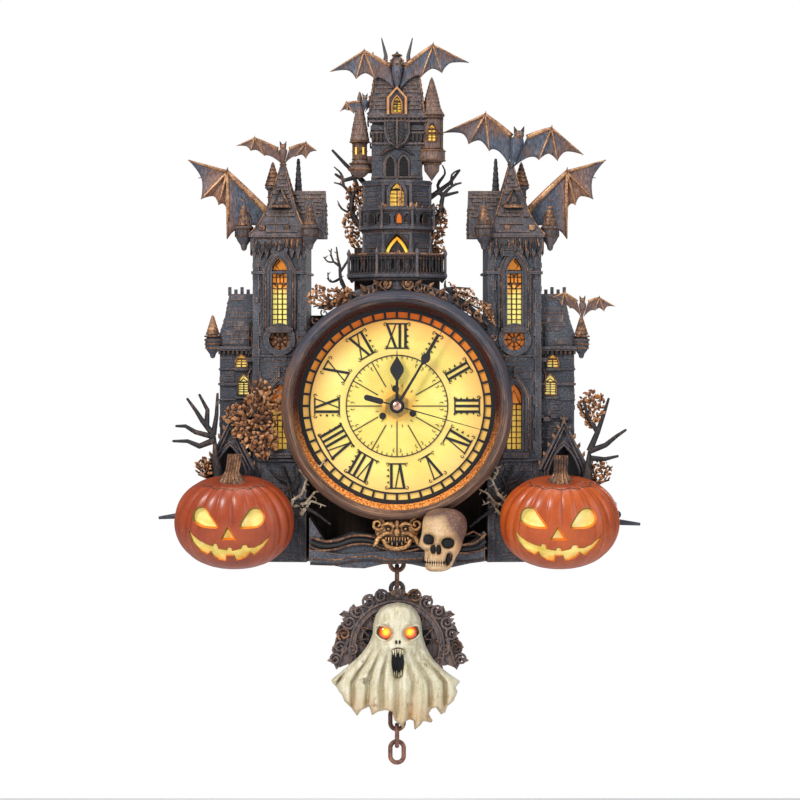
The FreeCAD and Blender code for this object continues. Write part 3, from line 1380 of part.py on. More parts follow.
base_rail = base_rail.cut(eye_room).cut(eye_hole)
slit_height = 1.4
for side in (-1, 1):
    for step in (0, 1):
        middle = side * base_half * (0.42 + 0.34 * step)
        z = castle_foot + slit_height * (11 - 1.5 * step)
        base_rail = base_rail.cut(block(middle - base_half * 0.12, middle + base_half * 0.12,
                                        apron_front + moulding, apron_front - cut_overrun, z,
                                        z + slit_height))
base_rail = seated(base_rail).cut(right_tower).cut(left_tower)
base_rail = max(base_rail.Solids, key=lambda solid: solid.Volume)
save("base_rail", base_rail)

# Gilt mask on the apron's middle, with a fanged jaw
mask_half = 13.8
mask_thick = 5.0
mask_pixel = mask_half * 2 / 50
mask_pixels = [(369, 530), (373, 520), (380, 516), (388, 519), (396, 517), (404, 519), (412, 516), (418, 520),
               (420, 530), (414, 536), (412, 543), (407, 538), (403, 545), (398, 540), (395, 546), (391, 540),
               (386, 545), (383, 538), (378, 544), (376, 536)]
mask_origin_pixel = (395, 546)
mask_foot = castle_foot + mask_half * 0.65
mask_plate = traced(mask_pixels, mask_origin_pixel, mask_pixel, 0, mask_foot, apron_front,
                    apron_front - mask_thick)
mask_parts = [mask_plate]
mask_eye_z = mask_foot + (mask_origin_pixel[1] - 522) * mask_pixel
for side in (-1, 1):
    mask_parts.append(ring_y(side * mask_half * 0.47, mask_eye_z, mask_half * 0.24, mask_half * 0.1,
                             apron_front - mask_thick / 2, apron_front - mask_thick - moulding))
mascaron = fused(*mask_parts).cut(base_rail).cut(dial_room)
save("mascaron", mascaron)

# Side houses: walls and a mansard with cresting, outside the towers
house_front = board_front - 25.0
house_top = 33.0
house_edge_x = tower_offset + shaft_half + house_width * 0.88
house_inner_x = tower_offset + shaft_half * 0.6
mansard_height = 29.0
mansard_top_half = 8.5
house_middle = (house_inner_x + house_edge_x) / 2
small_window_half = 3.0
# Each window: its place across the wall, its foot and its apex up to the eaves
house_window_shares = ((0.57, 0.65, 0.87), (0.52, 0.19, 0.53))


def house(side):
    walls = block(house_inner_x, house_edge_x, board_front, house_front, castle_foot, house_top)
    eaves = block(house_inner_x, house_edge_x + eaves_reach, board_front, house_front - eaves_reach,
                  house_top - slab_thick, house_top)
    mansard = plate([(house_inner_x, house_top), (house_edge_x + eaves_reach, house_top),
                     (house_edge_x - eaves_reach, house_top + mansard_height * 0.52),
                     (house_middle + mansard_top_half, house_top + mansard_height),
                     (house_inner_x, house_top + mansard_height)],
                    board_front, house_front)
    adds = [eaves, mansard]
    posts = 6
    for index in range(posts):
        x = house_middle - mansard_top_half + index * mansard_top_half * 2 / (posts - 1)
        adds.append(block(x - pin_radius, x + pin_radius, house_front + eaves_reach,
                          house_front + eaves_reach * 2,
                          house_top + mansard_height - pin_radius,
                          house_top + mansard_height + eaves_reach * (1 + index % 2 / 2)))
    adds.append(turret(house_edge_x + turret_radius * 0.85, house_front, house_top + slab_thick / 2,
                       turret_radius * 0.9, turret_height * 0.8))
    ledge_z = house_top - slab_thick * 2
    adds.append(block(house_inner_x, house_edge_x + moulding / 2, board_front, house_front - moulding,
                      ledge_z - slab_thick * 7, ledge_z - slab_thick * 6.4))
    shape = fused(walls, *adds)
    glass = []
    width = house_edge_x - house_inner_x
    for place_share, foot_share, apex_share in house_window_shares:
        x = house_inner_x + width * place_share
        foot = house_top * foot_share
        apex = house_top * apex_share
        shape = shape.cut(lancet(x, foot, apex, small_window_half, house_front + recess_depth / 2,
                                 house_front - cut_overrun))
        glass.append(lancet(x, foot + running_gap, apex - running_gap, small_window_half - running_gap,
                            house_front + recess_depth / 2, house_front + recess_depth / 2 - pane_thick / 2))
    shape = seated(shape).cut(right_tower).cut(right_tower_roof)
    shape = max(shape.Solids, key=lambda solid: solid.Volume)
    if side < 0:
        return mirrored(shape), [mirrored(pane) for pane in glass]
    return shape, glass


right_house, right_glass = house(1)
left_house, left_glass = house(-1)
panes += right_glass + left_glass
save("side_houses", left_house, right_house)

# Porches: gabled arches in front of the houses
porch_offset = 91.8
porch_half = 12.6
porch_apex = -8.6
porch_eaves = -35.0
porch_depth = 8.0
porch_arch_half = 8.6
porch_arch_apex = -21.5
porch_front = house_front - porch_depth
porch_arch_foot = castle_foot + porch_half * 1.6
gable_lean = 2.6            # how far the outer foot drops below the inner
porch = plate([(porch_offset - porch_half, castle_foot), (porch_offset - porch_half,
                                                          porch_eaves + gable_lean),
               (porch_offset, porch_apex), (porch_offset + porch_half, porch_eaves - gable_lean),
               (porch_offset + porch_half, castle_foot)], house_front, porch_front)
gable_board = plate([(porch_offset - porch_half * 1.1, porch_eaves + gable_lean), (porch_offset, porch_apex),
                     (porch_offset + porch_half * 1.1, porch_eaves - gable_lean),
                     (porch_offset + porch_half * 1.1, porch_eaves - gable_lean - moulding * 1.5),
                     (porch_offset, porch_apex - moulding * 2.4),
                     (porch_offset - porch_half * 1.1, porch_eaves + gable_lean - moulding * 1.5)],
                    house_front, porch_front - moulding)
porch = fused(porch, gable_board)
porch = porch.cut(lancet(porch_offset, porch_arch_foot, porch_arch_apex, porch_arch_half,
                         porch_front + porch_depth * 0.75, porch_front - cut_overrun))
porch = seated(porch).cut(right_tower).cut(right_house)
porch = max(porch.Solids, key=lambda solid: solid.Volume)

# A broken stake runs out of each porch's wall, past the pumpkin
stake_radius = 3.2
stake_tip_radius = 0.8
left_stake_reach = 27.1
right_stake_reach = 29.8
left_stake_height = 27.5    # above the castle's foot
right_stake_height = 24.0
stake_y = (house_front + porch_front) / 2


def staked(side_porch, reach, height):
    """A right-hand porch with its stake, which drops a little towards the tip."""
    wall_x = porch_offset + porch_half
    root = vector(wall_x - stake_radius, stake_y, castle_foot + height)
    tip = vector(wall_x + reach, stake_y, castle_foot + height - stake_radius)
    return fused(side_porch, rod(root, tip, stake_radius, stake_tip_radius))


right_porch = staked(porch, right_stake_reach, right_stake_height)
left_porch = mirrored(staked(porch, left_stake_reach, left_stake_height))
save("porches", left_porch, right_porch)
panes.append(lancet(porch_offset, porch_arch_foot + running_gap, porch_arch_apex - running_gap,
                    porch_arch_half - running_gap, porch_front + porch_depth * 0.75,
                    porch_front + porch_depth * 0.75 - pane_thick).cut(right_tower))
panes.append(mirrored(panes[-1]))
save("window_panes", *panes)


def rounded_body(centre, half_x, half_y, half_z, lobes, groove_share, sides, rings):
    """A ball-like body built of flat-sided rings, with upright grooves between its lobes."""
    wires = []
    for ring in range(rings + 1):
        latitude = math.pi * (ring + 0.35) / (rings + 0.7) - math.pi / 2
        points = []
        for index in range(sides):
            angle = 2 * math.pi * index / sides
            groove = 1 - groove_share * (1 - abs(math.sin(lobes * angle / 2))) if lobes else 1
            reach = math.cos(latitude) * groove
            points.append(centre + vector(half_x * reach * math.cos(angle), half_y * reach * math.sin(angle),
                                          half_z * math.sin(latitude)))
        wires.append(loop_wire(points))
    return positive(Part.makeLoft(wires, True, True))


# Bats: flat cast wings with a rounded body
bat_thick = 2.4


def bat(pixels, origin_pixel, span, x, z, back):
    """A cast bat placed by one of its pixels, with its wingspan as named."""
    width = max(u for u, v in pixels) - min(u for u, v in pixels)
    scale = span / width
    wings = traced(pixels, origin_pixel, scale, x, z, back, back - bat_thick)
    return wings


def bat_body(x, z, back, radius, height):
    """A spindle body, flattened behind."""
    spindle = turned_z([(0, z - height), (radius * 0.6, z - height * 0.5), (radius, z),
                        (radius * 0.6, z + height * 0.55),
                        (radius * 0.75, z + height * 0.7), (radius * 0.5, z + height), (0, z + height * 1.1)],
                       x, back - bat_thick * 0.7)
    return spindle


top_bat_span = 76.5
top_bat_pixels = [
    (331, 72), (346, 59), (365, 51), (377, 60), (390, 66), (392, 58), (398, 62), (405, 58), (407, 65), (420,
                                                                                                        56),
    (434, 45), (455, 52), (470, 63), (455, 64), (443, 73), (432, 70), (422, 77), (412, 78), (404, 84),
    (398, 92),
    (392, 84), (386, 76), (376, 79), (367, 72), (357, 79), (346, 70),
]
top_bat_origin_pixel = (398, 76)
top_bat_z = belfry_top + centre_roof_height * 0.82
top_bat_back = belfry_y - roof_base_half * 0.86
top_bat = fused(
    bat(top_bat_pixels, top_bat_origin_pixel, top_bat_span, 0, top_bat_z, top_bat_back),
    bat_body(0, top_bat_z, top_bat_back, bat_thick * 1.5, bat_thick * 3.4),
).cut(centre_roof).cut(right_bartizan).cut(left_bartizan)
top_bat = max(top_bat.Solids, key=lambda solid: solid.Volume)
save("top_bat", top_bat)

apex = vector(tower_offset, tower_mid_y, tower_top + roof_height)
yaw_radians = math.radians(tower_yaw)
apex_x = tower_offset + (board_front - tower_mid_y) * math.sin(yaw_radians)
apex_y = board_front - (board_front - tower_mid_y) * math.cos(yaw_radians)
bat_back = apex_y + bat_thick / 2
left_bat_span = 44.6
right_bat_span = 78.1
left_bat_pixels = [
    (238, 141), (249, 134), (261, 133), (270, 139), (279, 143), (281, 138), (285, 141), (289, 138), (292,
                                                                                                     143),
    (303, 138), (312, 140), (319, 146), (312, 148), (307, 154), (299, 150), (292, 153), (285, 161),
    (279, 152),
    (270, 149), (259, 147), (249, 143),
]
right_bat_pixels = [
    (443, 132), (464, 119), (486, 113), (500, 124), (513, 132), (515, 127), (520, 130), (528, 130), (530,
                                                                                                     135),
    (545, 128), (557, 127), (574, 138), (585, 154), (570, 152), (558, 160), (549, 152), (539, 159),
    (528, 152),
    (518, 158), (512, 169), (509, 154), (501, 145), (490, 150), (480, 140), (469, 143), (458, 133),
]
left_bat = fused(
    bat(left_bat_pixels, (285, 161), left_bat_span, -apex_x, apex.z - bat_thick, bat_back),
    bat_body(-apex_x, apex.z + bat_thick * 2.4, bat_back + bat_thick * 0.2, bat_thick * 1.1, bat_thick * 2.6),
).cut(left_tower_roof)
left_bat = max(left_bat.Solids, key=lambda solid: solid.Volume)
right_bat = fused(
    bat(right_bat_pixels, (512, 169), right_bat_span, apex_x, apex.z - bat_thick * 2,
        bat_back - bat_thick * 0.4),
    bat_body(apex_x + bat_thick * 1.6, apex.z + bat_thick * 2.6, bat_back - bat_thick * 0.4,
             bat_thick * 1.3, bat_thick * 3.4),
).cut(right_tower_roof)
right_bat = max(right_bat.Solids, key=lambda solid: solid.Volume)
save("left_bat", left_bat)
save("right_bat", right_bat)

post_bat_span = 35.2
turret_bat_span = 28.0
post_bat_pixels = [
    (561, 300), (569, 296), (578, 296), (586, 303), (588, 299), (592, 302), (597, 299), (599, 304), (606,
                                                                                                     300),
    (613, 301), (625, 309), (618, 309), (613, 314), (606, 310), (599, 314), (592, 322), (587, 312),
    (579, 309),
    (571, 308), (567, 303),
]
turret_bat_pixels = [
    (344, 111), (347, 105), (352, 102), (360, 103), (365, 100), (367, 94), (371, 97), (376, 93), (380,
                                                                                                  91),
                                                                                                  (388, 87),
    (395, 87), (390, 92), (388, 98), (381, 99), (378, 105), (371, 106), (368, 113), (363, 109), (357, 112),
    (352, 109),
]
post_x = house_edge_x + turret_radius * 0.85
post_top = house_top + slab_thick / 2 + turret_height * 0.8
post_back = house_front + bat_thick / 2
post_bat = fused(
    bat(post_bat_pixels, (591, 322), post_bat_span, post_x, post_top - bat_thick, post_back),
    bat_body(post_x, post_top + bat_thick, post_back, bat_thick * 0.9, bat_thick * 2),
).cut(right_house)
turret_bat_z = left_turret_foot + left_turret_height * 0.88
turret_bat = fused(
    bat(turret_bat_pixels, (368, 101), turret_bat_span, -left_turret_offset + bat_thick, turret_bat_z,
        bartizan_y - bat_thick * 0.2),
    bat_body(-left_turret_offset + bat_thick, turret_bat_z, bartizan_y - bat_thick * 0.2, bat_thick * 0.8,
             bat_thick * 1.6),
).cut(left_bartizan).cut(centre_roof)
post_bat = max(post_bat.Solids, key=lambda solid: solid.Volume)
turret_bat = max(turret_bat.Solids, key=lambda solid: solid.Volume)
save("small_bats", post_bat, turret_bat.cut(top_bat))

# Leathery wings on the outer sides of the towers
wing_reach = 46.0
wing_thick = 2.6
wing_y = board_front - tower_depth * 0.35
wing_pixels = [
    (268, 214), (255, 206), (241, 195), (232, 178), (223, 166), (204, 160), (183, 157), (192, 172), (196,
                                                                                                     197),
    (206, 190), (214, 203), (220, 202), (225, 218), (225, 228), (223, 238), (231, 229), (238, 231),
    (250, 224),
    (268, 224),
]
wing_origin_pixel = (268, 219)
wing_scale = wing_reach / 85
wing_root_x = -(tower_offset + roof_half * 0.5)
wing_z = tower_top + roof_height * 0.24
left_wing = traced(wing_pixels, wing_origin_pixel, wing_scale, wing_root_x, wing_z, wing_y,
                   wing_y - wing_thick)
finger_tip_pixels = ((183, 157), (196, 197), (214, 203), (225, 218), (223, 238))
wrist_pixel = (223, 172)
ridge_height = 1.2
ridge_front = wing_y - wing_thick - ridge_height


def wing_point(pixel):
    return (wing_root_x + (pixel[0] - wing_origin_pixel[0]) * wing_scale,
            wing_z + (wing_origin_pixel[1] - pixel[1]) * wing_scale)


def ridge(start, end, width_start, width_end, y0, y1):
    """A flat tapering bar between two (x, z) points."""
    length = math.hypot(end[0] - start[0], end[1] - start[1])
    side_x = -(end[1] - start[1]) / length / 2
    side_z = (end[0] - start[0]) / length / 2
    return plate([
        (start[0] + side_x * width_start, start[1] + side_z * width_start),
        (end[0] + side_x * width_end, end[1] + side_z * width_end),
        (end[0] - side_x * width_end, end[1] - side_z * width_end),
        (start[0] - side_x * width_start, start[1] - side_z * width_start),
    ], y0, y1)


wrist = wing_point(wrist_pixel)
fingers = [ridge((wing_root_x, wing_z), wrist, pin_radius * 3.4, pin_radius * 2.6, wing_y, ridge_front),
           rod_y(wrist[0], wrist[1], pin_radius * 1.4, wing_y, ridge_front - ridge_height / 2)]
for pixel in finger_tip_pixels:
    tip_x, tip_z = wing_point(pixel)
    end = (wrist[0] + (tip_x - wrist[0]) * 0.9, wrist[1] + (tip_z - wrist[1]) * 0.9)
    fingers.append(ridge(wrist, end, pin_radius * 2, pin_radius * 1.1, wing_y, ridge_front))
left_wing = fused(left_wing, *fingers)
right_wing = mirrored(left_wing)
left_wing = left_wing.cut(left_tower_roof).cut(left_bat)
right_wing = right_wing.cut(right_tower_roof).cut(right_bat)
left_wing = max(left_wing.Solids, key=lambda solid: solid.Volume)
right_wing = max(right_wing.Solids, key=lambda solid: solid.Volume)
save("side_wings", left_wing, right_wing)

# Bare trees, branches of tapering rods
tree_pixel = 0.55           # size of one photo pixel on the clock's front
trunk_radius = 3.0
twig_radius = 0.7
tree_y = porch_front - moulding - trunk_radius - piece_gap
photo_centre_pixel = (397, 406)


def front_point(pixel, y):
    return vector((pixel[0] - photo_centre_pixel[0]) * tree_pixel, y,
                  (photo_centre_pixel[1] - pixel[1]) * tree_pixel)


def branches(limbs, y, scale=1.0):
    """Limbs as lists of pixels, each thinning from its first point to its last."""
    rods = []
    for root_share, limb in limbs:
        count = len(limb) - 1
        for index in range(count):
            start = front_point(limb[index], y)
            end = front_point(limb[index + 1], y)
            first = twig_radius + (trunk_radius - twig_radius) * root_share * (1 - index / count)
            last = twig_radius + (trunk_radius - twig_radius) * root_share * (1 - (index + 1) / count)
            rods.append(rod(start, end, first * scale, last * scale))
            rods.append(Part.makeSphere(last * scale, end))
    return fused(*rods)


left_tree = branches([
    (1.0, [(219, 478), (216, 456), (215, 436)]),
    (0.5, [(215, 440), (200, 446), (188, 441), (174, 441)]),
    (0.4, [(215, 437), (196, 432), (186, 426), (177, 426)]),
    (0.45, [(215, 436), (203, 421), (196, 410), (188, 399)]),
    (0.4, [(207, 426), (208, 410), (200, 395)]),
    (0.4, [(214, 434), (217, 415), (218, 394)]),
], tree_y)
right_tree = branches([
    (1.0, [(586, 480), (588, 464), (589, 449)]),
    (0.5, [(589, 451), (597, 432), (603, 415), (608, 399)]),
    (0.45, [(589, 451), (605, 445), (616, 436), (625, 430)]),
    (0.4, [(590, 458), (604, 459), (617, 456)]),
    (0.3, [(597, 432), (588, 418), (583, 402)]),
], tree_y)
upper_y = drum_y
left_upper = branches([
    (0.45, [(372, 190), (358, 174), (345, 162), (332, 148)]),
    (0.3, [(358, 174), (344, 178), (335, 172)]),
], upper_y)
right_upper = branches([
    (0.45, [(424, 200), (438, 190), (450, 181), (460, 168)]),
    (0.3, [(438, 190), (446, 193), (458, 190)]),
], upper_y)
thicket_y = tower_front - trunk_radius
left_thicket = branches([
    (0.3, [(286, 516), (292, 500), (288, 482), (281, 464)]),
    (0.3, [(292, 500), (304, 506), (318, 515), (330, 524)]),
    (0.2, [(288, 482), (278, 478), (270, 470)]),
], thicket_y)
right_thicket = branches([
    (0.3, [(509, 516), (504, 502), (507, 484), (513, 466)]),
    (0.3, [(504, 502), (494, 508), (482, 517), (470, 527)]),
    (0.2, [(507, 484), (517, 480), (524, 472)]),
], thicket_y)
trees = []
for shape in (left_tree, right_tree, left_upper, right_upper, left_thicket, right_thicket):
    for neighbour in (right_tower, left_tower, right_house, left_house, right_porch, left_porch, base_rail,
                      centre_tower, upper_balcony, lower_balcony, left_bartizan, right_bartizan):
        if shape.BoundBox.intersect(neighbour.BoundBox):
            shape = shape.cut(neighbour)
    shape = shape.cut(dial_room)
    trees.append(max(shape.Solids, key=lambda solid: solid.Volume))
save("bare_trees", *trees)

# Foliage clusters
leaf_thick = 4.0
leaf_back = porch_front - moulding
big_left_leaf_pixels = [
    (223, 419), (229, 405), (237, 400), (246, 388), (262, 378), (270, 386), (281, 392), (283, 412), (276,
                                                                                                     425),
    (279, 446), (271, 452), (265, 463), (255, 455), (247, 449), (240, 438), (232, 436), (231, 426),
]
big_right_leaf_pixels = [(577, 404), (582, 393), (592, 389), (601, 394), (606, 408), (600, 418), (594, 429),
                         (584, 424)]
low_left_leaf_pixels = [(196, 462), (204, 456), (213, 460), (214, 472), (206, 478), (197, 473)]
low_right_leaf_pixels = [(590, 462), (601, 458), (612, 466), (609, 480), (597, 484), (588, 476)]
upper_left_leaf_pixels = [(373, 240), (352, 247), (345, 236), (342, 220), (348, 205), (345, 190),
                          (352, 178), (362, 182), (373, 190)]
upper_right_leaf_pixels = [(424, 206), (436, 201), (446, 207), (448, 222), (443, 238), (446, 250),
                           (436, 255), (424, 250)]


def foliage_plate(pixels, back):
    points = [front_point(pixel, back) for pixel in pixels]
    return plate([(point.x, point.z) for point in points], back, back - leaf_thick)


leaves = []
for pixels, back in ((big_left_leaf_pixels, leaf_back), (big_right_leaf_pixels, leaf_back - leaf_thick * 0.2),
                     (low_left_leaf_pixels, leaf_back), (low_right_leaf_pixels, leaf_back),
                     (upper_left_leaf_pixels, drum_y + leaf_thick / 2),
                     (upper_right_leaf_pixels, drum_y + leaf_thick / 2)):
    shape = foliage_plate(pixels, back).cut(dial_room)
    for neighbour in (*trees, right_tower, left_tower, right_porch, left_porch, centre_tower, upper_balcony,
                      lower_balcony, left_bartizan, right_bartizan, bezel_crest):
        if shape.BoundBox.intersect(neighbour.BoundBox):
            shape = shape.cut(neighbour)
    leaves.append(max(shape.Solids, key=lambda solid: solid.Volume))
save("foliage", *leaves)

# Pumpkins with carved faces, flat behind
pumpkin_offset = 89.0
pumpkin_half = 33.0
pumpkin_height = 51.5
pumpkin_depth = 24.0
pumpkin_lobes = 11
pumpkin_back = leaf_back - piece_gap
pumpkin_z = castle_foot + pumpkin_height * 0.44
pumpkin_groove_share = 0.10
carve_depth = 9.0
stem_height = 15.0
stem_radius = 4.0
pumpkin_face_shares = {
    "left eye": ((-0.68, 0.30), (-0.22, 0.02), (-0.30, -0.10), (-0.60, -0.08)),
    "right eye": ((0.68, 0.34), (0.22, 0.02), (0.30, -0.10), (0.62, -0.08)),
    "nose": ((0.0, 0.02), (0.13, -0.26), (-0.13, -0.26)),
    "mouth": ((-0.78, -0.14), (-0.55, -0.34), (-0.42, -0.26), (-0.34, -0.42), (-0.18, -0.34), (-0.10, -0.48),
              (0.02, -0.38), (0.12, -0.48), (0.22, -0.34), (0.36, -0.42), (0.44, -0.26), (0.58, -0.34),
              (0.78, -0.12),
              (0.66, -0.56), (0.5, -0.52), (0.4, -0.70), (0.22, -0.62), (0.1, -0.76), (-0.06, -0.66),
              (-0.2, -0.76),
              (-0.34, -0.60), (-0.46, -0.68), (-0.6, -0.52)),
}


def pumpkin(side):
    centre = vector(pumpkin_offset, pumpkin_back - pumpkin_depth * 0.28, pumpkin_z)
    body = rounded_body(centre, pumpkin_half, pumpkin_depth, pumpkin_height / 2, pumpkin_lobes,
                        pumpkin_groove_share, pumpkin_lobes * 4, 10)
    reach = pumpkin_half * 2
    front = centre.y - pumpkin_depth
    faces = []
    for outline in pumpkin_face_shares.values():
        points = [(centre.x + i * pumpkin_half, centre.z + j * pumpkin_height / 2) for i, j in outline]
        faces.append(plate(points, front + carve_depth, front - cut_overrun))
    body = body.cut(Part.makeCompound(faces))
    foot = vector(centre.x, centre.y, centre.z + pumpkin_height * 0.42)
    top = vector(centre.x + stem_radius * 0.7, centre.y, foot.z + stem_height)
    stem = rod(foot, top, stem_radius * 1.3, stem_radius * 0.8)
    body = fused(body, stem)
    body = body.cut(block(centre.x - reach, centre.x + reach, pumpkin_back, 0, centre.z - reach,
                          centre.z + reach))
    body = body.cut(block(centre.x - reach, centre.x + reach, front * 2, 0, castle_foot - reach,
                          castle_foot - piece_gap * 8))
    if side < 0:
        body = mirrored(body)
    return body


pumpkins = []
for side in (-1, 1):
    shape = pumpkin(side)
    for neighbour in (*trees, *leaves, right_tower, left_tower, right_porch, left_porch):
        if shape.BoundBox.intersect(neighbour.BoundBox):
            shape = shape.cut(neighbour)
    pumpkins.append(max(shape.Solids, key=lambda solid: solid.Volume))
save("pumpkins", *pumpkins)

# Skull resting against the base
skull_x = base_half * 0.52
skull_rise = 17.0           # middle above the castle's foot
skull_z = castle_foot + skull_rise
skull_half = 12.6
skull_depth = 10.5
skull_height = 11.5
jaw_half = 7.6
jaw_height = 17.0
skull_y = apron_front - moulding - skull_depth * 0.72
cranium = rounded_body(vector(skull_x, skull_y, skull_z), skull_half, skull_depth, skull_height * 1.15, 0,
                       0, 28, 10)
jaw = square_loft([(jaw_half * 0.86, skull_depth * 0.5, skull_z - skull_height - jaw_height * 0.42),
                   (jaw_half, skull_depth * 0.66, skull_z - skull_height * 0.7),
                   (jaw_half * 1.1, skull_depth * 0.7, skull_z)], skull_x, skull_y - skull_depth * 0.24)
skull = fused(cranium, jaw)
skull_front = skull_y - skull_depth
sockets = []
for side in (-1, 1):
    sockets.append(rod_y(skull_x + side * skull_half * 0.36, skull_z - skull_height * 0.22, skull_half * 0.27,
                         skull_front + skull_depth * 0.6, skull_front - cut_overrun))
sockets.append(plate([(skull_x, skull_z - skull_height * 0.42),
                      (skull_x + skull_half * 0.17, skull_z - skull_height * 0.85),
                      (skull_x - skull_half * 0.17, skull_z - skull_height * 0.85)],
                     skull_front + skull_depth * 0.6, skull_front - cut_overrun))
skull = skull.cut(Part.makeCompound(sockets))
room = turned_y([(radius + piece_gap if radius > 0 else 0, y) for radius, y in
                 [(bezel_radius, dial_back), (bezel_radius, bezel_back - bezel_depth * 0.65),
                  (bezel_radius - bezel_width * 0.2, bezel_front), (0, bezel_front), (0, dial_back)]])
skull = skull.cut(room).cut(base_rail).cut(mascaron)
skull = max(skull.Solids, key=lambda solid: solid.Volume)
save("skull", skull)

# Pendulum frame: a pierced ring with an eye above and below, across the front
frame_radius = 26.0
frame_inner = 23.4
frame_thick = 5.0
frame_loop_radius = 3.4     # to the middle of the wire, as on the screw eye
tracery_thick = 2.0
tracery_holes = 8
frame_bar_z = bar_z(link_2_top, True)
upper_loop_z = frame_bar_z + 2 * link_wire + link_gap - frame_loop_radius
lower_bar_z = bar_z(link_3_top, False) - 2 * link_wire - link_gap
lower_loop_z = lower_bar_z + frame_loop_radius
frame_drop = 48.0           # castle's foot to the frame's middle
frame_z = castle_foot - frame_drop
frame_back = pendulum_y + frame_thick / 2
frame_front = pendulum_y - frame_thick / 2
upper_loop = Part.makeTorus(frame_loop_radius, link_wire, vector(0, pendulum_y, upper_loop_z),
                            vector(0, 1, 0))
lower_loop = Part.makeTorus(frame_loop_radius, link_wire, vector(0, pendulum_y, lower_loop_z),
                            vector(1, 0, 0))
frame_ring = ring_y(0, frame_z, frame_radius, frame_inner, frame_back, frame_front)
tracery = rod_y(0, frame_z, frame_inner + piece_gap, pendulum_y + tracery_thick / 2,
                pendulum_y - tracery_thick / 2)
holes = []
tracery_circle = frame_inner * 0.66
tracery_hole = tracery_circle * math.sin(math.pi / tracery_holes) * 0.82
for index in range(tracery_holes):
    angle = 2 * math.pi * (index + 0.5) / tracery_holes
    holes.append(rod_y(tracery_circle * math.cos(angle), frame_z + tracery_circle * math.sin(angle),
                       tracery_hole,
                       pendulum_y + frame_thick, pendulum_y - frame_thick))
tracery = tracery.cut(Part.makeCompound(holes))
upper_neck = rod_z(0, pendulum_y, link_wire * 1.6, frame_z + frame_inner + piece_gap,
                   upper_loop_z - frame_loop_radius)
lower_neck = rod_z(0, pendulum_y, link_wire, frame_z - frame_inner - piece_gap,
                   lower_loop_z + frame_loop_radius)
frame_pixels = [
    (396, 596), (388, 594), (378, 600), (366, 604), (356, 614), (347, 622), (341, 634), (336, 646), (331,
                                                                                                     660),
    (336, 672), (344, 664), (349, 650), (356, 650), (356, 676), (376, 692), (396, 698), (416, 692),
    (436, 676),
    (437, 650), (443, 650), (449, 664), (457, 672), (463, 660), (457, 646), (452, 634), (446, 622),
    (437, 614),
    (427, 604), (415, 600), (405, 594),
]
frame_scale = (frame_radius * 2 + frame_radius * 0.8) / 132
scrolls = traced(frame_pixels, (397, 650), frame_scale, 0, frame_z, pendulum_y + frame_thick * 0.3,
                 pendulum_y - frame_thick * 0.3)
scrolls = scrolls.cut(rod_y(0, frame_z, frame_radius - piece_gap, pendulum_y + frame_thick,
                            pendulum_y - frame_thick))
ghost_back = pendulum_y - link_width / 2 - piece_gap * 2
boss = rod_y(0, frame_z, frame_inner * 0.3, pendulum_y, ghost_back)
pendulum_frame = fused(frame_ring, tracery, upper_neck, lower_neck, upper_loop, lower_loop, boss,
                       *scrolls.Solids)
save("pendulum_frame", pendulum_frame)

# Ghost: a hooded head, open mouth and ragged robe, in front of the frame
ghost_thick = 6.0
ghost_reach = 71.5
ghost_pixels = [
    (398, 606), (410, 608), (420, 617), (425, 632), (430, 642), (441, 650), (452, 664), (461, 682), (455,
                                                                                                     684),
    (458, 694), (452, 702), (446, 706), (442, 717), (436, 716), (432, 725), (424, 720), (416, 733),
    (408, 728),
    (402, 732), (392, 722), (384, 714), (372, 719), (366, 712), (356, 718), (354, 706), (342, 702),
    (346, 690),
    (331, 683), (342, 666), (354, 652), (366, 643), (371, 632), (375, 617), (386, 608),
]
ghost_pixel = ghost_reach / 130
ghost_origin_pixel = (397, 650)
robe = traced(ghost_pixels, ghost_origin_pixel, ghost_pixel, 0, frame_z, ghost_back, ghost_back - ghost_thick)
ghost_head_z = frame_z + (ghost_origin_pixel[1] - 630) * ghost_pixel
ghost_head = rounded_body(vector(0, ghost_back - ghost_thick * 0.4, ghost_head_z), ghost_thick * 2.25,
                          ghost_thick * 1.5,
                          ghost_thick * 2.3, 0, 0, 28, 10)
ghost_head = ghost_head.cut(block(-frame_radius, frame_radius, ghost_back, 0, frame_z - frame_radius, 0))
ghost = fused(robe, ghost_head)
ghost_front = ghost_back - ghost_thick * 1.9
for side in (-1, 1):
    eye_hole_shape = rod_y(side * ghost_thick * 1.0, ghost_head_z - ghost_thick * 0.2, ghost_thick * 0.62,
                           ghost_front + ghost_thick * 0.8, ghost_front - cut_overrun)
    ghost = ghost.cut(eye_hole_shape)
mouth_z = ghost_head_z - ghost_thick * 2.4
ghost = ghost.cut(lancet(0, mouth_z - ghost_thick * 1.5, mouth_z + ghost_thick * 1.3, ghost_thick * 0.55,
                         ghost_back - ghost_thick * 0.4, ghost_front - cut_overrun))
save("ghost", ghost)
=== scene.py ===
import random
from math import asin, atan2, cos, dist, exp, hypot, pi, radians, sin, sqrt, tan

import bmesh
import bpy
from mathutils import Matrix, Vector, noise
from mathutils.bvhtree import BVHTree


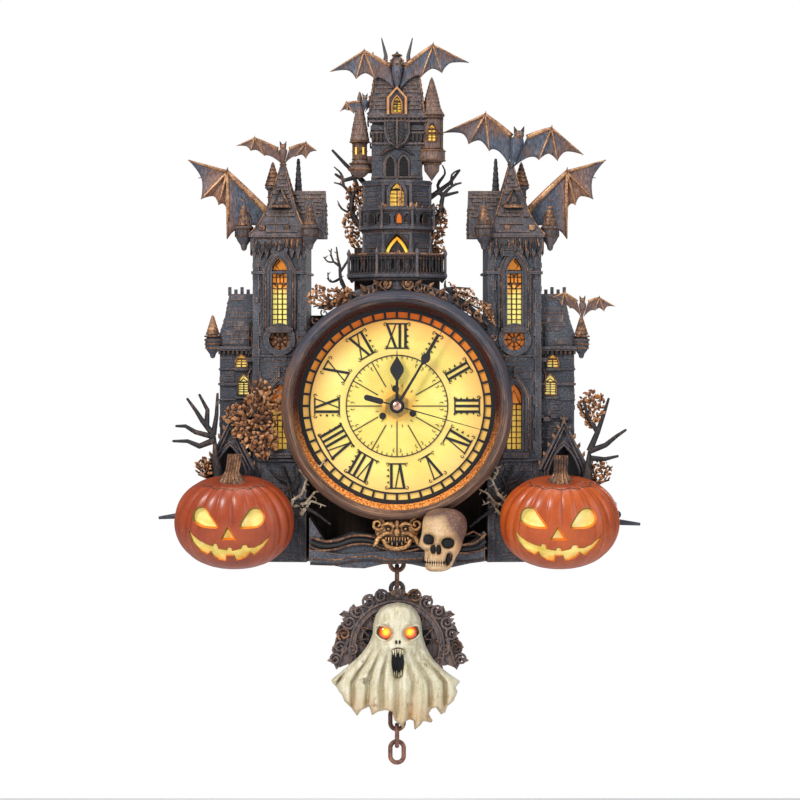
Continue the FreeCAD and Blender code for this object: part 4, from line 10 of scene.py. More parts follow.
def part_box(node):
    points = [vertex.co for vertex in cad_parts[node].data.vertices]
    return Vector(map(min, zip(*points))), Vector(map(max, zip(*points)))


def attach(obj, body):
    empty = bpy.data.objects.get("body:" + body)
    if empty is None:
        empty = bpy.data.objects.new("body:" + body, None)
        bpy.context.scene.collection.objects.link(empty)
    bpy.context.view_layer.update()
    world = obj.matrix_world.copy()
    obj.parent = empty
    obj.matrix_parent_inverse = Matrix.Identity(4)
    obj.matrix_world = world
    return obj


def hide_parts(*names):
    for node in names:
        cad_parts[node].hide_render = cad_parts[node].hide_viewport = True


# Haunted castle wall clock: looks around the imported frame.
# Lengths here are millimetres about the dial's centre, x right, z up, and the wall at y = 0.
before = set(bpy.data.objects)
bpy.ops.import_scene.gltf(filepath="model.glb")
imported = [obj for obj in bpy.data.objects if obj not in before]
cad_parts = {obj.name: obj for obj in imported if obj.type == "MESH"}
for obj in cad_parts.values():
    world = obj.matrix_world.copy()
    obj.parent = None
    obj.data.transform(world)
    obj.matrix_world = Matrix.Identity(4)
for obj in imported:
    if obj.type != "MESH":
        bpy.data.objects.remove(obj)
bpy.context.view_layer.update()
dialLow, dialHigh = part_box("dial_plate")
dialZ = (dialLow.z + dialHigh.z) * 500
pixel = 0.55                    # one photo pixel on the clock's front
dialPixel = (397, 406)          # where the photo has the dial's centre


def spot(u, v):
    return (u - dialPixel[0]) * pixel, (dialPixel[1] - v) * pixel


def spots(pixels):
    return [spot(u, v) for u, v in pixels]


def spotOf(spec, u, v):
    # A photo pixel's place about a CAD piece's own origin
    scale = spec.get("scale", pixel)
    return spec.get("x", 0) + (u - spec["origin"][0]) * scale, spec["z"] + (spec["origin"][1] - v) * scale


def roundAt(x, y, z, reach, angle):
    # A point round a line along y
    return x + reach * cos(angle), y, z + reach * sin(angle)


def turnsOf(count, start=0.0):
    # That many even angles round a circle
    return [start + 2 * pi * k / count for k in range(count)]


def blend(a, b, t):
    return a + (b - a) * t


def upright(x, y, z):
    return x, y, z


# Camera, lights and floor
camera = {"distance": 1600, "x": 1.65, "z": 3.3, "front": -40, "lens": 131.0}
lights = {
    "key": {"at": (-620, -900, 620), "size": 0.34, "power": 11.0, "colour": (1.0, 0.97, 0.93)},
    "fill": {"at": (760, -820, 120), "size": 0.9, "power": 4.6, "colour": (0.90, 0.95, 1.0)},
    "top": {"at": (60, -260, 900), "size": 0.7, "power": 4.2, "colour": (1.0, 1.0, 1.0)},
    "low": {"at": (-100, -900, -500), "size": 0.8, "power": 2.0, "colour": (1.0, 0.95, 0.9)},
    "back": {"at": (300, 900, 300), "size": 1.0, "power": 4.0, "colour": (1.0, 1.0, 1.0)},
}
scene = bpy.context.scene


def place(x, y, z):
    return Vector((x / 1000, y / 1000, (z + dialZ) / 1000))


def buildStudio():
    lens = bpy.data.cameras.new("studioCamera")
    lens.lens = camera["lens"]
    lens.clip_end = 20
    eye = bpy.data.objects.new("studioCamera", lens)
    eye.location = place(camera["x"], camera["front"] - camera["distance"], camera["z"])
    eye.rotation_euler = (pi / 2, 0, 0)
    scene.collection.objects.link(eye)
    scene.camera = eye
    for name, spec in lights.items():
        lamp = bpy.data.lights.new(name, "AREA")
        lamp.shape = "DISK"
        lamp.size = spec["size"]
        lamp.energy = spec["power"]
        lamp.color = spec["colour"]
        holder = bpy.data.objects.new(name, lamp)
        holder.location = place(*spec["at"])
        aim = place(0, 0, 0) - holder.location
        holder.rotation_euler = aim.to_track_quat("-Z", "Y").to_euler()
        scene.collection.objects.link(holder)
    world = bpy.data.worlds.new("studio")
    scene.world = world
    world.use_nodes = True
    tree = world.node_tree
    soft = tree.nodes["Background"]
    soft.inputs["Color"].default_value = (0.86, 0.90, 1.0, 1)
    soft.inputs["Strength"].default_value = 0.26
    white = tree.nodes.new("ShaderNodeBackground")
    white.inputs["Color"].default_value = (1, 1, 1, 1)
    seen = tree.nodes.new("ShaderNodeLightPath")
    pick = tree.nodes.new("ShaderNodeMixShader")
    tree.links.new(seen.outputs["Is Camera Ray"], pick.inputs[0])
    tree.links.new(soft.outputs[0], pick.inputs[1])
    tree.links.new(white.outputs[0], pick.inputs[2])
    tree.links.new(pick.outputs[0], tree.nodes["World Output"].inputs["Surface"])
    scene.view_settings.view_transform = "Standard"


# Shader maths: a socket that adds Math nodes for the usual operators
class Sock:
    def __init__(self, tree, socket):
        self.tree = tree
        self.socket = socket

    def sum(self, operation, first, second=None):
        node = self.tree.nodes.new("ShaderNodeMath")
        node.operation = operation
        for slot, value in enumerate((first, second)):
            if isinstance(value, Sock):
                self.tree.links.new(value.socket, node.inputs[slot])
            elif value is not None:
                node.inputs[slot].default_value = value
        return Sock(self.tree, node.outputs[0])

    def __add__(self, other):
        return self.sum("ADD", self, other)

    def __sub__(self, other):
        return self.sum("SUBTRACT", self, other)

    def __rsub__(self, other):
        return self.sum("SUBTRACT", other, self)

    def __mul__(self, other):
        return self.sum("MULTIPLY", self, other)

    def __truediv__(self, other):
        return self.sum("DIVIDE", self, other)

    def __pow__(self, other):
        return self.sum("POWER", self, other)

    __radd__ = __add__
    __rmul__ = __mul__

    def __abs__(self):
        return self.sum("ABSOLUTE", self)

    def most(self, other):
        return self.sum("MAXIMUM", self, other)

    def between(self, low, high):
        # 0 below low, 1 above high
        spread = (self - low) / (high - low)
        return spread.sum("MINIMUM", spread, 1.0).most(0.0)


class Finish:
    def __init__(self, name, **constants):
        self.material = bpy.data.materials.new(name)
        self.material.use_nodes = True
        self.tree = self.material.node_tree
        self.shader = self.tree.nodes["Principled BSDF"]
        for key, value in constants.items():
            self.plug(value, self.shader.inputs[key.replace("_", " ")])

    def plug(self, value, socket):
        if isinstance(value, Sock):
            self.tree.links.new(value.socket, socket)
        elif isinstance(value, tuple) and len(value) == 3 and socket.type == "RGBA":
            socket.default_value = (*value, 1)
        else:
            socket.default_value = value

    def add(self, kind, settings=(), values=(), out=0):
        node = self.tree.nodes.new("ShaderNode" + kind)
        for key, value in dict(settings).items():
            if key == "stops":
                ramp = node.color_ramp.elements
                while len(ramp) < len(value):
                    ramp.new(0.5)
                for element, (at, colour) in zip(ramp, value):
                    element.position = at
                    element.color = (*colour, 1)
            else:
                setattr(node, key, value)
        for key, value in dict(values).items():
            self.plug(value, node.inputs[key])
        return Sock(self.tree, node.outputs[out])

    def put(self, **links):
        for key, value in links.items():
            self.plug(value, self.shader.inputs[key.replace("_", " ")])
        return self.material

    def grid(self, scale=(1, 1, 1)):
        # Object coordinates in millimetres, stretched
        coords = self.add("TexCoord", out=3)
        return self.add("Mapping", {}, {"Vector": coords, "Scale": tuple(s * 1000 for s in scale)})

    def axes(self, vector):
        return [self.add("SeparateXYZ", {}, {0: vector}, out) for out in range(3)]

    def joined(self, x, y, z):
        return self.add("CombineXYZ", {}, {0: x, 1: y, 2: z})

    def noise(self, scale, detail=4.0, rough=0.55, vector=None, warp=0.0):
        vector = vector or self.grid()
        return self.add("TexNoise", {}, {"Vector": vector, "Scale": scale, "Detail": detail,
                                         "Roughness": rough, "Distortion": warp})

    def ramp(self, value, *stops):
        return self.add("ValToRGB", {"stops": stops}, {0: value})

    def mix(self, factor, a, b, mode="MIX"):
        return self.add("Mix", {"data_type": "RGBA", "blend_type": mode}, {0: factor, 6: a, 7: b}, 2)

    def shaded(self, colour, share):
        return self.mix(1.0, colour, self.joined(share, share, share), "MULTIPLY")

    def bump(self, height, strength, reach):
        return self.add("Bump", {}, {"Height": height, "Strength": strength, "Distance": reach / 1000})

    def edges(self, radius, gain):
        # 1 on sharp corners of the shape, 0 on its flats
        rounded = self.add("Bevel", {"samples": 4}, {"Radius": radius / 1000})
        flat = self.add("NewGeometry", out=1)
        same = self.add("VectorMath", {"operation": "DOT_PRODUCT"}, {0: rounded, 1: flat}, 1)
        return ((1 - same) * gain).between(0.0, 1.0)

    def crevice(self, reach):
        # 1 in the open, 0 deep in a corner
        return self.add("AmbientOcclusion", {"samples": 6}, {"Distance": reach / 1000}, 1)

    def height(self):
        return self.axes(self.grid())[2] - dialZ

    def around(self, x, z):
        # Distance from a line along y
        east, _, up = self.axes(self.grid())
        east, up = east - x, up - dialZ - z
        return (east * east + up * up) ** 0.5


finishes = {}


def finish(name):
    # Each finish is made once, by the function of its name
    if name not in finishes:
        finishes[name] = makers[name](name)
    return finishes[name]


slateDark = (0.014, 0.016, 0.023)
slateMid = (0.050, 0.054, 0.069)
slateLight = (0.135, 0.141, 0.168)
copperDark = (0.095, 0.040, 0.020)
copperWarm = (0.34, 0.165, 0.080)
copperBright = (0.60, 0.335, 0.175)
copperSteps = ((0.35, copperDark), (0.52, copperWarm), (0.70, copperBright))


def castStone(name, courses=True, brush=1.0, tint=0.0, bright=1.0, roughness=0.62):
    # Blue-grey cast resin with painted shade in its hollows, dry brushed with copper on its edges
    f = Finish(name, Specular_IOR_Level=0.42)
    cloud = f.noise(0.055, 5, 0.62)
    fine = f.noise(1.1, 3, 0.6)
    base = f.ramp(cloud * 0.42 + fine * 0.58, (0.32, slateDark), (0.50, slateMid), (0.68, slateLight))
    scratch = f.noise(0.9, 2, 0.5, f.grid((1.0, 1.0, 0.12)))
    openness = f.crevice(3.5)
    wear = (f.edges(0.55, 7.0) * (scratch * 1.5 + 0.1) * openness).between(0.18, 0.66) * (0.85 * brush)
    dust = ((fine * 0.5 + cloud * 0.5).between(0.56, 0.74) * 0.34 + tint) * brush
    rubbed = f.ramp(scratch, *copperSteps)
    colour = f.mix(dust, base, f.mix(0.5, slateMid, rubbed))
    colour = f.mix(wear, colour, rubbed)
    # Painted shade: the colour is darkened in corners and recesses by ambient occlusion
    shade = openness.between(0.05, 0.85) * 0.80 + 0.20
    colour = f.shaded(colour, shade * bright)
    f.put(Base_Color=colour, Roughness=roughness - wear * 0.22, Metallic=wear * 0.35)
    height = fine * 0.5 + cloud * 0.3
    if courses:
        east, depth, up = f.axes(f.grid())
        laid = f.joined(east + depth, up, 0.0)
        brick = f.add("TexBrick", {},
                      {"Vector": laid, "Scale": 0.35, "Mortar Size": 0.035, "Mortar Smooth": 0.6,
                       "Brick Width": 1.25, "Row Height": 0.55}, 1)
        height = height - brick * 0.75
    return f.put(Normal=f.bump(height, 0.55, 0.5))


def boards(name, bright=1.0, tint=0.05):
    # Weathered boards and shingles with a fine upright grain
    f = Finish(name, Specular_IOR_Level=0.40)
    east, depth, up = f.axes(f.grid())
    grain = f.noise(1.0, 4, 0.65, f.joined((east + depth) * 1.9, depth * 1.2, up * 0.30))
    patch = f.noise(0.16, 3, 0.6)
    base = f.ramp(grain * 0.55 + patch * 0.45, (0.30, slateDark), (0.50, slateMid), (0.70, slateLight))
    openness = f.crevice(2.5)
    wear = (f.edges(0.5, 8.0) * (grain * 1.3 + 0.2) * openness).between(0.14, 0.55)
    rubbed = f.ramp(grain, *copperSteps)
    colour = f.mix(patch.between(0.52, 0.75) * 0.24 + tint, base, rubbed)
    colour = f.mix(wear, colour, rubbed)
    # Painted shade: the colour is darkened in corners and recesses by ambient occlusion
    shade = (openness.between(0.05, 0.9) * 0.78 + 0.22) * bright
    colour = f.shaded(colour, shade)
    f.put(Base_Color=colour, Roughness=0.66 - wear * 0.22, Metallic=wear * 0.3)
    return f.put(Normal=f.bump(grain, 0.5, 0.45))


def rubbedCopper(name, dark=0.45, bright=1.0):
    # Copper rubbed over a dark ground, brightest on its corners
    f = Finish(name, Specular_IOR_Level=0.5)
    speck = f.noise(0.9, 4, 0.6)
    patch = f.noise(0.12, 3, 0.55)
    openness = f.crevice(1.8)
    tone = (speck * 0.5 + patch * 0.5).between(dark - 0.12, dark + 0.16) * openness
    colour = f.ramp(tone, (0.0, (0.022, 0.020, 0.026)), (0.30, copperDark), (0.65, copperWarm),
                    (1.0, copperBright))
    # Painted shade: the colour is darkened further in hollows by ambient occlusion
    shade = openness.between(0.0, 0.85) * bright
    colour = f.shaded(colour, shade)
    f.put(Base_Color=colour, Roughness=0.60 - tone * 0.22, Metallic=tone * 0.45)
    return f.put(Normal=f.bump(speck, 0.5, 0.4))


def turnedWood(name):
    # Stained ring, grain running round the dial, bluer above and browner below
    f = Finish(name, Specular_IOR_Level=0.45)
    reach = f.around(0, 0)
    up = f.height()
    east, depth, _ = f.axes(f.grid())
    ring = f.joined(east * 0.035, up * 0.035, (reach * 1.7 + depth * 1.5))
    grain = f.noise(1.0, 6, 0.70, ring, 0.3)
    streak = f.noise(0.7, 5, 0.75, f.joined(east * 0.05, up * 0.05, reach * 4.2 + depth * 3.6))
    patch = f.noise(0.030, 3, 0.5)
    cool = f.ramp(streak, (0.36, (0.008, 0.009, 0.015)), (0.50, (0.042, 0.049, 0.076)),
                  (0.64, (0.135, 0.130, 0.150)))
    warm = f.ramp(grain, (0.34, (0.022, 0.013, 0.011)), (0.50, (0.135, 0.066, 0.042)),
                  (0.66, (0.36, 0.185, 0.105)))
    low = 1 - (up + east * 0.25).between(-62.0, 30.0)
    brown = (grain * 1.5 + patch * 0.6 + low * 0.50 - 0.92).between(0.10, 0.42)
    colour = f.mix(brown, cool, warm)
    openness = f.crevice(2.5)
    wear = (f.edges(0.6, 6.0) * (streak * 1.6) * openness).between(0.22, 0.7)
    colour = f.mix(wear, colour, copperWarm)
    # Painted shade: the colour is darkened in grooves and steps by ambient occlusion
    shade = openness.between(0.1, 0.95) * 0.75 + 0.25
    colour = f.shaded(colour, shade)
    f.put(Base_Color=colour, Roughness=0.52 + grain * 0.16, Metallic=wear * 0.3)
    return f.put(Normal=f.bump(grain * 0.6 + streak * 0.7, 0.7, 0.7))


def dialFace(name):
    # Lit yellow dial, orange towards its rim and hub, deeper in the chapter ring's windows
    f = Finish(name, Specular_IOR_Level=0.25, Roughness=0.55, Emission_Strength=0.36)
    reach = f.around(0, 0)
    up = f.height()
    mottle = f.noise(1.0, 4, 0.7)
    broad = f.noise(0.045, 3, 0.5)
    yellow = f.ramp(mottle * 0.35 + broad * 0.65, (0.34, (0.62, 0.46, 0.10)), (0.50, (0.71, 0.58, 0.15)),
                    (0.66, (0.76, 0.67, 0.22)))
    rim = (reach + broad * 5.0).between(38.0, 50.5)
    ring = (1 - abs((reach - 29.5) / 3.2)).between(0.0, 1.0)
    hub = 1 - (reach + broad * 4.0).between(7.0, 15.0)
    blush = f.mix((up / 110 + 0.5).between(0.25, 0.95), (0.76, 0.47, 0.16), (0.78, 0.30, 0.07))
    colour = f.mix(rim * 0.75, yellow, blush)
    colour = f.mix(ring * 0.40, colour, (0.78, 0.45, 0.17))
    colour = f.mix(hub * 0.80, colour, (0.80, 0.34, 0.045))
    cell = reach.between(47.4, 47.7)
    amber = f.ramp((up / 104 + 0.5).between(0.0, 1.0), (0.0, (0.76, 0.52, 0.15)), (0.45, (0.74, 0.42, 0.10)),
                   (0.72, (0.66, 0.22, 0.030)), (1.0, (0.56, 0.105, 0.010)))
    colour = f.mix(cell, colour, amber)
    return f.put(Base_Color=colour, Emission_Color=colour, Normal=f.bump(mottle, 0.12, 0.3))


def litGlass(name, foot, apex, low=(0.72, 0.62, 0.17), high=(0.66, 0.21, 0.02), power=0.62):
    # A pane that glows yellow below and orange near its head
    f = Finish(name, Specular_IOR_Level=0.5, Roughness=0.22, Emission_Strength=power)
    up = f.height()
    wave = f.noise(0.30, 3, 0.6)
    level = ((up - foot) / (apex - foot) + wave * 0.45 - 0.22).between(0.0, 1.0)
    colour = f.ramp(level, (0.0, low), (0.52, low), (0.74, high), (1.0, tuple(0.75 * c for c in high)))
    colour = f.mix(f.noise(1.6, 2, 0.6).between(0.56, 0.72) * 0.35, colour, (0.50, 0.46, 0.16))
    return f.put(Base_Color=colour, Emission_Color=colour, Normal=f.bump(wave, 0.25, 0.4))


def plainBlack(name, tone=0.008, roughness=0.42):
    f = Finish(name, Specular_IOR_Level=0.45)
    speck = f.noise(1.4, 3, 0.6)
    colour = f.ramp(speck, (0.3, (tone, tone, tone * 1.2)), (0.75, (tone * 2.6, tone * 2.5, tone * 2.7)))
    return f.put(Base_Color=colour, Roughness=roughness + speck * 0.2, Normal=f.bump(speck, 0.10, 0.2))


def leafCopper(name):
    f = Finish(name, Specular_IOR_Level=0.45)
    speck = f.noise(0.55, 3, 0.6)
    patch = f.noise(0.085, 2, 0.5)
    island = f.add("NewGeometry", out=8)
    tone = (speck * 0.35 + patch * 0.35 + island * 0.42).between(0.28, 0.80)
    colour = f.ramp(tone, (0.0, (0.075, 0.028, 0.014)), (0.42, (0.30, 0.120, 0.048)),
                    (0.72, (0.54, 0.25, 0.105)),
                    (1.0, (0.74, 0.41, 0.20)))
    # Painted shade: the colour is darkened between the leaves by ambient occlusion
    openness = f.crevice(2.2).between(0.05, 0.80)
    colour = f.shaded(colour, openness)
    return f.put(Base_Color=colour, Roughness=0.62 - tone * 0.2, Metallic=tone * 0.25)


def bark(name, brush=0.30):
    f = Finish(name, Specular_IOR_Level=0.4)
    grain = f.noise(0.9, 4, 0.65, f.grid((1, 1, 0.4)))
    colour = f.ramp(grain, (0.32, (0.006, 0.005, 0.006)), (0.55, (0.022, 0.018, 0.020)),
                    (0.74, (0.070, 0.055, 0.055)))
    rub = f.noise(0.10, 2, 0.5).between(0.52, 0.66) * grain.between(0.42, 0.62) * brush
    colour = f.mix(rub, colour, copperWarm)
    return f.put(Base_Color=colour, Roughness=0.6 - rub * 0.2, Normal=f.bump(grain, 0.6, 0.5))


def batLeather(name, cool=0.5):
    # Thin leathery membrane: blue grey towards one side, brown with a copper bloom towards the other
    f = Finish(name, Specular_IOR_Level=0.42)
    east, depth, up = f.axes(f.grid())
    vein = f.noise(1.0, 4, 0.6, f.joined(east * 1.6, depth, up * 0.35))
    cloud = f.noise(0.07, 3, 0.5)
    blue = f.ramp(vein, (0.32, (0.030, 0.038, 0.055)), (0.55, (0.080, 0.095, 0.130)),
                  (0.75, (0.16, 0.18, 0.23)))
    brown = f.ramp(vein, (0.32, (0.060, 0.036, 0.032)), (0.55, (0.17, 0.095, 0.075)),
                   (0.75, (0.33, 0.19, 0.14)))
    colour = f.mix((cloud + cool - 0.5).between(0.40, 0.62), brown, blue)
    wear = (f.edges(0.5, 6.0) * (vein + 0.45)).between(0.12, 0.6)
    colour = f.mix(wear, colour, copperBright)
    return f.put(Base_Color=colour, Roughness=0.55, Metallic=wear * 0.3, Normal=f.bump(vein, 0.45, 0.35))


def wingLeather(name):
    # The large side wings: slate near the bones, glowing copper towards the trailing scallops
    f = Finish(name, Specular_IOR_Level=0.42)
    east, depth, up = f.axes(f.grid())
    vein = f.noise(0.9, 4, 0.6, f.joined(east * 1.3, depth, up * 0.5))
    cloud = f.noise(0.05, 3, 0.5)
    blue = f.ramp(vein, (0.30, (0.030, 0.036, 0.052)), (0.55, (0.078, 0.092, 0.125)),
                  (0.75, (0.15, 0.17, 0.215)))
    brown = f.ramp(vein, (0.30, (0.16, 0.062, 0.028)), (0.55, (0.36, 0.155, 0.070)),
                   (0.75, (0.56, 0.29, 0.15)))
    near = 1 - abs((abs(east) - 96.0 - cloud * 9.0) / 13.0)
    low = 1 - (up - dialZ).between(88.0, 131.0)
    glow = (near.between(0.0, 0.8) * (low * 0.75 + 0.45)).between(0.05, 0.95)
    colour = f.mix(glow, blue, brown)
    wear = (f.edges(0.6, 5.0) * (vein + 0.4)).between(0.14, 0.6)
    colour = f.mix(wear, colour, copperWarm)
    return f.put(Base_Color=colour, Roughness=0.55, Metallic=wear * 0.25, Normal=f.bump(vein, 0.4, 0.4))


def pumpkinGlaze(name, red=0.0):
    # Orange wash over brown, with painted shade in the grooves and underneath, a painted highlight on the
    # lobes' ridges, and a soft varnish
    f = Finish(name, Coat_Weight=0.40, Coat_Roughness=0.24, Specular_IOR_Level=0.3)
    speck = f.noise(1.3, 3, 0.65)
    cloud = f.noise(0.07, 3, 0.5)
    tone = (cloud * 0.55 + speck * 0.45).between(0.30, 0.72)
    orange = f.ramp(tone, (0.0, blendColour((0.34, 0.048, 0.010), (0.20, 0.026, 0.011), red)),
                    (0.5, blendColour((0.50, 0.086, 0.011), (0.30, 0.044, 0.014), red)),
                    (1.0, blendColour((0.62, 0.140, 0.022), (0.40, 0.076, 0.026), red)))
    # Painted shade: darker in the grooves by ambient occlusion, and darker towards the bottom
    openness = f.crevice(3.0)
    stainAndShade = 1 - openness.between(0.45, 0.97)
    up = f.height()
    bellyShade = 1 - up.between(-88.0, -74.0)
    colour = f.mix(stainAndShade * 0.75 + bellyShade * 0.25, orange, (0.085, 0.022, 0.014))
    # Painted highlight: a pale tint along the lobes' ridges
    pale = (f.edges(1.2, 2.2) * openness).between(0.10, 0.7)
    colour = f.mix(pale * 0.16, colour, (0.74, 0.36, 0.20))
    # Painted shade in thin dark lines along the creases between the lobes, weaker over the face; and a darker
    # lid
    across, forth, high = f.axes(f.grid())
    aside = abs(across) - pumpkin["x"]
    tall = high - dialZ - pumpkin["z"]
    ahead = (forth - pumpkin["y"]) * -cos(pumpkin["lean"]) - tall * sin(pumpkin["lean"])
    turn = aside.sum("ARCTAN2", aside, ahead)
    line = (1 - abs(turn.sum("SINE", turn * (pumpkin["lobes"] / 2)))).between(0.84, 0.99)
    outer = abs(aside).between(14, 24).most(tall.between(-2, 12))
    colour = f.mix(line * outer * 0.7, colour, (0.075, 0.018, 0.010))
    colour = f.mix(tall.between(18.6, 19.6) * 0.45, colour, (0.17, 0.028, 0.012))
    return f.put(Base_Color=colour, Roughness=0.34 + speck * 0.16,
                 Normal=f.bump(speck * 0.6 + cloud, 0.10, 0.4))


def blendColour(a, b, t):
    return tuple(blend(x, y, t) for x, y in zip(a, b))


def carvedWall(name):
    # The cut rind, in painted light: olive shade where it faces right or down, a painted orange glow where it
    # faces left or up
    f = Finish(name, Specular_IOR_Level=0.3, Roughness=0.55, Emission_Strength=0.30)
    across, _, up = f.axes(f.add("NewGeometry", out=1))
    # Painted light by facing: share picks the olive shade or the orange glow, which also shines by emission
    share = (across * 0.8 - up * 0.5 + f.noise(0.8, 3, 0.6) * 0.3 - 0.15).between(-0.35, 0.35)
    colour = f.mix(share, (0.76, 0.19, 0.010), (0.15, 0.095, 0.022))
    return f.put(Base_Color=colour, Emission_Color=colour)


def lanternGlow(name):
    f = Finish(name, Specular_IOR_Level=0.3, Roughness=0.45, Emission_Strength=0.45)
    cloud = f.noise(0.16, 3, 0.55)
    colour = f.ramp(cloud, (0.32, (0.62, 0.47, 0.10)), (0.55, (0.72, 0.61, 0.19)), (0.72, (0.76, 0.68, 0.30)))
    return f.put(Base_Color=colour, Emission_Color=colour)


def oldBone(name):
    # Cream bone washed with brown, browner over the crown, with painted shade in the hollows
    f = Finish(name, Specular_IOR_Level=0.42)
    speck = f.noise(0.9, 4, 0.65)
    cloud = f.noise(0.13, 3, 0.55)
    up = f.height()
    east = f.axes(f.grid())[0]
    cream = f.ramp(speck * 0.5 + cloud * 0.5, (0.30, (0.38, 0.21, 0.095)), (0.50, (0.62, 0.40, 0.21)),
                   (0.70, (0.80, 0.64, 0.44)))
    cream = f.mix((east - 27.0 + cloud * 8.0 - 4.0).between(-2.0, 6.0) * 0.6, cream, (0.56, 0.28, 0.13))
    brown = f.ramp(speck * 0.6 + cloud * 0.4, (0.32, (0.050, 0.024, 0.020)), (0.52, (0.15, 0.075, 0.055)),
                   (0.72, (0.36, 0.20, 0.13)))
    side = (east - 23.5 + (up + 60.0) * 0.62 + cloud * 6.0 - 3.0).between(-1.5, 4.0)
    crown = side.most((up + 61.0 + cloud * 5.0 - 2.5).between(-1.5, 2.0))
    colour = f.mix(crown, cream, brown)
    # Painted shade: the hollows are darkened to deep brown by ambient occlusion
    openness = f.crevice(2.6).between(0.10, 0.90)
    colour = f.mix(1 - openness, colour, (0.055, 0.026, 0.016))
    return f.put(Base_Color=colour, Roughness=0.46 + speck * 0.18, Normal=f.bump(speck, 0.30, 0.3))


def rubbedGilt(name):
    f = Finish(name, Specular_IOR_Level=0.5)
    speck = f.noise(0.8, 4, 0.6)
    openness = f.crevice(2.0)
    tone = (speck * 0.9 * openness + f.edges(0.5, 4.0) * 0.4).between(0.22, 0.62)
    colour = f.ramp(tone, (0.0, (0.045, 0.022, 0.014)), (0.45, (0.34, 0.15, 0.050)),
                    (1.0, (0.86, 0.50, 0.20)))
    return f.put(Base_Color=colour, Roughness=0.52 - tone * 0.18, Metallic=tone * 0.6,
                 Normal=f.bump(speck, 0.5, 0.4))


def ghostCloth(name):
    # Cream sheet with painted olive-brown shade in the folds, scorched towards its hem
    f = Finish(name, Specular_IOR_Level=0.38)
    east, depth, up = f.axes(f.grid())
    speck = f.noise(0.8, 3, 0.6)
    flow = f.noise(0.55, 4, 0.6, f.joined(east * 0.8, depth, up * 0.16))
    spotty = f.noise(0.13, 2, 0.5)
    cream = f.ramp(speck * 0.3 + flow * 0.7, (0.30, (0.42, 0.36, 0.19)), (0.48, (0.68, 0.62, 0.43)),
                   (0.66, (0.84, 0.80, 0.66)))
    # Painted shade: olive brown in the folds, from ambient occlusion
    openness = f.crevice(4.0)
    foldShade = 1 - openness.between(0.40, 0.99)
    colour = f.mix(foldShade * 0.95, cream, (0.165, 0.105, 0.026))
    stainAndShade = spotty.between(0.60, 0.69) * flow.between(0.45, 0.60)
    colour = f.mix(stainAndShade * 0.8, colour, (0.10, 0.058, 0.018))
    hem = 1 - (up - dialZ + flow * 16.0).between(-164.0, -146.0)
    colour = f.mix(hem * flow.between(0.36, 0.58) * 0.80, colour, (0.52, 0.26, 0.075))
    return f.put(Base_Color=colour, Roughness=0.52 + speck * 0.14,
                 Normal=f.bump(flow * 0.7 + speck * 0.3, 0.18, 0.4))


def emberEye(name, x, z, reach):
    f = Finish(name, Specular_IOR_Level=0.6, Roughness=0.15, Coat_Weight=0.6, Emission_Strength=1.15)
    far = f.around(x, z)
    # Painted glow: a yellow centre fading to dark red at the rim, shining by emission though the eye holds no
    # lamp
    colour = f.ramp((far / reach).between(0.0, 1.0), (0.0, (1.0, 0.72, 0.05)), (0.34, (0.98, 0.34, 0.01)),
                    (0.68, (0.52, 0.055, 0.003)), (1.0, (0.075, 0.008, 0.004)))
    fleck = f.noise(1.2, 2, 0.5)
    colour = f.mix(fleck.between(0.5, 0.7) * 0.25, colour, (0.60, 0.10, 0.0))
    return f.put(Base_Color=colour, Emission_Color=colour)


def agedChain(name):
    f = Finish(name, Specular_IOR_Level=0.5)
    speck = f.noise(0.8, 4, 0.65)
    patch = f.noise(0.22, 3, 0.55)
    openness = f.crevice(1.6)
    tone = (speck * 0.5 + patch * 0.5).between(0.34, 0.66) * openness
    colour = f.ramp(tone, (0.0, (0.045, 0.022, 0.018)), (0.45, (0.17, 0.075, 0.050)),
                    (0.8, (0.36, 0.165, 0.105)),
                    (1.0, (0.56, 0.34, 0.26)))
    return f.put(Base_Color=colour, Roughness=0.50, Metallic=tone * 0.55, Normal=f.bump(speck, 0.6, 0.5))


def plainMetal(name, colour=(0.62, 0.62, 0.62), roughness=0.32, grain=(6, 1, 1)):
    f = Finish(name, Metallic=1.0)
    brushed = f.noise(0.9, 3, 0.6, f.grid(grain))
    tone = f.ramp(brushed, (0.3, tuple(0.72 * c for c in colour)), (0.7, colour))
    return f.put(Base_Color=tone, Roughness=roughness + brushed * 0.14, Normal=f.bump(brushed, 0.15, 0.15))


def plainPlastic(name, colour=(0.03, 0.03, 0.033), roughness=0.42):
    f = Finish(name, Specular_IOR_Level=0.45)
    speck = f.noise(2.2, 3, 0.6)
    tone = f.ramp(speck, (0.3, tuple(0.78 * c for c in colour)), (0.7, colour))
    return f.put(Base_Color=tone, Roughness=roughness + speck * 0.12, Normal=f.bump(speck, 0.20, 0.10))


def boardWood(name):
    f = Finish(name, Specular_IOR_Level=0.4)
    grain = f.noise(0.55, 5, 0.6, f.grid((1.0, 1.0, 0.06)), 0.6)
    pore = f.noise(2.4, 2, 0.5, f.grid((1.0, 1.0, 0.15)))
    colour = f.ramp(grain * 0.75 + pore * 0.25, (0.30, (0.020, 0.012, 0.008)), (0.52, (0.065, 0.036, 0.022)),
                    (0.74, (0.13, 0.075, 0.045)))
    return f.put(Base_Color=colour, Roughness=0.55 + pore * 0.15, Normal=f.bump(grain + pore * 0.5, 0.3, 0.3))


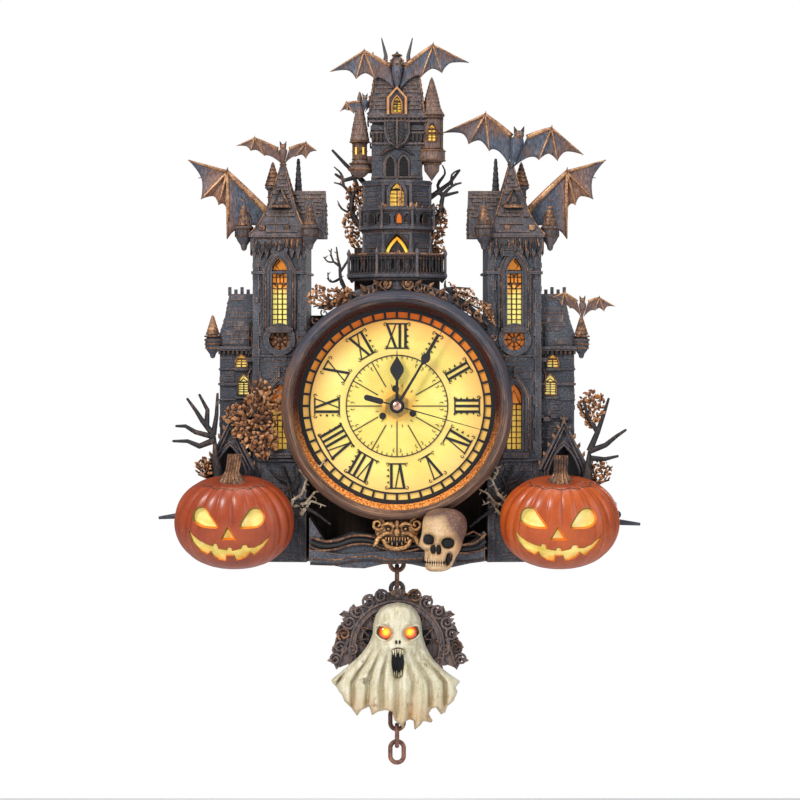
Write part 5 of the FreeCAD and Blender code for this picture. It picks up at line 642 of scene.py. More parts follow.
def litBrick(name):
    # The bezel's inner wall: brickwork, lit orange below and dark red above
    f = Finish(name, Specular_IOR_Level=0.3, Roughness=0.7, Emission_Strength=0.38)
    up = f.height()
    speck = f.noise(0.9, 4, 0.65)
    low = 1 - (up / 108 + 0.5).between(0.06, 0.50)
    lit = f.ramp(speck, (0.36, (0.16, 0.035, 0.006)), (0.52, (0.62, 0.20, 0.035)), (0.68, (0.95, 0.48, 0.12)))
    dim = f.ramp(speck, (0.36, (0.010, 0.004, 0.003)), (0.66, (0.065, 0.012, 0.007)))
    colour = f.mix(low, dim, lit)
    return f.put(Base_Color=colour, Emission_Color=colour, Normal=f.bump(speck, 0.6, 0.6))


def paleTwig(name):
    f = Finish(name, Specular_IOR_Level=0.4)
    speck = f.noise(0.5, 3, 0.6)
    colour = f.ramp(speck, (0.34, (0.16, 0.10, 0.055)), (0.60, (0.52, 0.42, 0.30)),
                    (0.75, (0.80, 0.72, 0.60)))
    return f.put(Base_Color=colour, Roughness=0.55, Normal=f.bump(speck, 0.3, 0.3))


makers = {
    "castleStone": castStone,
    "plainStone": lambda name: castStone(name, courses=False),
    "darkStone": lambda name: castStone(name, courses=False, brush=0.5, bright=0.55),
    "slateBoards": boards,
    "turretBoards": lambda name: boards(name, 1.05, 0.34),
    "copperTrim": lambda name: rubbedCopper(name, 0.50, 0.92),
    "darkTrim": lambda name: rubbedCopper(name, 0.60, 0.62),
    "paleCopper": lambda name: rubbedCopper(name, 0.40, 1.05),
    "turnedWood": turnedWood,
    "dialFace": dialFace,
    "plainBlack": plainBlack,
    # A black for openings and hollows: painted shade where only shadow would be
    "deepBlack": lambda name: plainBlack(name, 0.003, 0.7),
    "leafCopper": leafCopper,
    "bark": bark,
    "coolLeather": lambda name: batLeather(name, 0.56),
    "warmLeather": lambda name: batLeather(name, 0.40),
    "wingLeather": wingLeather,
    "leftPumpkin": lambda name: pumpkinGlaze(name, 0.75),
    "rightPumpkin": lambda name: pumpkinGlaze(name, 0.10),
    "carvedWall": carvedWall,
    "lanternGlow": lanternGlow,
    "oldBone": oldBone,
    "rubbedGilt": rubbedGilt,
    "ghostCloth": ghostCloth,
    "agedChain": agedChain,
    "frameBronze": lambda name: castStone(name, courses=False, tint=0.40, bright=1.25, roughness=0.5),
    "stemWood": lambda name: rubbedCopper(name, 0.50, 0.9),
    "litBrick": litBrick,
    "paleTwig": paleTwig,
    "boardWood": boardWood,
    "zincPlate": plainMetal,
    "capCopper": lambda name: plainMetal(name, (0.80, 0.47, 0.35), 0.26, (1, 1, 1)),
    "nutBrass": lambda name: plainMetal(name, (0.84, 0.54, 0.17), 0.34, (1, 1, 1)),
    "gearBrass": lambda name: plainMetal(name, (0.72, 0.53, 0.24), 0.30, (1, 1, 1)),
    "springSteel": lambda name: plainMetal(name, (0.70, 0.70, 0.69), 0.25),
    "coilWire": lambda name: plainMetal(name, (0.72, 0.30, 0.14), 0.35, (1, 1, 8)),
    "blackPlastic": plainPlastic,
    "greyPlastic": lambda name: plainPlastic(name, (0.045, 0.052, 0.070), 0.5),
    "whiteNylon": lambda name: plainPlastic(name, (0.72, 0.70, 0.62), 0.38),
    "boardGreen": lambda name: plainPlastic(name, (0.015, 0.11, 0.045), 0.4),
    "cellWrap": lambda name: plainPlastic(name, (0.05, 0.055, 0.07), 0.28),
    "towerGlass": lambda name: litGlass(name, 44, 76),
    "lowerGlass": lambda name: litGlass(name, -24, 14, (0.66, 0.40, 0.06), (0.58, 0.14, 0.012), 0.5),
    "houseGlass": lambda name: litGlass(name, 6, 34, (0.74, 0.60, 0.18), (0.70, 0.34, 0.05), 0.62),
    "drumGlass": lambda name: litGlass(name, 108, 132, (0.78, 0.47, 0.08), (0.74, 0.30, 0.025), 0.7),
    "archGlass": lambda name: litGlass(name, 70, 100, (0.80, 0.56, 0.07), (0.78, 0.27, 0.012), 0.85),
    "dormerGlass": lambda name: litGlass(name, 160, 182, (0.62, 0.40, 0.05), (0.52, 0.33, 0.04), 0.5),
    "turretGlass": lambda name: litGlass(name, 144, 160, (0.78, 0.44, 0.08), (0.74, 0.27, 0.03), 0.7),
}


# Mesh tools: a piece gathers faces in millimetres about the dial, then rides on its body
class Piece:
    def __init__(self, name, warp=upright):
        self.name = name
        self.warp = warp
        self.mesh = bmesh.new()
        self.used = []
        self.paint = 0
        self.soft = False

    def use(self, name, soft=False):
        if name not in self.used:
            self.used.append(name)
        self.paint = self.used.index(name)
        self.soft = soft
        return self

    def dot(self, x, y, z):
        return self.mesh.verts.new(place(*self.warp(x, y, z)))

    def face(self, corners):
        if len(set(corners)) < 3:
            return
        patch = self.mesh.faces.new(corners)
        patch.material_index = self.paint
        patch.smooth = self.soft

    def skin(self, rings, closed=True, capped=True):
        # Faces between rings of as many points each
        made = [[self.dot(*p) for p in ring] for ring in rings]
        for low, high in zip(made, made[1:]):
            count = len(low)
            for i in range(count if closed else count - 1):
                j = (i + 1) % count
                self.face((low[i], low[j], high[j], high[i]))
        if capped and closed:
            self.face(made[0])
            self.face(made[-1])
        return made

    def slab(self, outline, front, back, chamfer=0.0):
        # A cast plate with that outline; the chamfer draws its front edge in towards the middle
        rings = [[(x, back, z) for x, z in outline]]
        if chamfer:
            rings.append([(x, front + chamfer, z) for x, z in outline])
            rings.append([(x, front, z) for x, z in inset(outline, chamfer)])
        else:
            rings.append([(x, front, z) for x, z in outline])
        self.skin(rings)

    def box(self, x0, x1, y0, y1, z0, z1):
        self.slab([(x0, z0), (x1, z0), (x1, z1), (x0, z1)], y0, y1)

    def turned(self, x, y, profile, sides=24, start=0.0):
        # Round an upright line: profile is radius and z
        turns = turnsOf(sides, start)
        self.skin([[(x + r * cos(a), y + r * sin(a), z) for a in turns] for r, z in profile])

    def collar(self, x, y, r, z, proud, sides, half=0.5):
        # A raised ring round an upright line
        self.turned(x, y, [(r, z - half), (r + proud, z), (r, z + half)], sides)

    def post(self, x, y, low, high, radii, sides):
        self.tube([(x, y, low), (x, y, high)], radii, sides)

    def faced(self, x, z, profile, sides=32):
        # Round a line along y: profile is radius and y
        self.skin([[roundAt(x, y, z, r, a) for a in turnsOf(sides)] for r, y in profile])

    def tube(self, path, radii, sides=6, rough=0.0, seed=0):
        # A bar along points; radii at its two ends, or one at each point
        path = [Vector(p) for p in path]
        if isinstance(radii, (int, float)):
            radii = [radii] * len(path)
        elif len(radii) != len(path):
            radii = [blend(radii[0], radii[-1], i / (len(path) - 1)) for i in range(len(path))]
        rings = []
        side = None
        for i, point in enumerate(path):
            along = (path[min(i + 1, len(path) - 1)] - path[max(i - 1, 0)]).normalized()
            if side is None:
                side = along.cross(Vector((0, 1, 0)) if abs(along.y) < 0.9 else Vector((1, 0, 0)))
            side = (side - along * side.dot(along)).normalized()
            other = along.cross(side)
            ring = []
            for k in range(sides):
                turn = 2 * pi * k / sides
                reach = radii[i]
                if rough:
                    reach *= 1 + rough * noise.noise(point * 0.31 + Vector((k * 1.7, seed, 0)))
                ring.append(tuple(point + side * (reach * cos(turn)) + other * (reach * sin(turn))))
            rings.append(ring)
        self.skin(rings)

    def ball(self, x, y, z, rx, ry=None, rz=None, rings=8, sides=12):
        ry, rz = ry or rx, rz or rx
        lifts = [pi * (i / rings - 0.5) * 0.985 for i in range(rings + 1)]
        self.skin([[(x + rx * cos(lift) * cos(a), y + ry * cos(lift) * sin(a),
                     z + rz * sin(lift)) for a in turnsOf(sides)] for lift in lifts])

    def spiral(self, x, y, z, start, reach, turns, radius, hand=1, sides=5):
        # A scroll that winds in towards x, z
        steps = max(8, int(turns * 14))
        path = []
        for i in range(steps + 1):
            t = i / steps
            far = reach * (1 - t) ** 0.8 + radius * 0.6
            angle = start + hand * turns * 2 * pi * t
            path.append(roundAt(x, y - radius * 0.5 * t, z, far, angle))
        self.tube(path, (radius, radius * 0.65), sides)

    def leaf(self, root, tip, half, lift=0.0, turn=0.0):
        # A pointed leaf with a raised midrib, in two halves with a real thickness
        root, tip = Vector(root), Vector(tip)
        along = tip - root
        side = along.cross(Vector((0, 1, 0)))
        side = side.normalized() if side.length > 1e-6 else Vector((1, 0, 0))
        side = side * cos(turn) + Vector((0, 1, 0)) * sin(turn)
        out = Vector((0, -1, 0))
        rows = []
        for t, wide in ((0.0, 0.12), (0.22, 0.72), (0.48, 1.0), (0.76, 0.60), (1.0, 0.04)):
            mid = root + along * t + out * (lift * sin(pi * t))
            reach = side * (half * wide)
            rows.append([tuple(mid - reach), tuple(mid + out * half * 0.28 * wide), tuple(mid + reach),
                         tuple(mid - out * (0.25 + half * 0.10))])
        self.skin(rows)

    def finish(self, body, nodes, slot, bevel=0.0):
        bmesh.ops.recalc_face_normals(self.mesh, faces=self.mesh.faces)
        shape = bpy.data.meshes.new(self.name)
        self.mesh.to_mesh(shape)
        self.mesh.free()
        piece = bpy.data.objects.new(self.name, shape)
        scene.collection.objects.link(piece)
        for name in self.used:
            shape.materials.append(finish(name))
        if bevel:
            rounding = piece.modifiers.new("rounding", "BEVEL")
            rounding.width = bevel / 1000
            rounding.limit_method = "ANGLE"
            rounding.angle_limit = radians(38)
        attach(piece, body)
        if nodes:
            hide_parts(*nodes)


def inset(outline, depth):
    # The outline drawn in by about that depth, corner by corner
    count = len(outline)
    area = sum(outline[i][0] * outline[(i + 1) % count][1] - outline[(i + 1) % count][0] * outline[i][1]
               for i in range(count))
    hand = 1 if area > 0 else -1
    moved = []
    for i in range(count):
        before, here, after = (Vector(outline[(i + k) % count]) for k in (-1, 0, 1))
        a, b = (here - before), (after - here)
        if a.length < 1e-6 or b.length < 1e-6:
            moved.append(tuple(here))
            continue
        a, b = a.normalized(), b.normalized()
        normal = (Vector((-a.y, a.x)) + Vector((-b.y, b.x))) * hand
        if normal.length < 0.2:
            moved.append(tuple(here))
            continue
        normal = normal.normalized()
        share = max(0.45, normal.dot(Vector((-a.y, a.x)) * hand))
        moved.append(tuple(here + normal * (depth / share)))
    return moved


def lancet(x, foot, apex, half, steps=6):
    # A pointed arch, as in the CAD
    rise = half * 1.7
    spring = apex - rise
    right = []
    for i in range(steps + 1):
        t = i / steps
        bow = sin(pi * t) * half * 0.16
        right.append((x + half * (1 - t) + bow * 0.9, spring + rise * t + bow * 0.5))
    left = [(2 * x - px, pz) for px, pz in reversed(right[:-1])]
    return [(x - half, foot), (x + half, foot)] + right + left


def smoothed(points, steps=4, closed=False):
    # Points along a Catmull-Rom line through the given ones
    count = len(points)
    out = []
    last = count if closed else count - 1
    for i in range(last):
        quad = [points[(i + k) % count] if closed else points[min(max(i + k, 0), count - 1)]
                for k in (-1, 0, 1, 2)]
        for s in range(steps):
            t = s / steps
            out.append(tuple(0.5 * ((2 * b) + (c - a) * t + (2 * a - 5 * b + 4 * c - d) * t * t
                                    + (3 * b - a - 3 * c + d) * t ** 3) for a, b, c, d in zip(*quad)))
    if not closed:
        out.append(tuple(points[-1]))
    return out


def wavy(path, size, seed, scale=0.12):
    # The path with a hand-made wander
    return [tuple(Vector(p) + Vector((noise.noise(Vector(p) * scale + Vector((seed, 0, 0))),
                                      0.4 * noise.noise(Vector(p) * scale + Vector((0, seed, 9))),
                                      noise.noise(Vector(p) * scale + Vector((3, 5, seed))))) * size)
            for p in path]


# Side towers and houses: places on the right, in millimetres; the turn is in degrees
tower = {"turn": 5, "x": 62, "y": -5, "wheel": 36.6, "roofY": -20.5, "pinY": -12.0, "turret": (69, -11.2),
         "corners": ((82.3, -32.7), (44.9, -37.3))}
house = {"porch": 91.8, "turret": (101.9, -30)}


def towerPlace(side):
    # The side towers stand turned a little outwards; the left one is the right one's mirror image
    turn = radians(tower["turn"])

    def warp(x, y, z):
        dx, dy = x - tower["x"], y - tower["y"]
        east = tower["x"] + dx * cos(turn) - dy * sin(turn)
        return side * east, tower["y"] + dx * sin(turn) + dy * cos(turn), z
    return warp


def sidePlace(side):
    return lambda x, y, z: (side * x, y, z)


# Pumpkins: shallow lobes, a ribbed stem, and a carved face that glows from inside
pumpkin = {
    "x": 89, "y": -46.6, "z": -63.3, "half": 33, "depth": 23.1, "lean": 0.30, "rise": 25.75, "back": -39.9,
           "lobes": 20,
    "groove": 0.066, "wall": 3.6, "middle": 231.5,
    "left": {"middle": 231.5, "drop": 0, "scale": 1.0, "skin": "leftPumpkin",
             "stem": [(234, 481.5), (233, 474), (235, 464), (236.5, 453.5)]},
    "right": {"middle": 555.8, "drop": 0.3, "scale": 1.06, "skin": "rightPumpkin",
              "stem": [(559, 482.5), (559, 475), (559.5, 465), (559.5, 455)]},
}
carving = {     # the left face, in photo pixels
    "leftEye": [(195.7, 515), (198, 508), (203.4, 504.9), (209.7, 506.5), (214, 513), (221.5, 525.1),
                (212, 526),
                (203, 524), (197, 520)],
    "rightEye": [(242, 525.2), (249, 511), (255, 505.9), (261.9, 506.3), (266.6, 513), (266.2, 519.6),
                 (261.5, 524.6), (254, 526.2)],
    "nose": [(230.8, 523.3), (239.2, 537.6), (223, 537.6)],
    "mouth": [(190.4, 526), (196, 533), (202, 538), (209, 541.5), (215, 543.5), (216.5, 540.5), (220, 541.5),
              (221, 546), (229, 547.5), (230.3, 544.5), (234, 545), (235, 548), (243, 546), (244.6, 542.4),
              (249, 542), (250.5, 545), (256, 545), (263, 541.5), (269, 536), (272.8, 529.5), (270.5, 538),
              (266, 544.5), (260, 550), (255.7, 553.7), (252, 550.5), (248.5, 555), (243, 557.5),
              (237.5, 558.5),
              (236, 553.5), (229, 553.5), (228, 559), (221, 557.5), (215.5, 554), (213, 549.8),
              (209.7, 552.5),
              (202, 548), (195, 540)],
}


def insideOutline(x, z, outline):
    inside = False
    for (ax, az), (bx, bz) in zip(outline, outline[1:] + outline[:1]):
        if (az > z) != (bz > z) and x < (bx - ax) * (z - az) / (bz - az) + ax:
            inside = not inside
    return inside


def nearest(x, z, outline):
    # Distance to an outline, and the point on it
    best = (1e9, x, z)
    for (ax, az), (bx, bz) in zip(outline, outline[1:] + outline[:1]):
        dx, dz = bx - ax, bz - az
        share = max(0, min(1, ((x - ax) * dx + (z - az) * dz) / (dx * dx + dz * dz + 1e-9)))
        px, pz = ax + dx * share, az + dz * share
        best = min(best, (hypot(x - px, z - pz), px, pz))
    return best


def divided(outline, step):
    # The outline with points no further apart than the step
    out = []
    for (ax, az), (bx, bz) in zip(outline, outline[1:] + outline[:1]):
        parts = max(1, int(hypot(bx - ax, bz - az) / step))
        out += [(blend(ax, bx, i / parts), blend(az, bz, i / parts)) for i in range(parts)]
    return out


def pumpkinSkin(side, angle, lift, proud=0.0):
    # A point of the lobed shell; angle 0 looks forward, and the lobes grow flat over the face
    p = pumpkin
    face = max(0.0, cos(angle)) * (1 - max(0.0, min(1.0, lift / 0.55)))
    crease = (1 - abs(sin(p["lobes"] * angle / 2)) ** 0.5) * cos(lift) ** 0.4 * (1 - 0.75 * face)
    reach = cos(lift) ** 0.82 * (1 - p["groove"] * crease)
    dip = 3.2 * exp(-((pi / 2 - lift) / 0.24) ** 2)
    forward = (p["depth"] + proud) * reach * cos(angle)
    up = (p["rise"] + proud) * sin(lift) - dip
    # The pumpkin leans forward, so its lid shows
    c, s = cos(p["lean"]), sin(p["lean"])
    x = side * p["x"] + (p["half"] + proud) * reach * sin(angle)
    return x, min(p["y"] - forward * c - up * s, p["back"]), p["z"] + up * c - forward * s


def onPumpkin(side, x, z, sunk=0.0):
    # Where the shell's front stands over a point of the picture
    p = pumpkin
    across = max(-0.98, min(0.98, (x - side * p["x"]) / p["half"]))
    lift = asin(max(-0.96, min(0.96, (z - p["z"]) / p["rise"]))) + p["lean"]
    angle = asin(max(-0.98, min(0.98, across / max(0.15, cos(lift) ** 0.82))))
    for _ in range(9):
        gotX, _, gotZ = pumpkinSkin(side, angle, lift)
        wide = p["half"] * max(0.15, cos(lift) ** 0.82)
        lift = max(-1.3, min(1.3, lift + 0.8 * (z - gotZ) / (p["rise"] * max(0.35, cos(lift - p["lean"])))))
        angle = max(-1.45, min(1.45, angle + 0.8 * (x - gotX) / (wide * max(0.25, cos(angle)))))
    return pumpkinSkin(side, angle, lift)[1] + sunk


def makePumpkin(name, side):
    p, own = pumpkin, pumpkin[name]
    piece = Piece("pumpkin_" + name)
    piece.use(own["skin"], True)
    outlines = {}
    for part, pixels in carving.items():
        moved = [(own["middle"] + (u - p["middle"]) * own["scale"], v + own["drop"]) for u, v in pixels]
        outlines[part] = smoothed(spots(moved), 3, True) if "Eye" in part else spots(moved)
    sides, rows = 208, 116
    turns = [t - 0.42 * sin(t) for t in turnsOf(sides)]
    grid = [[piece.dot(*pumpkinSkin(side, turn, pi * (i / rows - 0.5) * 0.992)) for turn in turns]
            for i in range(rows + 1)]
    for low, high in zip(grid, grid[1:]):
        for k in range(sides):
            j = (k + 1) % sides
            middle = sum((c.co for c in (low[k], low[j], high[j], high[k])), Vector()) * 250
            front = middle.y < p["y"] - 2
            if not (front and any(insideOutline(middle.x, middle.z - dialZ, o) for o in outlines.values())):
                piece.face((low[k], low[j], high[j], high[k]))
    piece.face(grid[0])
    piece.face(grid[-1])
    # The edge of each opening is drawn on to its outline, so the cut is clean
    for corner in {corner for edge in piece.mesh.edges if edge.is_boundary for corner in edge.verts}:
        x, z = corner.co.x * 1000, corner.co.z * 1000 - dialZ
        far, nx, nz = min(nearest(x, z, o) for o in outlines.values())
        if far < 1.6:
            corner.co = place(nx, onPumpkin(side, nx, nz), nz)
    for part, outline in outlines.items():
        dense = divided(outline, 0.8)
        inner = inset(dense, 0.5 if part == "mouth" else 1.0)
        # The cut walls carry painted light: an orange glow on one side, olive shade on the other
        piece.use("carvedWall")
        piece.skin([[(x, onPumpkin(side, x, z) - 0.1, z) for x, z in dense],
                    [(x, onPumpkin(side, x, z, p["wall"]), z) for x, z in inner]], True, False)
        piece.use("lanternGlow")
        piece.face([piece.dot(x, onPumpkin(side, x, z, p["wall"] - 0.1), z) for x, z in inner])
    # Stem: ribbed, flared where it meets the crown
    piece.use("stemWood")
    path = smoothed([(x, p["y"] - 4.9 - i * 0.6, z) for i, (x, z) in enumerate(spots(own["stem"]))], 5)
    rings = []
    for i, (x, y, z) in enumerate(path):
        t = i / (len(path) - 1)
        radius = 9.2 - 6.0 * min(1, t * 2.2) ** 0.62 + 0.5 * t
        rings.append([(x + radius * (1 + 0.11 * cos(14 * a)) * cos(a),
                       y + radius * 0.8 * (1 + 0.11 * cos(14 * a)) * sin(a),
                       z + 0.25 * radius * sin(a) * (1 - t)) for a in turnsOf(84)])
    piece.skin(rings)
    # The lid's seam
    piece.use("stemWood")
    seam = [(3.1 * (i / 120 - 0.5), 1.10 + 0.028 * sin(i * 0.29)) for i in range(121)]
    piece.tube([pumpkinSkin(side, angle, lift, 0.05) for angle, lift in seam], 0.26, 5)
    piece.finish("castle", ["pumpkins"], "pumpkin_resin")


makePumpkin("left", -1)
makePumpkin("right", 1)
print("pumpkins")

# Skull: cranium, sockets, cheekbones, nose hollow, teeth and jaw
skull = {
    "y": -57.2,
    "rows": [   # photo v, left u, right u, half depth in mm
        (507, 438, 447, 2.0), (508.3, 431.5, 454.5, 5.0), (511.5, 426.5, 460.6, 7.8),
             (516, 423.6, 464.5, 9.3),
        (522, 422.3, 466.2, 10.3), (528, 421.9, 466, 10.6), (534, 421, 464.2, 10.5),
             (538.5, 419.6, 462.6, 10.2),
        (543.5, 418.9, 461, 9.9), (546.5, 421, 460.2, 9.6), (548.5, 424, 459.4, 9.3),
             (552, 424.3, 457.4, 9.1),
        (556, 424.3, 455, 9.1), (560, 424.4, 453.3, 9.2), (564, 425, 451.4, 9.0), (567.3, 426, 448.4, 7.8),
        (569.3, 429.5, 443, 4.6)],
    "hollows": [    # centre in photo pixels, half sizes and depth in mm
        ((428.7, 537.4), (3.3, 2.9), 4.4), ((446.7, 540.6), (3.5, 3.1), 4.4),
                ((432.8, 546.2), (1.4, 2.9), 2.6), ((438, 546.8), (1.4, 2.9), 2.6),
        ((448.6, 554.5), (1.7, 2.6), 3.6), ((446.2, 559.5), (1.4, 2.2), 3.0),
                ((434.5, 560.2), (5.4, 0.8), 1.3),
        ((427.2, 552), (1.0, 3.0), 2.0)],
    "swells": [
        ((427, 530.8), (3.9, 1.3), 1.0), ((448.5, 533), (4.3, 1.4), 1.0), ((436.8, 538), (0.9, 2.6), 0.9),
               ((435.4, 546), (0.5, 2.6), 0.8),
        ((421.5, 544), (2.2, 1.5), 1.3), ((456, 548.5), (2.8, 1.6), 1.5), ((434.5, 555.3), (5.0, 1.5), 0.8),
        ((435, 566.3), (5.0, 1.3), 0.7), ((453, 559), (1.4, 3.4), 0.9)],
    "sockets": [((428.7, 537.4), (3.15, 2.75), 4.6), ((446.7, 540.6), (3.35, 2.95), 4.6),
                ((432.9, 546.6), (1.1, 2.4), 2.6), ((437.9, 547.2), (1.1, 2.4), 2.6),
                ((447.6, 556.6), (1.15, 3.1), 3.2)],
    "teeth": {"left": 426.6, "upper": 557.8, "lower": 562.1, "step": 2.15, "count": 8},
}


def skullFront(x, z):
    # The unpressed front of the skull over a point of the picture
    v = dialPixel[1] - z / pixel
    for low, high in zip(skull["rows"], skull["rows"][1:]):
        if v <= high[0]:
            break
    t = max(0.0, min(1.0, (v - low[0]) / (high[0] - low[0])))
    left, right, deep = (blend(low[k], high[k], t) for k in (1, 2, 3))
    across = (x / pixel + dialPixel[0] - (left + right) / 2) / ((right - left) / 2)
    return skull["y"] - deep * sqrt(max(0.05, 1 - across * across))


def makeSkull():
    piece = Piece("skull_cast")
    piece.use("oldBone", True)
    sides = 128
    rings = []
    for v, left, right, deep in smoothed(skull["rows"], 6):
        ring = []
        for angle in turnsOf(sides):
            x, z = spot((left + right) / 2 + (right - left) / 2 * sin(angle), v)
            facing = max(0.0, cos(angle)) ** 0.5
            press = 0.0
            for (hu, hv), (wide, tall), far in skull["hollows"]:
                hx, hz = spot(hu, hv)
                press += far * facing / (1 + (((x - hx) / wide) ** 2 + ((z - hz) / tall) ** 2) ** 4)
            for (hu, hv), (wide, tall), far in skull["swells"]:
                hx, hz = spot(hu, hv)
                press -= far * facing * exp(-((x - hx) / wide) ** 2 - ((z - hz) / tall) ** 2)
            ring.append((x, skull["y"] - deep * cos(angle) + press, z))
        rings.append(ring)
    piece.skin(rings)
    # Painted shade: black balls deep in the sockets, nose and jaw gaps, and a black line behind the teeth
    piece.use("deepBlack", True)
    for (u, v), (wide, tall), deep in skull["sockets"]:
        x, z = spot(u, v)
        piece.ball(x, skullFront(x, z) + deep * 0.62, z, wide, 1.4, tall, 10, 18)
    teeth = skull["teeth"]
    line = [spot(teeth["left"] - 1.5 + 18.5 * t, 560) for t in (0, 0.25, 0.5, 0.75, 1)]
    piece.tube([(x, skullFront(x, z) + 0.8, z) for x, z in line], 0.95, 8)
    piece.use("oldBone", True)
    for row, tall in (("upper", 1.35), ("lower", 1.15)):
        for i in range(teeth["count"]):
            x, z = spot(teeth["left"] + i * teeth["step"], teeth[row])
            piece.ball(x, skullFront(x, z) - 0.05, z, 0.56, 0.62, tall, 6, 8)
    piece.finish("castle", ["skull"], "bone_resin")


makeSkull()
print("skull")

# Ghost: a hanging sheet with a hooded head, fangs and ember eyes
ghost = {
    "back": -32.7, "head": (397.5, 630), "eyes": [(385.9, 632.2), (409.7, 632.2)], "eyeReach": 4.0,
         "glowLift": 0.6,
    "mouth": (397.8, 662.4), "step": 0.62,
    "outline": [(397, 603), (404, 603.8), (411, 606), (417, 612), (420.3, 619), (421.6, 627.4),
                (422.6, 636.3),
                (425.9, 647), (430, 655), (434.8, 661.8), (442.4, 669.3), (451, 676), (460.8, 682.2),
                (457.5, 686),
                (455.8, 688.8), (458, 692.4), (455.8, 697.6), (453.5, 702.4), (447.5, 707.3), (445.4, 713.4),
                (441.2, 715.6), (436, 708.4), (432, 709.7), (428.6, 714.6), (432.8, 721.6), (431, 723.8),
                (423.5, 722), (420.8, 726), (414.5, 731.2), (413.6, 721.8), (409.3, 720.5), (404.8, 723),
                (403.5, 730.4), (398.4, 724), (394.4, 721.6), (392, 712.4), (385, 711.2), (377.4, 712.9),
                (371.8, 716.8), (370.2, 710), (368.8, 707.4), (361, 711.6), (357, 717), (350.6, 708.4),
                (344.2, 702.4), (341.7, 695.8), (338.5, 692.2), (336.6, 688.4), (332.8, 684.8), (330.8, 681),
                (341, 672.5), (350, 665), (356.5, 659.5), (362, 653.5), (367, 647), (370.4, 640.5),
                (372.6, 634),
                (373.2, 625), (375.5, 616), (380, 609.5), (386, 605.4)],
    "spread": [(-180, 37), (-152, 36), (-146, 30), (-141, 24), (-134, 17.5), (-124, 13.6), (-108, 12)],
    "presses": [    # centre, half sizes in mm, how deep: the mouth and nose
        ((397.8, 662.4), (3.9, 8.8), 3.0), ((396.3, 640.2), (0.75, 1.7), 1.6),
                ((399.6, 640.2), (0.75, 1.7), 1.6)],
    "swells": [((397.8, 636.5), (1.9, 2.6), 1.5), ((384, 647), (2.8, 2.4), 1.1),
               ((411.5, 647), (2.8, 2.4), 1.1),
               ((391, 626.5), (3.2, 1.1), 1.0), ((404.5, 626.5), (3.2, 1.1), 1.0),
               ((386, 622.5), (5.5, 1.4), 1.0),
               ((409.5, 622.5), (5.5, 1.4), 1.0), ((397.8, 646.3), (3.6, 1.2), 1.3)],
}


def ghostFront(x, z):
    # How far forward the cloth stands over a point of the picture
    hx, hz = spot(*ghost["head"])
    head = ((x - hx) / 14.2) ** 2 + ((z - hz) / 17.0) ** 2
    dome = 8.4 * exp(-1.15 * head ** 1.5)
    spread = ghost["spread"]
    for (z0, w0), (z1, w1) in zip(spread, spread[1:]):
        if z <= z1:
            break
    half = blend(w0, w1, max(0.0, min(1.0, (z - z0) / (z1 - z0))))
    share = x / half
    fall = max(0.0, min(1.0, (-131 - z) / 34))
    sway = 0.8 * noise.noise(Vector((x * 0.06, z * 0.035, 3))) + 0.25 * sin(z * 0.13)
    ridge = abs(sin(pi * 4.3 * share + sway)) ** 0.8
    small = abs(sin(pi * 9.1 * share + 1.3 + sway)) ** 0.9
    folds = fall ** 0.6 * (4.2 * ridge + 0.9 * small - 2.2)
    body = 5.4 * max(0.0, 1 - share * share)
    press = 0.0
    for ex, ez in spots(ghost["eyes"]):
        far = ((x - ex) / 4.7) ** 2 + ((z - ez) / 4.5) ** 2
        press += 3.2 / (1 + far ** 4) - 1.3 * exp(-((sqrt(far) - 1.16) / 0.20) ** 2)
    for (u, v), (wide, tall), deep in ghost["presses"]:
        px, pz = spot(u, v)
        press += deep / (1 + (((x - px) / wide) ** 2 + ((z - pz) / tall) ** 2) ** 4)
    for (u, v), (wide, tall), deep in ghost["swells"]:
        px, pz = spot(u, v)
        press -= deep * exp(-((x - px) / wide) ** 2 - ((z - pz) / tall) ** 2)
    return ghost["back"] - max(1.3, min(3.0 + body + dome * 0.82 + folds - press, 14.2))


def relief(piece, outline, step, front, back):
    # A cast plate cut along an outline: squares of a fine grid, the outer ones drawn on to the line
    lowX, lowZ = (min(p[k] for p in outline) for k in (0, 1))
    highX, highZ = (max(p[k] for p in outline) for k in (0, 1))
    cells = [(i, k) for i in range(int((highX - lowX) / step) + 2)
             for k in range(int((highZ - lowZ) / step) + 2)
             if insideOutline(lowX + i * step, lowZ + k * step, outline)]
    count = {}
    for i, k in cells:
        ring = [(i, k), (i + 1, k), (i + 1, k + 1), (i, k + 1)]
        for a, b in zip(ring, ring[1:] + ring[:1]):
            count[frozenset((a, b))] = count.get(frozenset((a, b)), 0) + 1
    rims = {corner for edge, uses in count.items() if uses == 1 for corner in edge}
    faces, backs = {}, {}
    for i, k in {corner for edge in count for corner in edge}:
        x, z = lowX + (i - 0.5) * step, lowZ + (k - 0.5) * step
        far, nx, nz = nearest(x, z, outline)
        if (i, k) in rims:
            x, z, far = nx, nz, 0.0
        faces[i, k] = piece.dot(x, blend(back - 0.9, front(x, z), min(1.0, far / 1.5) ** 0.5), z)
        backs[i, k] = piece.dot(x, back, z)
    for i, k in cells:
        ring = [(i, k), (i + 1, k), (i + 1, k + 1), (i, k + 1)]
        piece.face([faces[c] for c in ring])
        piece.face([backs[c] for c in reversed(ring)])
    for edge, uses in count.items():
        if uses == 1:
            a, b = edge
            piece.face([faces[a], faces[b], backs[b], backs[a]])


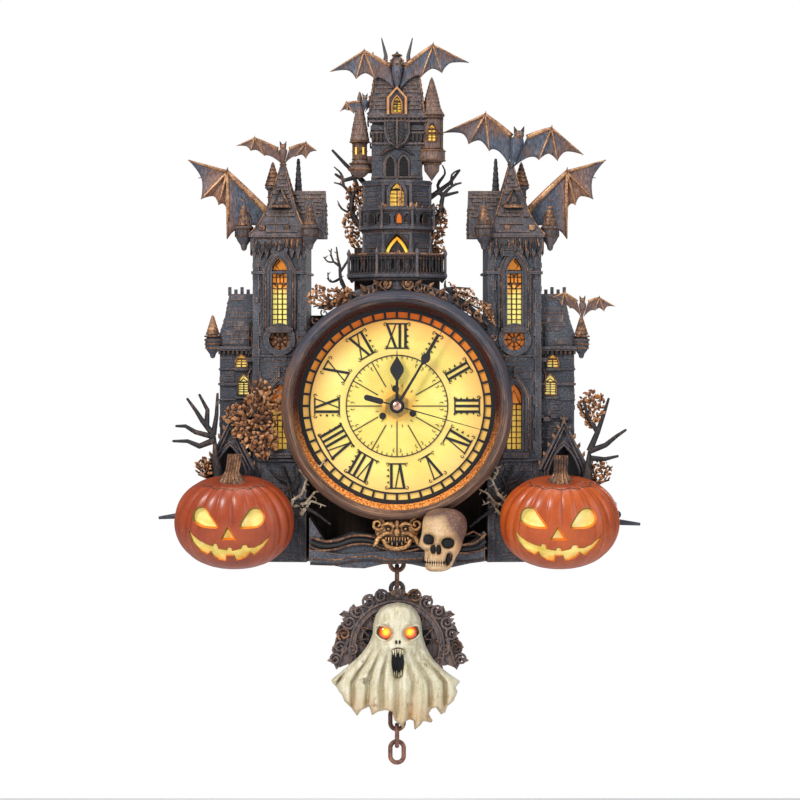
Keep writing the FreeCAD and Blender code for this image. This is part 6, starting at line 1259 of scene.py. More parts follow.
def makeGhost():
    piece = Piece("ghost_cast")
    piece.use("ghostCloth", True)
    relief(piece, spots(ghost["outline"]), ghost["step"], ghostFront, ghost["back"])
    # Mouth and nostrils in black as painted shade in their openings, with fangs above and below
    mx, mz = spot(*ghost["mouth"])
    piece.use("deepBlack")
    mouth = [[(mx + 3.3 * share * sin(a) * (1 + 0.10 * cos(a)), mz + 8.0 * share * cos(a))
              for a in turnsOf(36)] for share in (1, 0.85, 0.65, 0.4, 0.12)]
    piece.skin([[(x, ghostFront(x, z) - 0.4, z) for x, z in ring] for ring in mouth], True, False)
    piece.face([piece.dot(x, ghostFront(x, z) - 0.4, z) for x, z in mouth[-1]])
    for u in (396.3, 399.6):
        x, z = spot(u, 640.2)
        piece.ball(x, ghostFront(x, z) + 0.2, z, 0.6, 0.8, 1.35, 6, 8)
    piece.use("ghostCloth", True)
    for dx, dz, fall in ((-2.4, 7.6, -3.0), (-1.2, 8.0, -4.4), (0.1, 8.2, -2.8), (1.3, 8.0, -4.4),
                         (2.5, 7.6, -3.0),
                         (-1.9, -7.0, 2.4), (-0.6, -7.8, 3.6), (0.8, -7.8, 2.6), (2.0, -7.0, 3.2)):
        front = min(ghostFront(mx + dx, mz + dz), ghostFront(mx + dx * 0.92, mz + dz + fall)) - 0.7
        piece.tube([(mx + dx, front, mz + dz), (mx + dx * 0.92, front - 0.2, mz + dz + fall)], (0.75, 0.08),
                   6)
    # Glass eyes with a painted glow, under heavy lids
    for index, (ex, ez) in enumerate(spots(ghost["eyes"])):
        y = ghostFront(ex, ez)
        piece.use("rightEye" if index else "leftEye", True)
        piece.ball(ex, y + 0.2, ez, 4.15, 2.4, 4.1, 14, 24)
        piece.use("ghostCloth", True)
        slope = 0.26 if index else -0.26
        for lift, fat in ((4.2, 1.0), (-4.7, 0.7)):
            lid = smoothed([(ex + a, y - 0.8 + 0.06 * a * a,
                             ez + lift * (1 - (a / 6.2) ** 2) ** 0.5 + slope * a)
                            for a in (-5.6, -3.6, -1.4, 1.4, 3.6, 5.6)], 4)
            piece.tube(lid, [0.35 + fat * sin(pi * i / 20) for i in range(21)], 8)
    piece.finish("medallion", ["ghost"], "ghost_resin")


leftSpot, rightSpot = ((x, z + ghost["glowLift"]) for x, z in spots(ghost["eyes"]))
makers["leftEye"] = lambda name: emberEye(name, *leftSpot, ghost["eyeReach"])
makers["rightEye"] = lambda name: emberEye(name, *rightSpot, ghost["eyeReach"])
makeGhost()
print("ghost")


# Bats and wings: cupped membranes between bones, scalloped along the trailing edge
bats = {
    "top_bat": {"nodes": ["top_bat"], "origin": (398, 76), "x": 0, "z": 181.6, "y": -37.4,
                "finish": "coolLeather",
                "head": (398, 63), "tail": (398, 90), "size": 1.0,
                "wings": [[(391, 66), (365, 51), [(331, 72), (357, 79), (376, 79), (396, 90)]],
                          [(406, 66), (434, 45), [(470, 63), (443, 73), (422, 77), (400, 90)]]]},
    "left_bat": {"nodes": ["left_bat"], "origin": (285, 161), "x": -63.35, "z": 133.6, "y": -20.4,
                 "finish": "warmLeather", "head": (285, 142), "tail": (285, 160), "size": 0.8,
                 "wings": [[(280, 144), (256, 133), [(238, 141), (252, 146), (266, 151), (284, 160)]],
                           [(291, 144), (308, 138), [(319, 146), (308, 154), (297, 152), (286, 160)]]]},
    "right_bat": {"nodes": ["right_bat"], "origin": (512, 169), "x": 63.35, "z": 131.2, "y": -21.6,
                  "finish": "coolLeather", "head": (520, 134), "tail": (512, 167), "size": 1.25,
                  "wings": [[(513, 135), (486, 113), [(443, 132), (469, 143), (490, 150), (510, 165)]],
                            [(528, 136), (553, 127), [(585, 154), (559, 160), (540, 159), (514, 167)]]]},
    "post_bat": {"nodes": ["small_bats"], "origin": (591, 322), "x": 101.9, "z": 47.8, "y": -30.2,
                 "finish": "warmLeather", "head": (592, 303), "tail": (592, 320), "size": 0.7,
                 "wings": [[(587, 304), (574, 295), [(561, 300), (571, 309), (580, 311), (591, 320)]],
                           [(598, 304), (609, 300), [(625, 309), (614, 314), (605, 313), (593, 320)]]]},
    "turret_bat": {"nodes": ["small_bats"], "origin": (368, 101), "x": -18.2, "z": 167.8, "y": -34.0,
                   "finish": "coolLeather", "head": (369, 97), "tail": (368, 111), "size": 0.62,
                   "wings": [[(365, 101), (350, 102), [(344, 111), (352, 110), (358, 113), (367, 112)]],
                             [(373, 97), (384, 88), [(395, 87), (389, 98), (380, 104), (369, 112)]]]},
}
sideWing = {"origin": (268, 219), "x": -70.3, "z": 103.3, "scale": 0.541, "y": -17.2, "shoulder": (268, 214),
            "wrist": (223, 169), "bone": 1.05,
            "tips": [(183, 157), (196, 197), (214, 203), (225, 219), (223, 238), (268, 225)]}


def wing(piece, at, shoulder, wrist, tips, y, membrane, bone, thick, scallop, billow, sweep):
    root, joint = at(*shoulder), at(*wrist)
    far = max(dist(root, at(*tip)) for tip in tips)

    def onMembrane(x, z):
        return x, y - sweep * (dist(root, (x, z)) / far) ** 2 + sweep * 0.4, z

    starts = [joint] * (len(tips) - 1) + [root]
    ends = [at(*tip) for tip in tips]
    piece.use(membrane, True)
    for i in range(len(tips) - 1):
        a0, a1, b0, b1 = starts[i], ends[i], starts[i + 1], ends[i + 1]
        front, back = [], []
        steps = 10
        for k in range(steps + 1):
            t = k / steps
            line, under = [], []
            for s in range(9):
                reach = s / 8 * (1 - scallop * sin(pi * t) ** 0.8)
                x = blend(blend(a0[0], a1[0], reach), blend(b0[0], b1[0], reach), t)
                z = blend(blend(a0[1], a1[1], reach), blend(b0[1], b1[1], reach), t)
                px, py, pz = onMembrane(x, z)
                cup = billow * sin(pi * t) * min(1, reach * 1.6) * (1.0 if i % 2 else 0.7)
                ripple = 0.18 * sin(t * 19 + s)
                line.append((px, py + cup + ripple - thick, pz))
                under.append((px, py + cup + ripple + thick * 0.5, pz))
            front.append(line)
            back.append(under)
        piece.skin([f + list(reversed(b)) for f, b in zip(front, back)])
    piece.use("paleCopper", True)
    for start, end in zip(starts[:-1], ends[:-1]):
        path = [onMembrane(blend(start[0], end[0], k / 6), blend(start[1], end[1], k / 6)) for k in range(7)]
        piece.tube([(px, py - thick, pz) for px, py, pz in path], (bone, bone * 0.35), 6)
    arm = [onMembrane(blend(root[0], joint[0], k / 5),
                      blend(root[1], joint[1], k / 5) + 0.5 * bone * sin(pi * k / 5))
           for k in range(6)]
    piece.tube([(px, py - thick, pz) for px, py, pz in arm], (bone * 1.9, bone * 1.2), 8)
    thumb = onMembrane(*joint)
    piece.tube([(thumb[0], thumb[1] - thick, thumb[2]),
                (thumb[0] + 0.3, thumb[1] - 1.4, thumb[2] + 2.6 * bone)],
               (bone * 0.9, 0.12), 5)


def makeBat(name, spec):
    piece = Piece(name)

    def at(u, v):
        return spotOf(spec, u, v)

    size = spec["size"]
    for shoulder, wrist, tips in spec["wings"]:
        wing(piece, at, shoulder, wrist, tips, spec["y"], spec["finish"], 0.62 * size, 0.45, 0.22, 1.5 * size,
             1.5 * size)
    hx, hz = at(*spec["head"])
    tx, tz = at(*spec["tail"])
    y = spec["y"] - 0.7 * size
    piece.use(spec["finish"], True)
    piece.tube(smoothed([(hx, y, hz - 1), (blend(hx, tx, 0.35), y - 0.3, blend(hz, tz, 0.35)),
                         (blend(hx, tx, 0.75), y, blend(hz, tz, 0.75)), (tx, y, tz)], 4),
               [size * r for r in (2.0, 2.5, 2.9, 3.0, 2.9, 2.7, 2.3, 1.9, 1.5, 1.1, 0.8, 0.5, 0.3)], 10,
               0.15, 3)
    piece.ball(hx, y - 0.8 * size, hz, 2.3 * size, 2.0 * size, 2.1 * size, 10, 14)
    piece.use("copperTrim", True)
    piece.ball(hx, y - 2.3 * size, hz - 0.7 * size, 1.15 * size, 1.0 * size, 0.8 * size, 6, 10)
    for edge in (-1, 1):
        piece.tube([(hx + edge * 1.3 * size, y - 0.7 * size, hz + 1.2 * size),
                    (hx + edge * 2.3 * size, y - 0.9 * size, hz + 4.0 * size)], (1.05 * size, 0.1), 6)
        piece.ball(hx + edge * 0.95 * size, y - 2.4 * size, hz + 0.55 * size, 0.52 * size, 0.4 * size,
                   0.5 * size, 6, 8)
    piece.finish("castle", spec["nodes"], "bat_resin")


for name, spec in bats.items():
    makeBat(name + "_cast", spec)

for side, name in ((-1, "left"), (1, "right")):
    piece = Piece(name + "_wing_cast")

    def wingAt(u, v):
        x, z = spotOf(sideWing, u, v)
        return -side * x, z

    wing(piece, wingAt, sideWing["shoulder"], sideWing["wrist"], sideWing["tips"], sideWing["y"],
         "wingLeather",
         sideWing["bone"], 0.7, 0.20, 2.2, 2.5)
    # Ridges of the membrane between the fingers
    piece.use("copperTrim", True)
    hub = wingAt(*sideWing["wrist"])
    for u, v in ((188, 176), (203, 198), (219, 208), (226, 224), (240, 228), (252, 226)):
        x, z = wingAt(u, v)
        piece.tube([(blend(hub[0], x, t), sideWing["y"] + 0.5 + 1.2 * sin(pi * t), blend(hub[1], z, t))
                    for t in (0.12, 0.35, 0.6, 0.86)], (0.45, 0.25), 5)
    piece.finish("castle", ["side_wings"], "bat_resin")
print("bats and wings")

# Leaves, twigs and thorns
leafClusters = [
    # outline, root of the leaves, depth, leaf length, seed
    ([(223, 419), (229, 406), (241, 402), (249, 392), (258, 376), (270, 386), (281, 392), (283, 412),
      (276, 425),
      (279, 446), (271, 452), (265, 463), (255, 455), (247, 449), (240, 438), (232, 436), (231, 426)],
     (258, 440), -39.6, 8.2, 1),
    ([(577, 404), (582, 393), (592, 389), (601, 394), (606, 408), (600, 418), (594, 429), (584, 424)],
     (590, 425), -39.6, 6.8, 2),
    ([(196, 462), (204, 456), (213, 460), (214, 472), (206, 478), (197, 473)], (208, 478), -39.6, 5.8, 3),
    ([(590, 462), (601, 458), (612, 466), (609, 480), (597, 484), (588, 476)], (597, 484), -39.6, 6.0, 4),
    ([(373, 240), (352, 247), (345, 236), (342, 220), (348, 205), (345, 190), (352, 178), (362, 182),
      (373, 190)], (372, 238), -19.5, 6.6, 5),
    ([(424, 206), (436, 201), (446, 207), (448, 222), (443, 238), (446, 250), (436, 255), (424, 250)],
     (424, 246), -19.5, 6.6, 6),
]
crestLeaves = [
    ([(306, 298), (316, 285), (332, 290), (345, 287), (354, 292), (347, 302), (330, 306), (314, 307)],
     (352, 300), -44.6, 6.4, 7),
    ([(446, 281), (458, 289), (470, 289), (479, 300), (490, 305), (495, 326), (482, 312), (460, 298)],
     (446, 290), -44.6, 4.4, 8),
]
twigPaths = {
    "left": [[(288, 516), (293, 500), (302, 494), (307, 479), (318, 470), (326, 458)],
             [(294, 506), (306, 503), (315, 492), (331, 488)],
             [(290, 493), (297, 479), (294, 467), (303, 457)],
             [(301, 515), (311, 501), (326, 506)], [(307, 479), (300, 470), (306, 461)],
             [(286, 508), (284, 494), (291, 484)]],
    "right": [[(511, 515), (506, 500), (498, 494), (492, 480), (483, 470), (480, 460)],
              [(507, 506), (495, 503), (487, 493), (479, 489)],
              [(509, 492), (502, 479), (505, 467), (497, 457)],
              [(500, 515), (491, 501), (482, 505)], [(492, 480), (498, 471), (493, 462)],
              [(514, 507), (516, 494), (509, 484)]],
}
branchExtras = [
    # upper dead branches beside the centre tower, y, then thickness
    ([(366, 232), (352, 212), (351, 196), (343, 184), (334, 180)], -22.5, (1.9, 0.4)),
    ([(351, 196), (356, 182), (350, 170), (353, 160)], -22.5, (1.2, 0.3)),
    ([(343, 184), (341, 172), (333, 165)], -22.5, (0.9, 0.25)),
    ([(352, 212), (341, 207), (337, 198)], -22.5, (0.9, 0.25)),
    ([(428, 232), (440, 212), (443, 195), (452, 184), (462, 181)], -22.5, (1.9, 0.4)),
    ([(443, 195), (438, 182), (445, 172), (443, 163)], -22.5, (1.2, 0.3)),
    ([(452, 184), (452, 173), (459, 167)], -22.5, (0.9, 0.25)),
    # the black tree behind the bezel's left shoulder
    ([(354, 300), (345, 289), (341, 277), (339, 266)], -30, (1.5, 0.8)),
    ([(339, 266), (333, 262), (327, 261), (323, 256)], -30, (0.9, 0.3)),
    ([(339, 266), (337, 256), (336, 246)], -30, (0.9, 0.3)),
    ([(340, 270), (346, 260), (348, 252)], -30, (0.9, 0.3)),
    ([(333, 262), (330, 254), (331, 248)], -30, (0.6, 0.25)),
    ([(346, 260), (351, 257), (352, 252)], -30, (0.6, 0.25)),
    ([(341, 277), (334, 281), (329, 279), (328, 272)], -30, (0.8, 0.3)),
]


def scattered(outline, spacing, rng):
    low = [min(p[k] for p in outline) for k in (0, 1)]
    high = [max(p[k] for p in outline) for k in (0, 1)]
    z = low[1]
    while z < high[1]:
        x = low[0]
        while x < high[0]:
            px, pz = x + rng.uniform(-1, 1) * spacing * 0.6, z + rng.uniform(-1, 1) * spacing * 0.6
            if insideOutline(px, pz, outline):
                yield px, pz
            x += spacing
        z += spacing


def leaves(piece, cluster):
    pixels, root, back, size, seed = cluster
    rng = random.Random(seed)
    outline = spots(pixels)
    rootX, rootZ = spot(*root)
    piece.use("leafCopper")
    for px, pz in scattered(outline, size * 0.21, rng):
        away = atan2(pz - rootZ, px - rootX) + rng.uniform(-1.5, 1.5)
        length = size * rng.uniform(0.30, 0.50)
        y = back - rng.uniform(0.3, 4.8)
        piece.leaf((px - 0.45 * length * cos(away), min(y + 1.4, back + 0.4), pz - 0.45 * length * sin(away)),
                   (px + 0.5 * length * cos(away), y - rng.uniform(0, 1.2), pz + 0.5 * length * sin(away)),
                   length * rng.uniform(0.26, 0.38), rng.uniform(0.1, 0.8), rng.uniform(-1.1, 1.1))
    piece.use("bark")
    for _ in range(7):
        px, pz = rng.choice(outline)
        piece.tube(wavy([(rootX, back - 0.6, rootZ),
                         (blend(rootX, px, 0.5), back - 1.0, blend(rootZ, pz, 0.5)),
                         (px, back - 1.6, pz)], 1.2, seed), (0.9, 0.35), 6)


piece = Piece("leaf_clusters")
for cluster in leafClusters:
    leaves(piece, cluster)
piece.finish("castle", ["foliage"], "copper_resin")

piece = Piece("branch_twigs")
rng = random.Random(11)
for path, y, thick in branchExtras:
    piece.use("bark")
    line = smoothed(wavy([(x, y, z) for x, z in spots(path)], 1.0, 2), 3)
    piece.tube(line, thick, 7, 0.5, 4)
    piece.use("copperTrim")
    for k in range(2, len(line) - 1, 2):
        x, yy, z = line[k]
        turn = rng.uniform(-1, 1)
        piece.tube([(x, yy, z), (x + turn * 2.2, yy - 0.8, z + rng.uniform(0.6, 2.0))], (0.5, 0.08), 4)
for name, paths in twigPaths.items():
    for number, path in enumerate(paths):
        piece.use("paleTwig" if number % 3 < 2 else "bark")
        points = spots(path)
        line = [(x, -38.4 - 3.6 * min(1, k / 2), z) for k, (x, z) in enumerate(points)]
        piece.tube(line, (1.15, 0.30), 5, 0.5, number)
        for (ax, ay, az), (bx, by, bz) in zip(line, line[1:]):
            for share in (0.3, 0.7):
                x, y, z = blend(ax, bx, share), blend(ay, by, share), blend(az, bz, share)
                flip = 1 if rng.random() > 0.5 else -1
                dx, dz = -(bz - az), bx - ax
                length = 2.6 / (hypot(dx, dz) + 1e-6) * flip * rng.uniform(0.6, 1.2)
                piece.tube([(x, y, z), (x + dx * length, y - 0.9, z + dz * length)], (0.5, 0.08), 4)
piece.finish("castle", (), "tree_resin")
print("leaves and twigs")


# Bezel: a stepped ring with worn grooves, and brickwork round its bore
bezel = {"bore": 54.6, "rim": 63.5, "back": -38, "front": -57, "sides": 360, "wear": 0.36,
         "profile": [(0, .52), (.10, .52), (.10, .62), (.24, .66), (.24, .78), (.34, .80), (.34, .92),
                     (.46, 1),
                     (.66, 1), (.78, .90), (.78, .82), (.88, .76), (.88, .62), (1, .50), (1, 0), (0, 0)]}


def makeBezel():
    b = bezel
    piece = Piece("bezel_turned")
    shape = []
    for (a0, d0), (a1, d1) in zip(b["profile"], b["profile"][1:]):
        parts = max(1, int(hypot((a1 - a0) * 8.9, (d1 - d0) * 19) / 0.7))
        shape += [(blend(a0, a1, i / parts), blend(d0, d1, i / parts)) for i in range(parts)]
    for number, (across, deep) in enumerate(shape + shape[:1]):
        ring = []
        far = blend(b["bore"], b["rim"], across)
        y = blend(b["back"], b["front"], deep)
        inner = across < 0.02
        for angle in turnsOf(b["sides"]):
            grain = noise.noise(Vector((cos(angle) * 5.5, sin(angle) * 5.5, number * 0.83)))
            grain += 0.6 * noise.noise(Vector((cos(angle) * 16, sin(angle) * 16, number * 1.9)))
            dip = 0 if inner or deep < 0.03 else b["wear"] * (0.35 + grain)
            dip = max(0.0, min(0.55, dip))
            ring.append(roundAt(0, y + dip, 0, blend(far, 59, 0.10 * dip), angle))
        ring = [piece.dot(*p) for p in ring]
        if number:
            middle = (across + shape[number - 1][0]) / 2
            lit = middle < 0.10 or (middle <= 0.25 and deep < 0.67)
            piece.use("litBrick" if lit else "turnedWood", not lit)
            for k in range(b["sides"]):
                j = (k + 1) % b["sides"]
                piece.face((last[k], last[j], ring[j], ring[k]))
        last = ring
    # Bricks stand out of the bore in two rows
    piece.use("litBrick")
    for row, (y0, y1) in enumerate(((-41.6, -44.3), (-44.7, -47.6))):
        count = 84
        for k in range(count):
            a0 = 2 * pi * (k + 0.5 * row + 0.05) / count
            a1 = 2 * pi * (k + 0.5 * row + 0.93) / count
            proud = 0.55 + 0.3 * noise.noise(Vector((k * 0.9, row * 7.0, 0)))
            rings = []
            for far in (b["bore"] + 0.3, b["bore"] - proud):
                rings.append([roundAt(0, y, 0, far, a) for a, y in ((a0, y0), (a1, y0), (a1, y1), (a0, y1))])
            piece.skin(rings)
    piece.finish("castle", ["bezel_ring"], "bezel_wood", 0.15)


makeBezel()

# Dial trim: curls and thorns on the numerals, C scrolls at the spokes' ends, short ticks round the hub
dialTrim = {"thornReach": 38.5, "scrollReach": 24.4, "front": -40.45,
            # sides where a numeral has an upright
            "thorns": {-1: (1, 2, 3, 4, 9), 1: (1, 2, 3, 6, 7, 8, 11, 12)}}


def makeDialTrim():
    piece = Piece("dial_trim")
    y = dialTrim["front"]
    widths = {12: 6.3, 1: 2.2, 2: 3.6, 3: 4.6, 4: 5.9, 5: 4.4, 6: 5.4, 7: 6.4, 8: 7.2, 9: 5.6, 10: 4.4,
              11: 5.4}
    piece.use("plainBlack")
    for hour, half in widths.items():
        angle = radians(90 - 30 * hour)
        out = Vector((cos(angle), sin(angle)))
        side = Vector((out.y, -out.x))
        for hand in (-1, 1):
            for reach, length in ((dialTrim["thornReach"], 1.5), (35.2, 1.1), (42.0, 1.1)):
                if hour not in dialTrim["thorns"][hand]:
                    continue
                foot = out * reach + side * (hand * (half - 0.9))
                tip = foot + side * (hand * length)
                up = out * 0.75
                piece.slab([tuple(foot - up), tuple(tip), tuple(foot + up)], y - 0.2, y + 0.5)
            for reach in (31.9, 45.1):
                curl = out * reach + side * (hand * half)
                piece.spiral(curl.x, y - 0.1, curl.y, angle + (pi if reach > 40 else 0), 0.95, 0.9, 0.24,
                             hand, 4)
    piece.use("copperTrim")
    for hour in range(1, 12):
        angle = radians(90 - 30 * hour)
        for hand in (-1, 1):
            middle = roundAt(0, y - 0.1, 0, dialTrim["scrollReach"], angle + hand * 0.042)
            piece.tube([roundAt(*middle, 1.15, angle + hand * (0.5 + 2.3 * k / 6)) for k in range(7)],
                       (0.30, 0.12), 4)
    for k in range(12):
        angle = radians(30 * k + 15)
        piece.tube([roundAt(0, y, 0, reach, angle) for reach in (10.6, 12.4)], (0.25, 0.1), 4)
    piece.finish("castle", (), "dial_black")


makeDialTrim()
# The second hand's domed copper cap
piece = Piece("second_cap")
piece.use("capCopper", True)
piece.faced(0, 0, [(0.05, -50.15), (1.2, -50.05), (2.2, -49.75), (2.9, -49.3), (3.1, -48.9)], 32)
piece.finish("second_train", (), "hand_copper")
print("dial")

# Crest: hood over a niche with its little throne, volutes, and leafy scrolls down both shoulders of the bezel
crest = {"origin": (396, 287), "z": 63.8, "scale": 0.5213, "back": -42.45, "front": -46.45,
         "hood": [(384, 292), (384, 268), (387, 259), (391.5, 253), (396.6, 249.5), (401.5, 253), (406, 259),
                  (409, 268), (409, 292)],
         "plateLeft": [(384, 293), (366, 294), (350, 299), (336, 304), (322, 308), (312, 307), (318, 300),
                       (334, 295), (350, 289), (366, 283), (376, 280), (384, 281)],
         "plateRight": [(409, 293), (425, 294), (440, 298), (458, 305), (470, 311), (484, 320), (493, 326),
                        (487, 314), (474, 304), (458, 294), (440, 287), (424, 281), (409, 281)]}


def makeCrest():
    back, front = crest["back"], crest["front"]
    piece = Piece("crest_cast")
    piece.use("plainStone")
    for key in ("plateLeft", "plateRight"):
        piece.slab([spotOf(crest, *p) for p in crest[key]], front + 1.6, back, 0.4)
    hood = [spotOf(crest, *p) for p in crest["hood"]]
    piece.slab(hood, front + 0.6, back, 0.3)
    # Painted shade: a black disc at the back of the niche
    piece.use("deepBlack")
    cx, cz = spotOf(crest, 396.5, 267)
    piece.faced(cx, cz, [(5.4, front + 0.55), (5.2, front + 0.35), (4.6, front + 0.3)], 28)
    piece.use("copperTrim")
    piece.tube([(x, front + 0.2, z) for x, z in smoothed(hood, 3)], (1.0, 1.0), 7)
    piece.tube([(x * 0.80, front + 0.05, blend(cz, z, 0.86)) for x, z in smoothed(hood[1:-1], 3)],
               (0.55, 0.55), 6)
    piece.tube([(cx, front, hood[4][1]), (cx, front + 0.4, hood[4][1] + 3.0)], (1.2, 0.15), 6)
    # Throne: back, arms, seat and pedestal
    piece.box(cx - 2.1, cx + 2.1, front - 0.1, front + 0.8, cz - 1.6, cz - 0.9)
    for edge in (-1, 1):
        piece.tube([(cx + edge * 2.2, front + 0.1, cz - 3.4), (cx + edge * 2.2, front, cz + 1.2),
                    (cx + edge * 0.3, front, cz + 2.6)],
                   (0.45, 0.4), 5)
    piece.use("plainStone")
    piece.turned(cx, front + 1.6,
                 [(3.2, cz - 10.4), (3.2, cz - 9.2), (2.0, cz - 8.2), (1.7, cz - 5.0), (2.7, cz - 4.2),
                  (2.7, cz - 3.2)], 16)
    piece.use("copperTrim")
    for edge, (u, v) in ((-1, (383, 281)), (1, (408, 281.5))):
        x, z = spotOf(crest, u, v)
        piece.spiral(x, front + 0.2, z, pi / 2, 3.0, 1.6, 0.95, edge, 7)
        piece.ball(x, front - 0.3, z, 1.0, 0.8, 1.0, 6, 10)
    for edge, line in ((-1, ((376, 285), (362, 290), (349, 295), (337, 299), (325, 303))),
                       (1, ((417, 285), (430, 288), (443, 293), (456, 299), (468, 306), (480, 315)))):
        for number, (u, v) in enumerate(line):
            x, z = spotOf(crest, u, v)
            turn = edge if number % 2 else -edge
            piece.spiral(x, front + 0.7, z, radians(90 + 40 * number), 2.9 - 0.15 * number, 1.25, 0.62, turn,
                         5)
            piece.leaf((x - edge * 1.5, front + 0.9, z + 0.5), (x + edge * 2.6, front - 0.1, z + 4.4), 1.25,
                       0.5)
            piece.leaf((x, front + 0.9, z - 0.5), (x + edge * 3.4, front + 0.2, z - 3.4), 1.1, 0.4)
    for cluster in crestLeaves:
        leaves(piece, cluster)
    # Small scrolls run on down the bezel's shoulders
    for edge in (-1, 1):
        for number in range(7):
            angle = radians(90 + edge * (38 + number * 5.5))
            piece.use("copperTrim" if number % 2 else "darkTrim")
            piece.spiral(*roundAt(0, front + 2.2, 0, 64.6, angle), angle, 1.9, 1.1, 0.5, edge, 5)
    piece.finish("castle", ["bezel_crest"], "copper_resin")


makeCrest()

# Base: layered mouldings and a slot in front of the rail
base = {"origin": (397, 562), "z": -86, "scale": 0.5455, "front": -49.3,
        "lines": [([(311, 536), (325, 540), (338, 538.5), (352, 534.5), (368, 534.5), (384, 540),
                    (396.5, 544.5),
                    (409, 540), (421, 540)], 0.8, "copperTrim"),
                  ([(310, 540), (322, 544.5), (338, 543.5), (352, 538.8), (368, 538.8), (384, 544),
                    (397, 548.5),
                    (410, 544.5), (421, 544)], 1.1, "plainBlack"),
                  ([(310, 545), (321, 549), (336, 547.6), (353, 543), (371, 543), (386, 547.6), (401, 550),
                    (421, 547)], 0.7, "copperTrim"),
                  ([(310, 557), (335, 558.6), (353, 555.6), (374, 555), (386, 558), (403, 558), (424, 556.8)],
                   0.6, "copperTrim"),
                  ([(310, 562), (336, 562.6), (354, 559.5), (374, 558.8), (386, 561.2), (403, 560.8),
                    (424, 560)], 0.9, "darkTrim"),
                  ([(461, 543.4), (473, 542), (481, 537), (486, 532)], 0.8, "copperTrim"),
                  ([(461, 547.8), (476, 546.6), (486, 539.5)], 1.0, "plainBlack"),
                  ([(457, 551.5), (475, 551), (487, 546)], 0.7, "copperTrim"),
                  ([(457, 560), (472, 559.3), (484, 556.8)], 0.8, "darkTrim")],
        "slot": ((465, 536), (482, 533))}


def makeBase():
    piece = Piece("base_mouldings")
    front = base["front"]
    for line, thick, paint in base["lines"]:
        piece.use(paint, True)
        path = smoothed([(x, front, z) for x, z in (spotOf(base, *p) for p in line)], 5)
        piece.tube(path, [thick * (0.9 + 0.2 * abs(noise.noise(Vector(p) * 0.4))) for p in path], 8)
    (x0, z0), (x1, z1) = (spotOf(base, *p) for p in base["slot"])
    # Painted shade: a black plate in the slot
    piece.use("deepBlack")
    piece.slab([(x0, z1 - 0.8), (x1, z1 - 0.4), (x1, z0 + 0.4), (x0, z0 + 0.8)], front - 0.12, front + 1)
    piece.use("copperTrim")
    piece.tube([(x0, front, z0 + 1.2), (blend(x0, x1, 0.5), front - 0.3, max(z0, z1) + 1.6),
                (x1, front, z0 + 0.8)],
               (0.7, 0.5), 6)
    piece.finish("castle", (), "copper_resin")


makeBase()

# Gilt mask in the middle of the base
mask = {"origin": (395, 546), "z": -77, "scale": 0.552, "front": -53.0}


def makeMask():
    piece = Piece("mask_cast")
    front = mask["front"]
    piece.use("rubbedGilt", True)
    cx, cz = spotOf(mask, 395, 530)
    piece.ball(cx, front + 3.6, cz, 12.0, 3.6, 7.6, 14, 28)
    for edge in (-1, 1):
        piece.spiral(cx + edge * 10.4, front + 1.2, cz + 3.6, pi / 2, 3.0, 1.5, 1.05, edge, 8)
        piece.tube(smoothed([(cx + edge * 1.6, front - 0.9, cz + 2.4),
                             (cx + edge * 4.6, front - 1.3, cz + 4.3),
                             (cx + edge * 8.6, front + 0.2, cz + 2.9)], 4), (1.15, 0.6), 8)
        # Painted shade: black in the eye hollow
        piece.use("deepBlack", True)
        piece.ball(cx + edge * 4.6, front + 0.3, cz + 1.2, 1.9, 0.9, 1.3, 8, 12)
        piece.use("rubbedGilt", True)
        piece.ball(cx + edge * 4.6, front - 0.4, cz + 1.1, 0.8, 0.6, 0.8, 6, 8)
        piece.tube(smoothed([(cx + edge * 2.6, front - 0.2, cz - 1.0), (cx + edge * 6.4, front, cz - 1.3),
                             (cx + edge * 9.4, front + 1.4, cz - 3.6)], 4), (0.9, 1.2), 8)
        for number in range(3):
            piece.leaf((cx + edge * (7.5 + number), front + 1.4, cz - 2 - number),
                       (cx + edge * (12.4 + number * 0.3), front + 0.6, cz - 5.5 - number * 1.6), 1.3, 0.5)
    piece.ball(cx, front - 0.6, cz - 0.4, 1.7, 1.5, 2.6, 8, 12)
    piece.tube([(cx, front + 0.2, cz + 7.0), (cx, front - 0.9, cz + 4.8), (cx, front - 0.6, cz + 1.8)],
               (0.9, 1.3), 8)
    # Painted shade: black in the open mouth
    piece.use("deepBlack", True)
    piece.ball(cx, front + 1.2, cz - 5.4, 6.6, 1.7, 2.2, 8, 20)
    piece.use("rubbedGilt", True)
    jaw = [(cx - 7.4, front + 0.6, cz - 4.4), (cx - 5.4, front + 0.1, cz - 8.2), (cx, front - 0.3, cz - 9.6),
           (cx + 5.4, front + 0.1, cz - 8.2), (cx + 7.4, front + 0.6, cz - 4.4)]
    piece.tube(smoothed(jaw, 5), 1.15, 8)
    for number in range(9):
        across = (number - 4) * 1.5
        length = 3.4 if number in (1, 7) else 2.2
        piece.tube([(cx + across, front - 0.2, cz - 3.3), (cx + across, front - 0.5, cz - 3.3 - length)],
                   (0.72, 0.08), 6)
        if number % 2 == 0:
            piece.tube([(cx + across * 0.9, front - 0.1, cz - 8.3 + 0.06 * across * across),
                        (cx + across * 0.9, front - 0.4, cz - 5.9)],
                       (0.66, 0.08), 6)
    piece.finish("castle", ["mascaron"], "gilt_resin")


makeMask()
print("crest, base and mask")


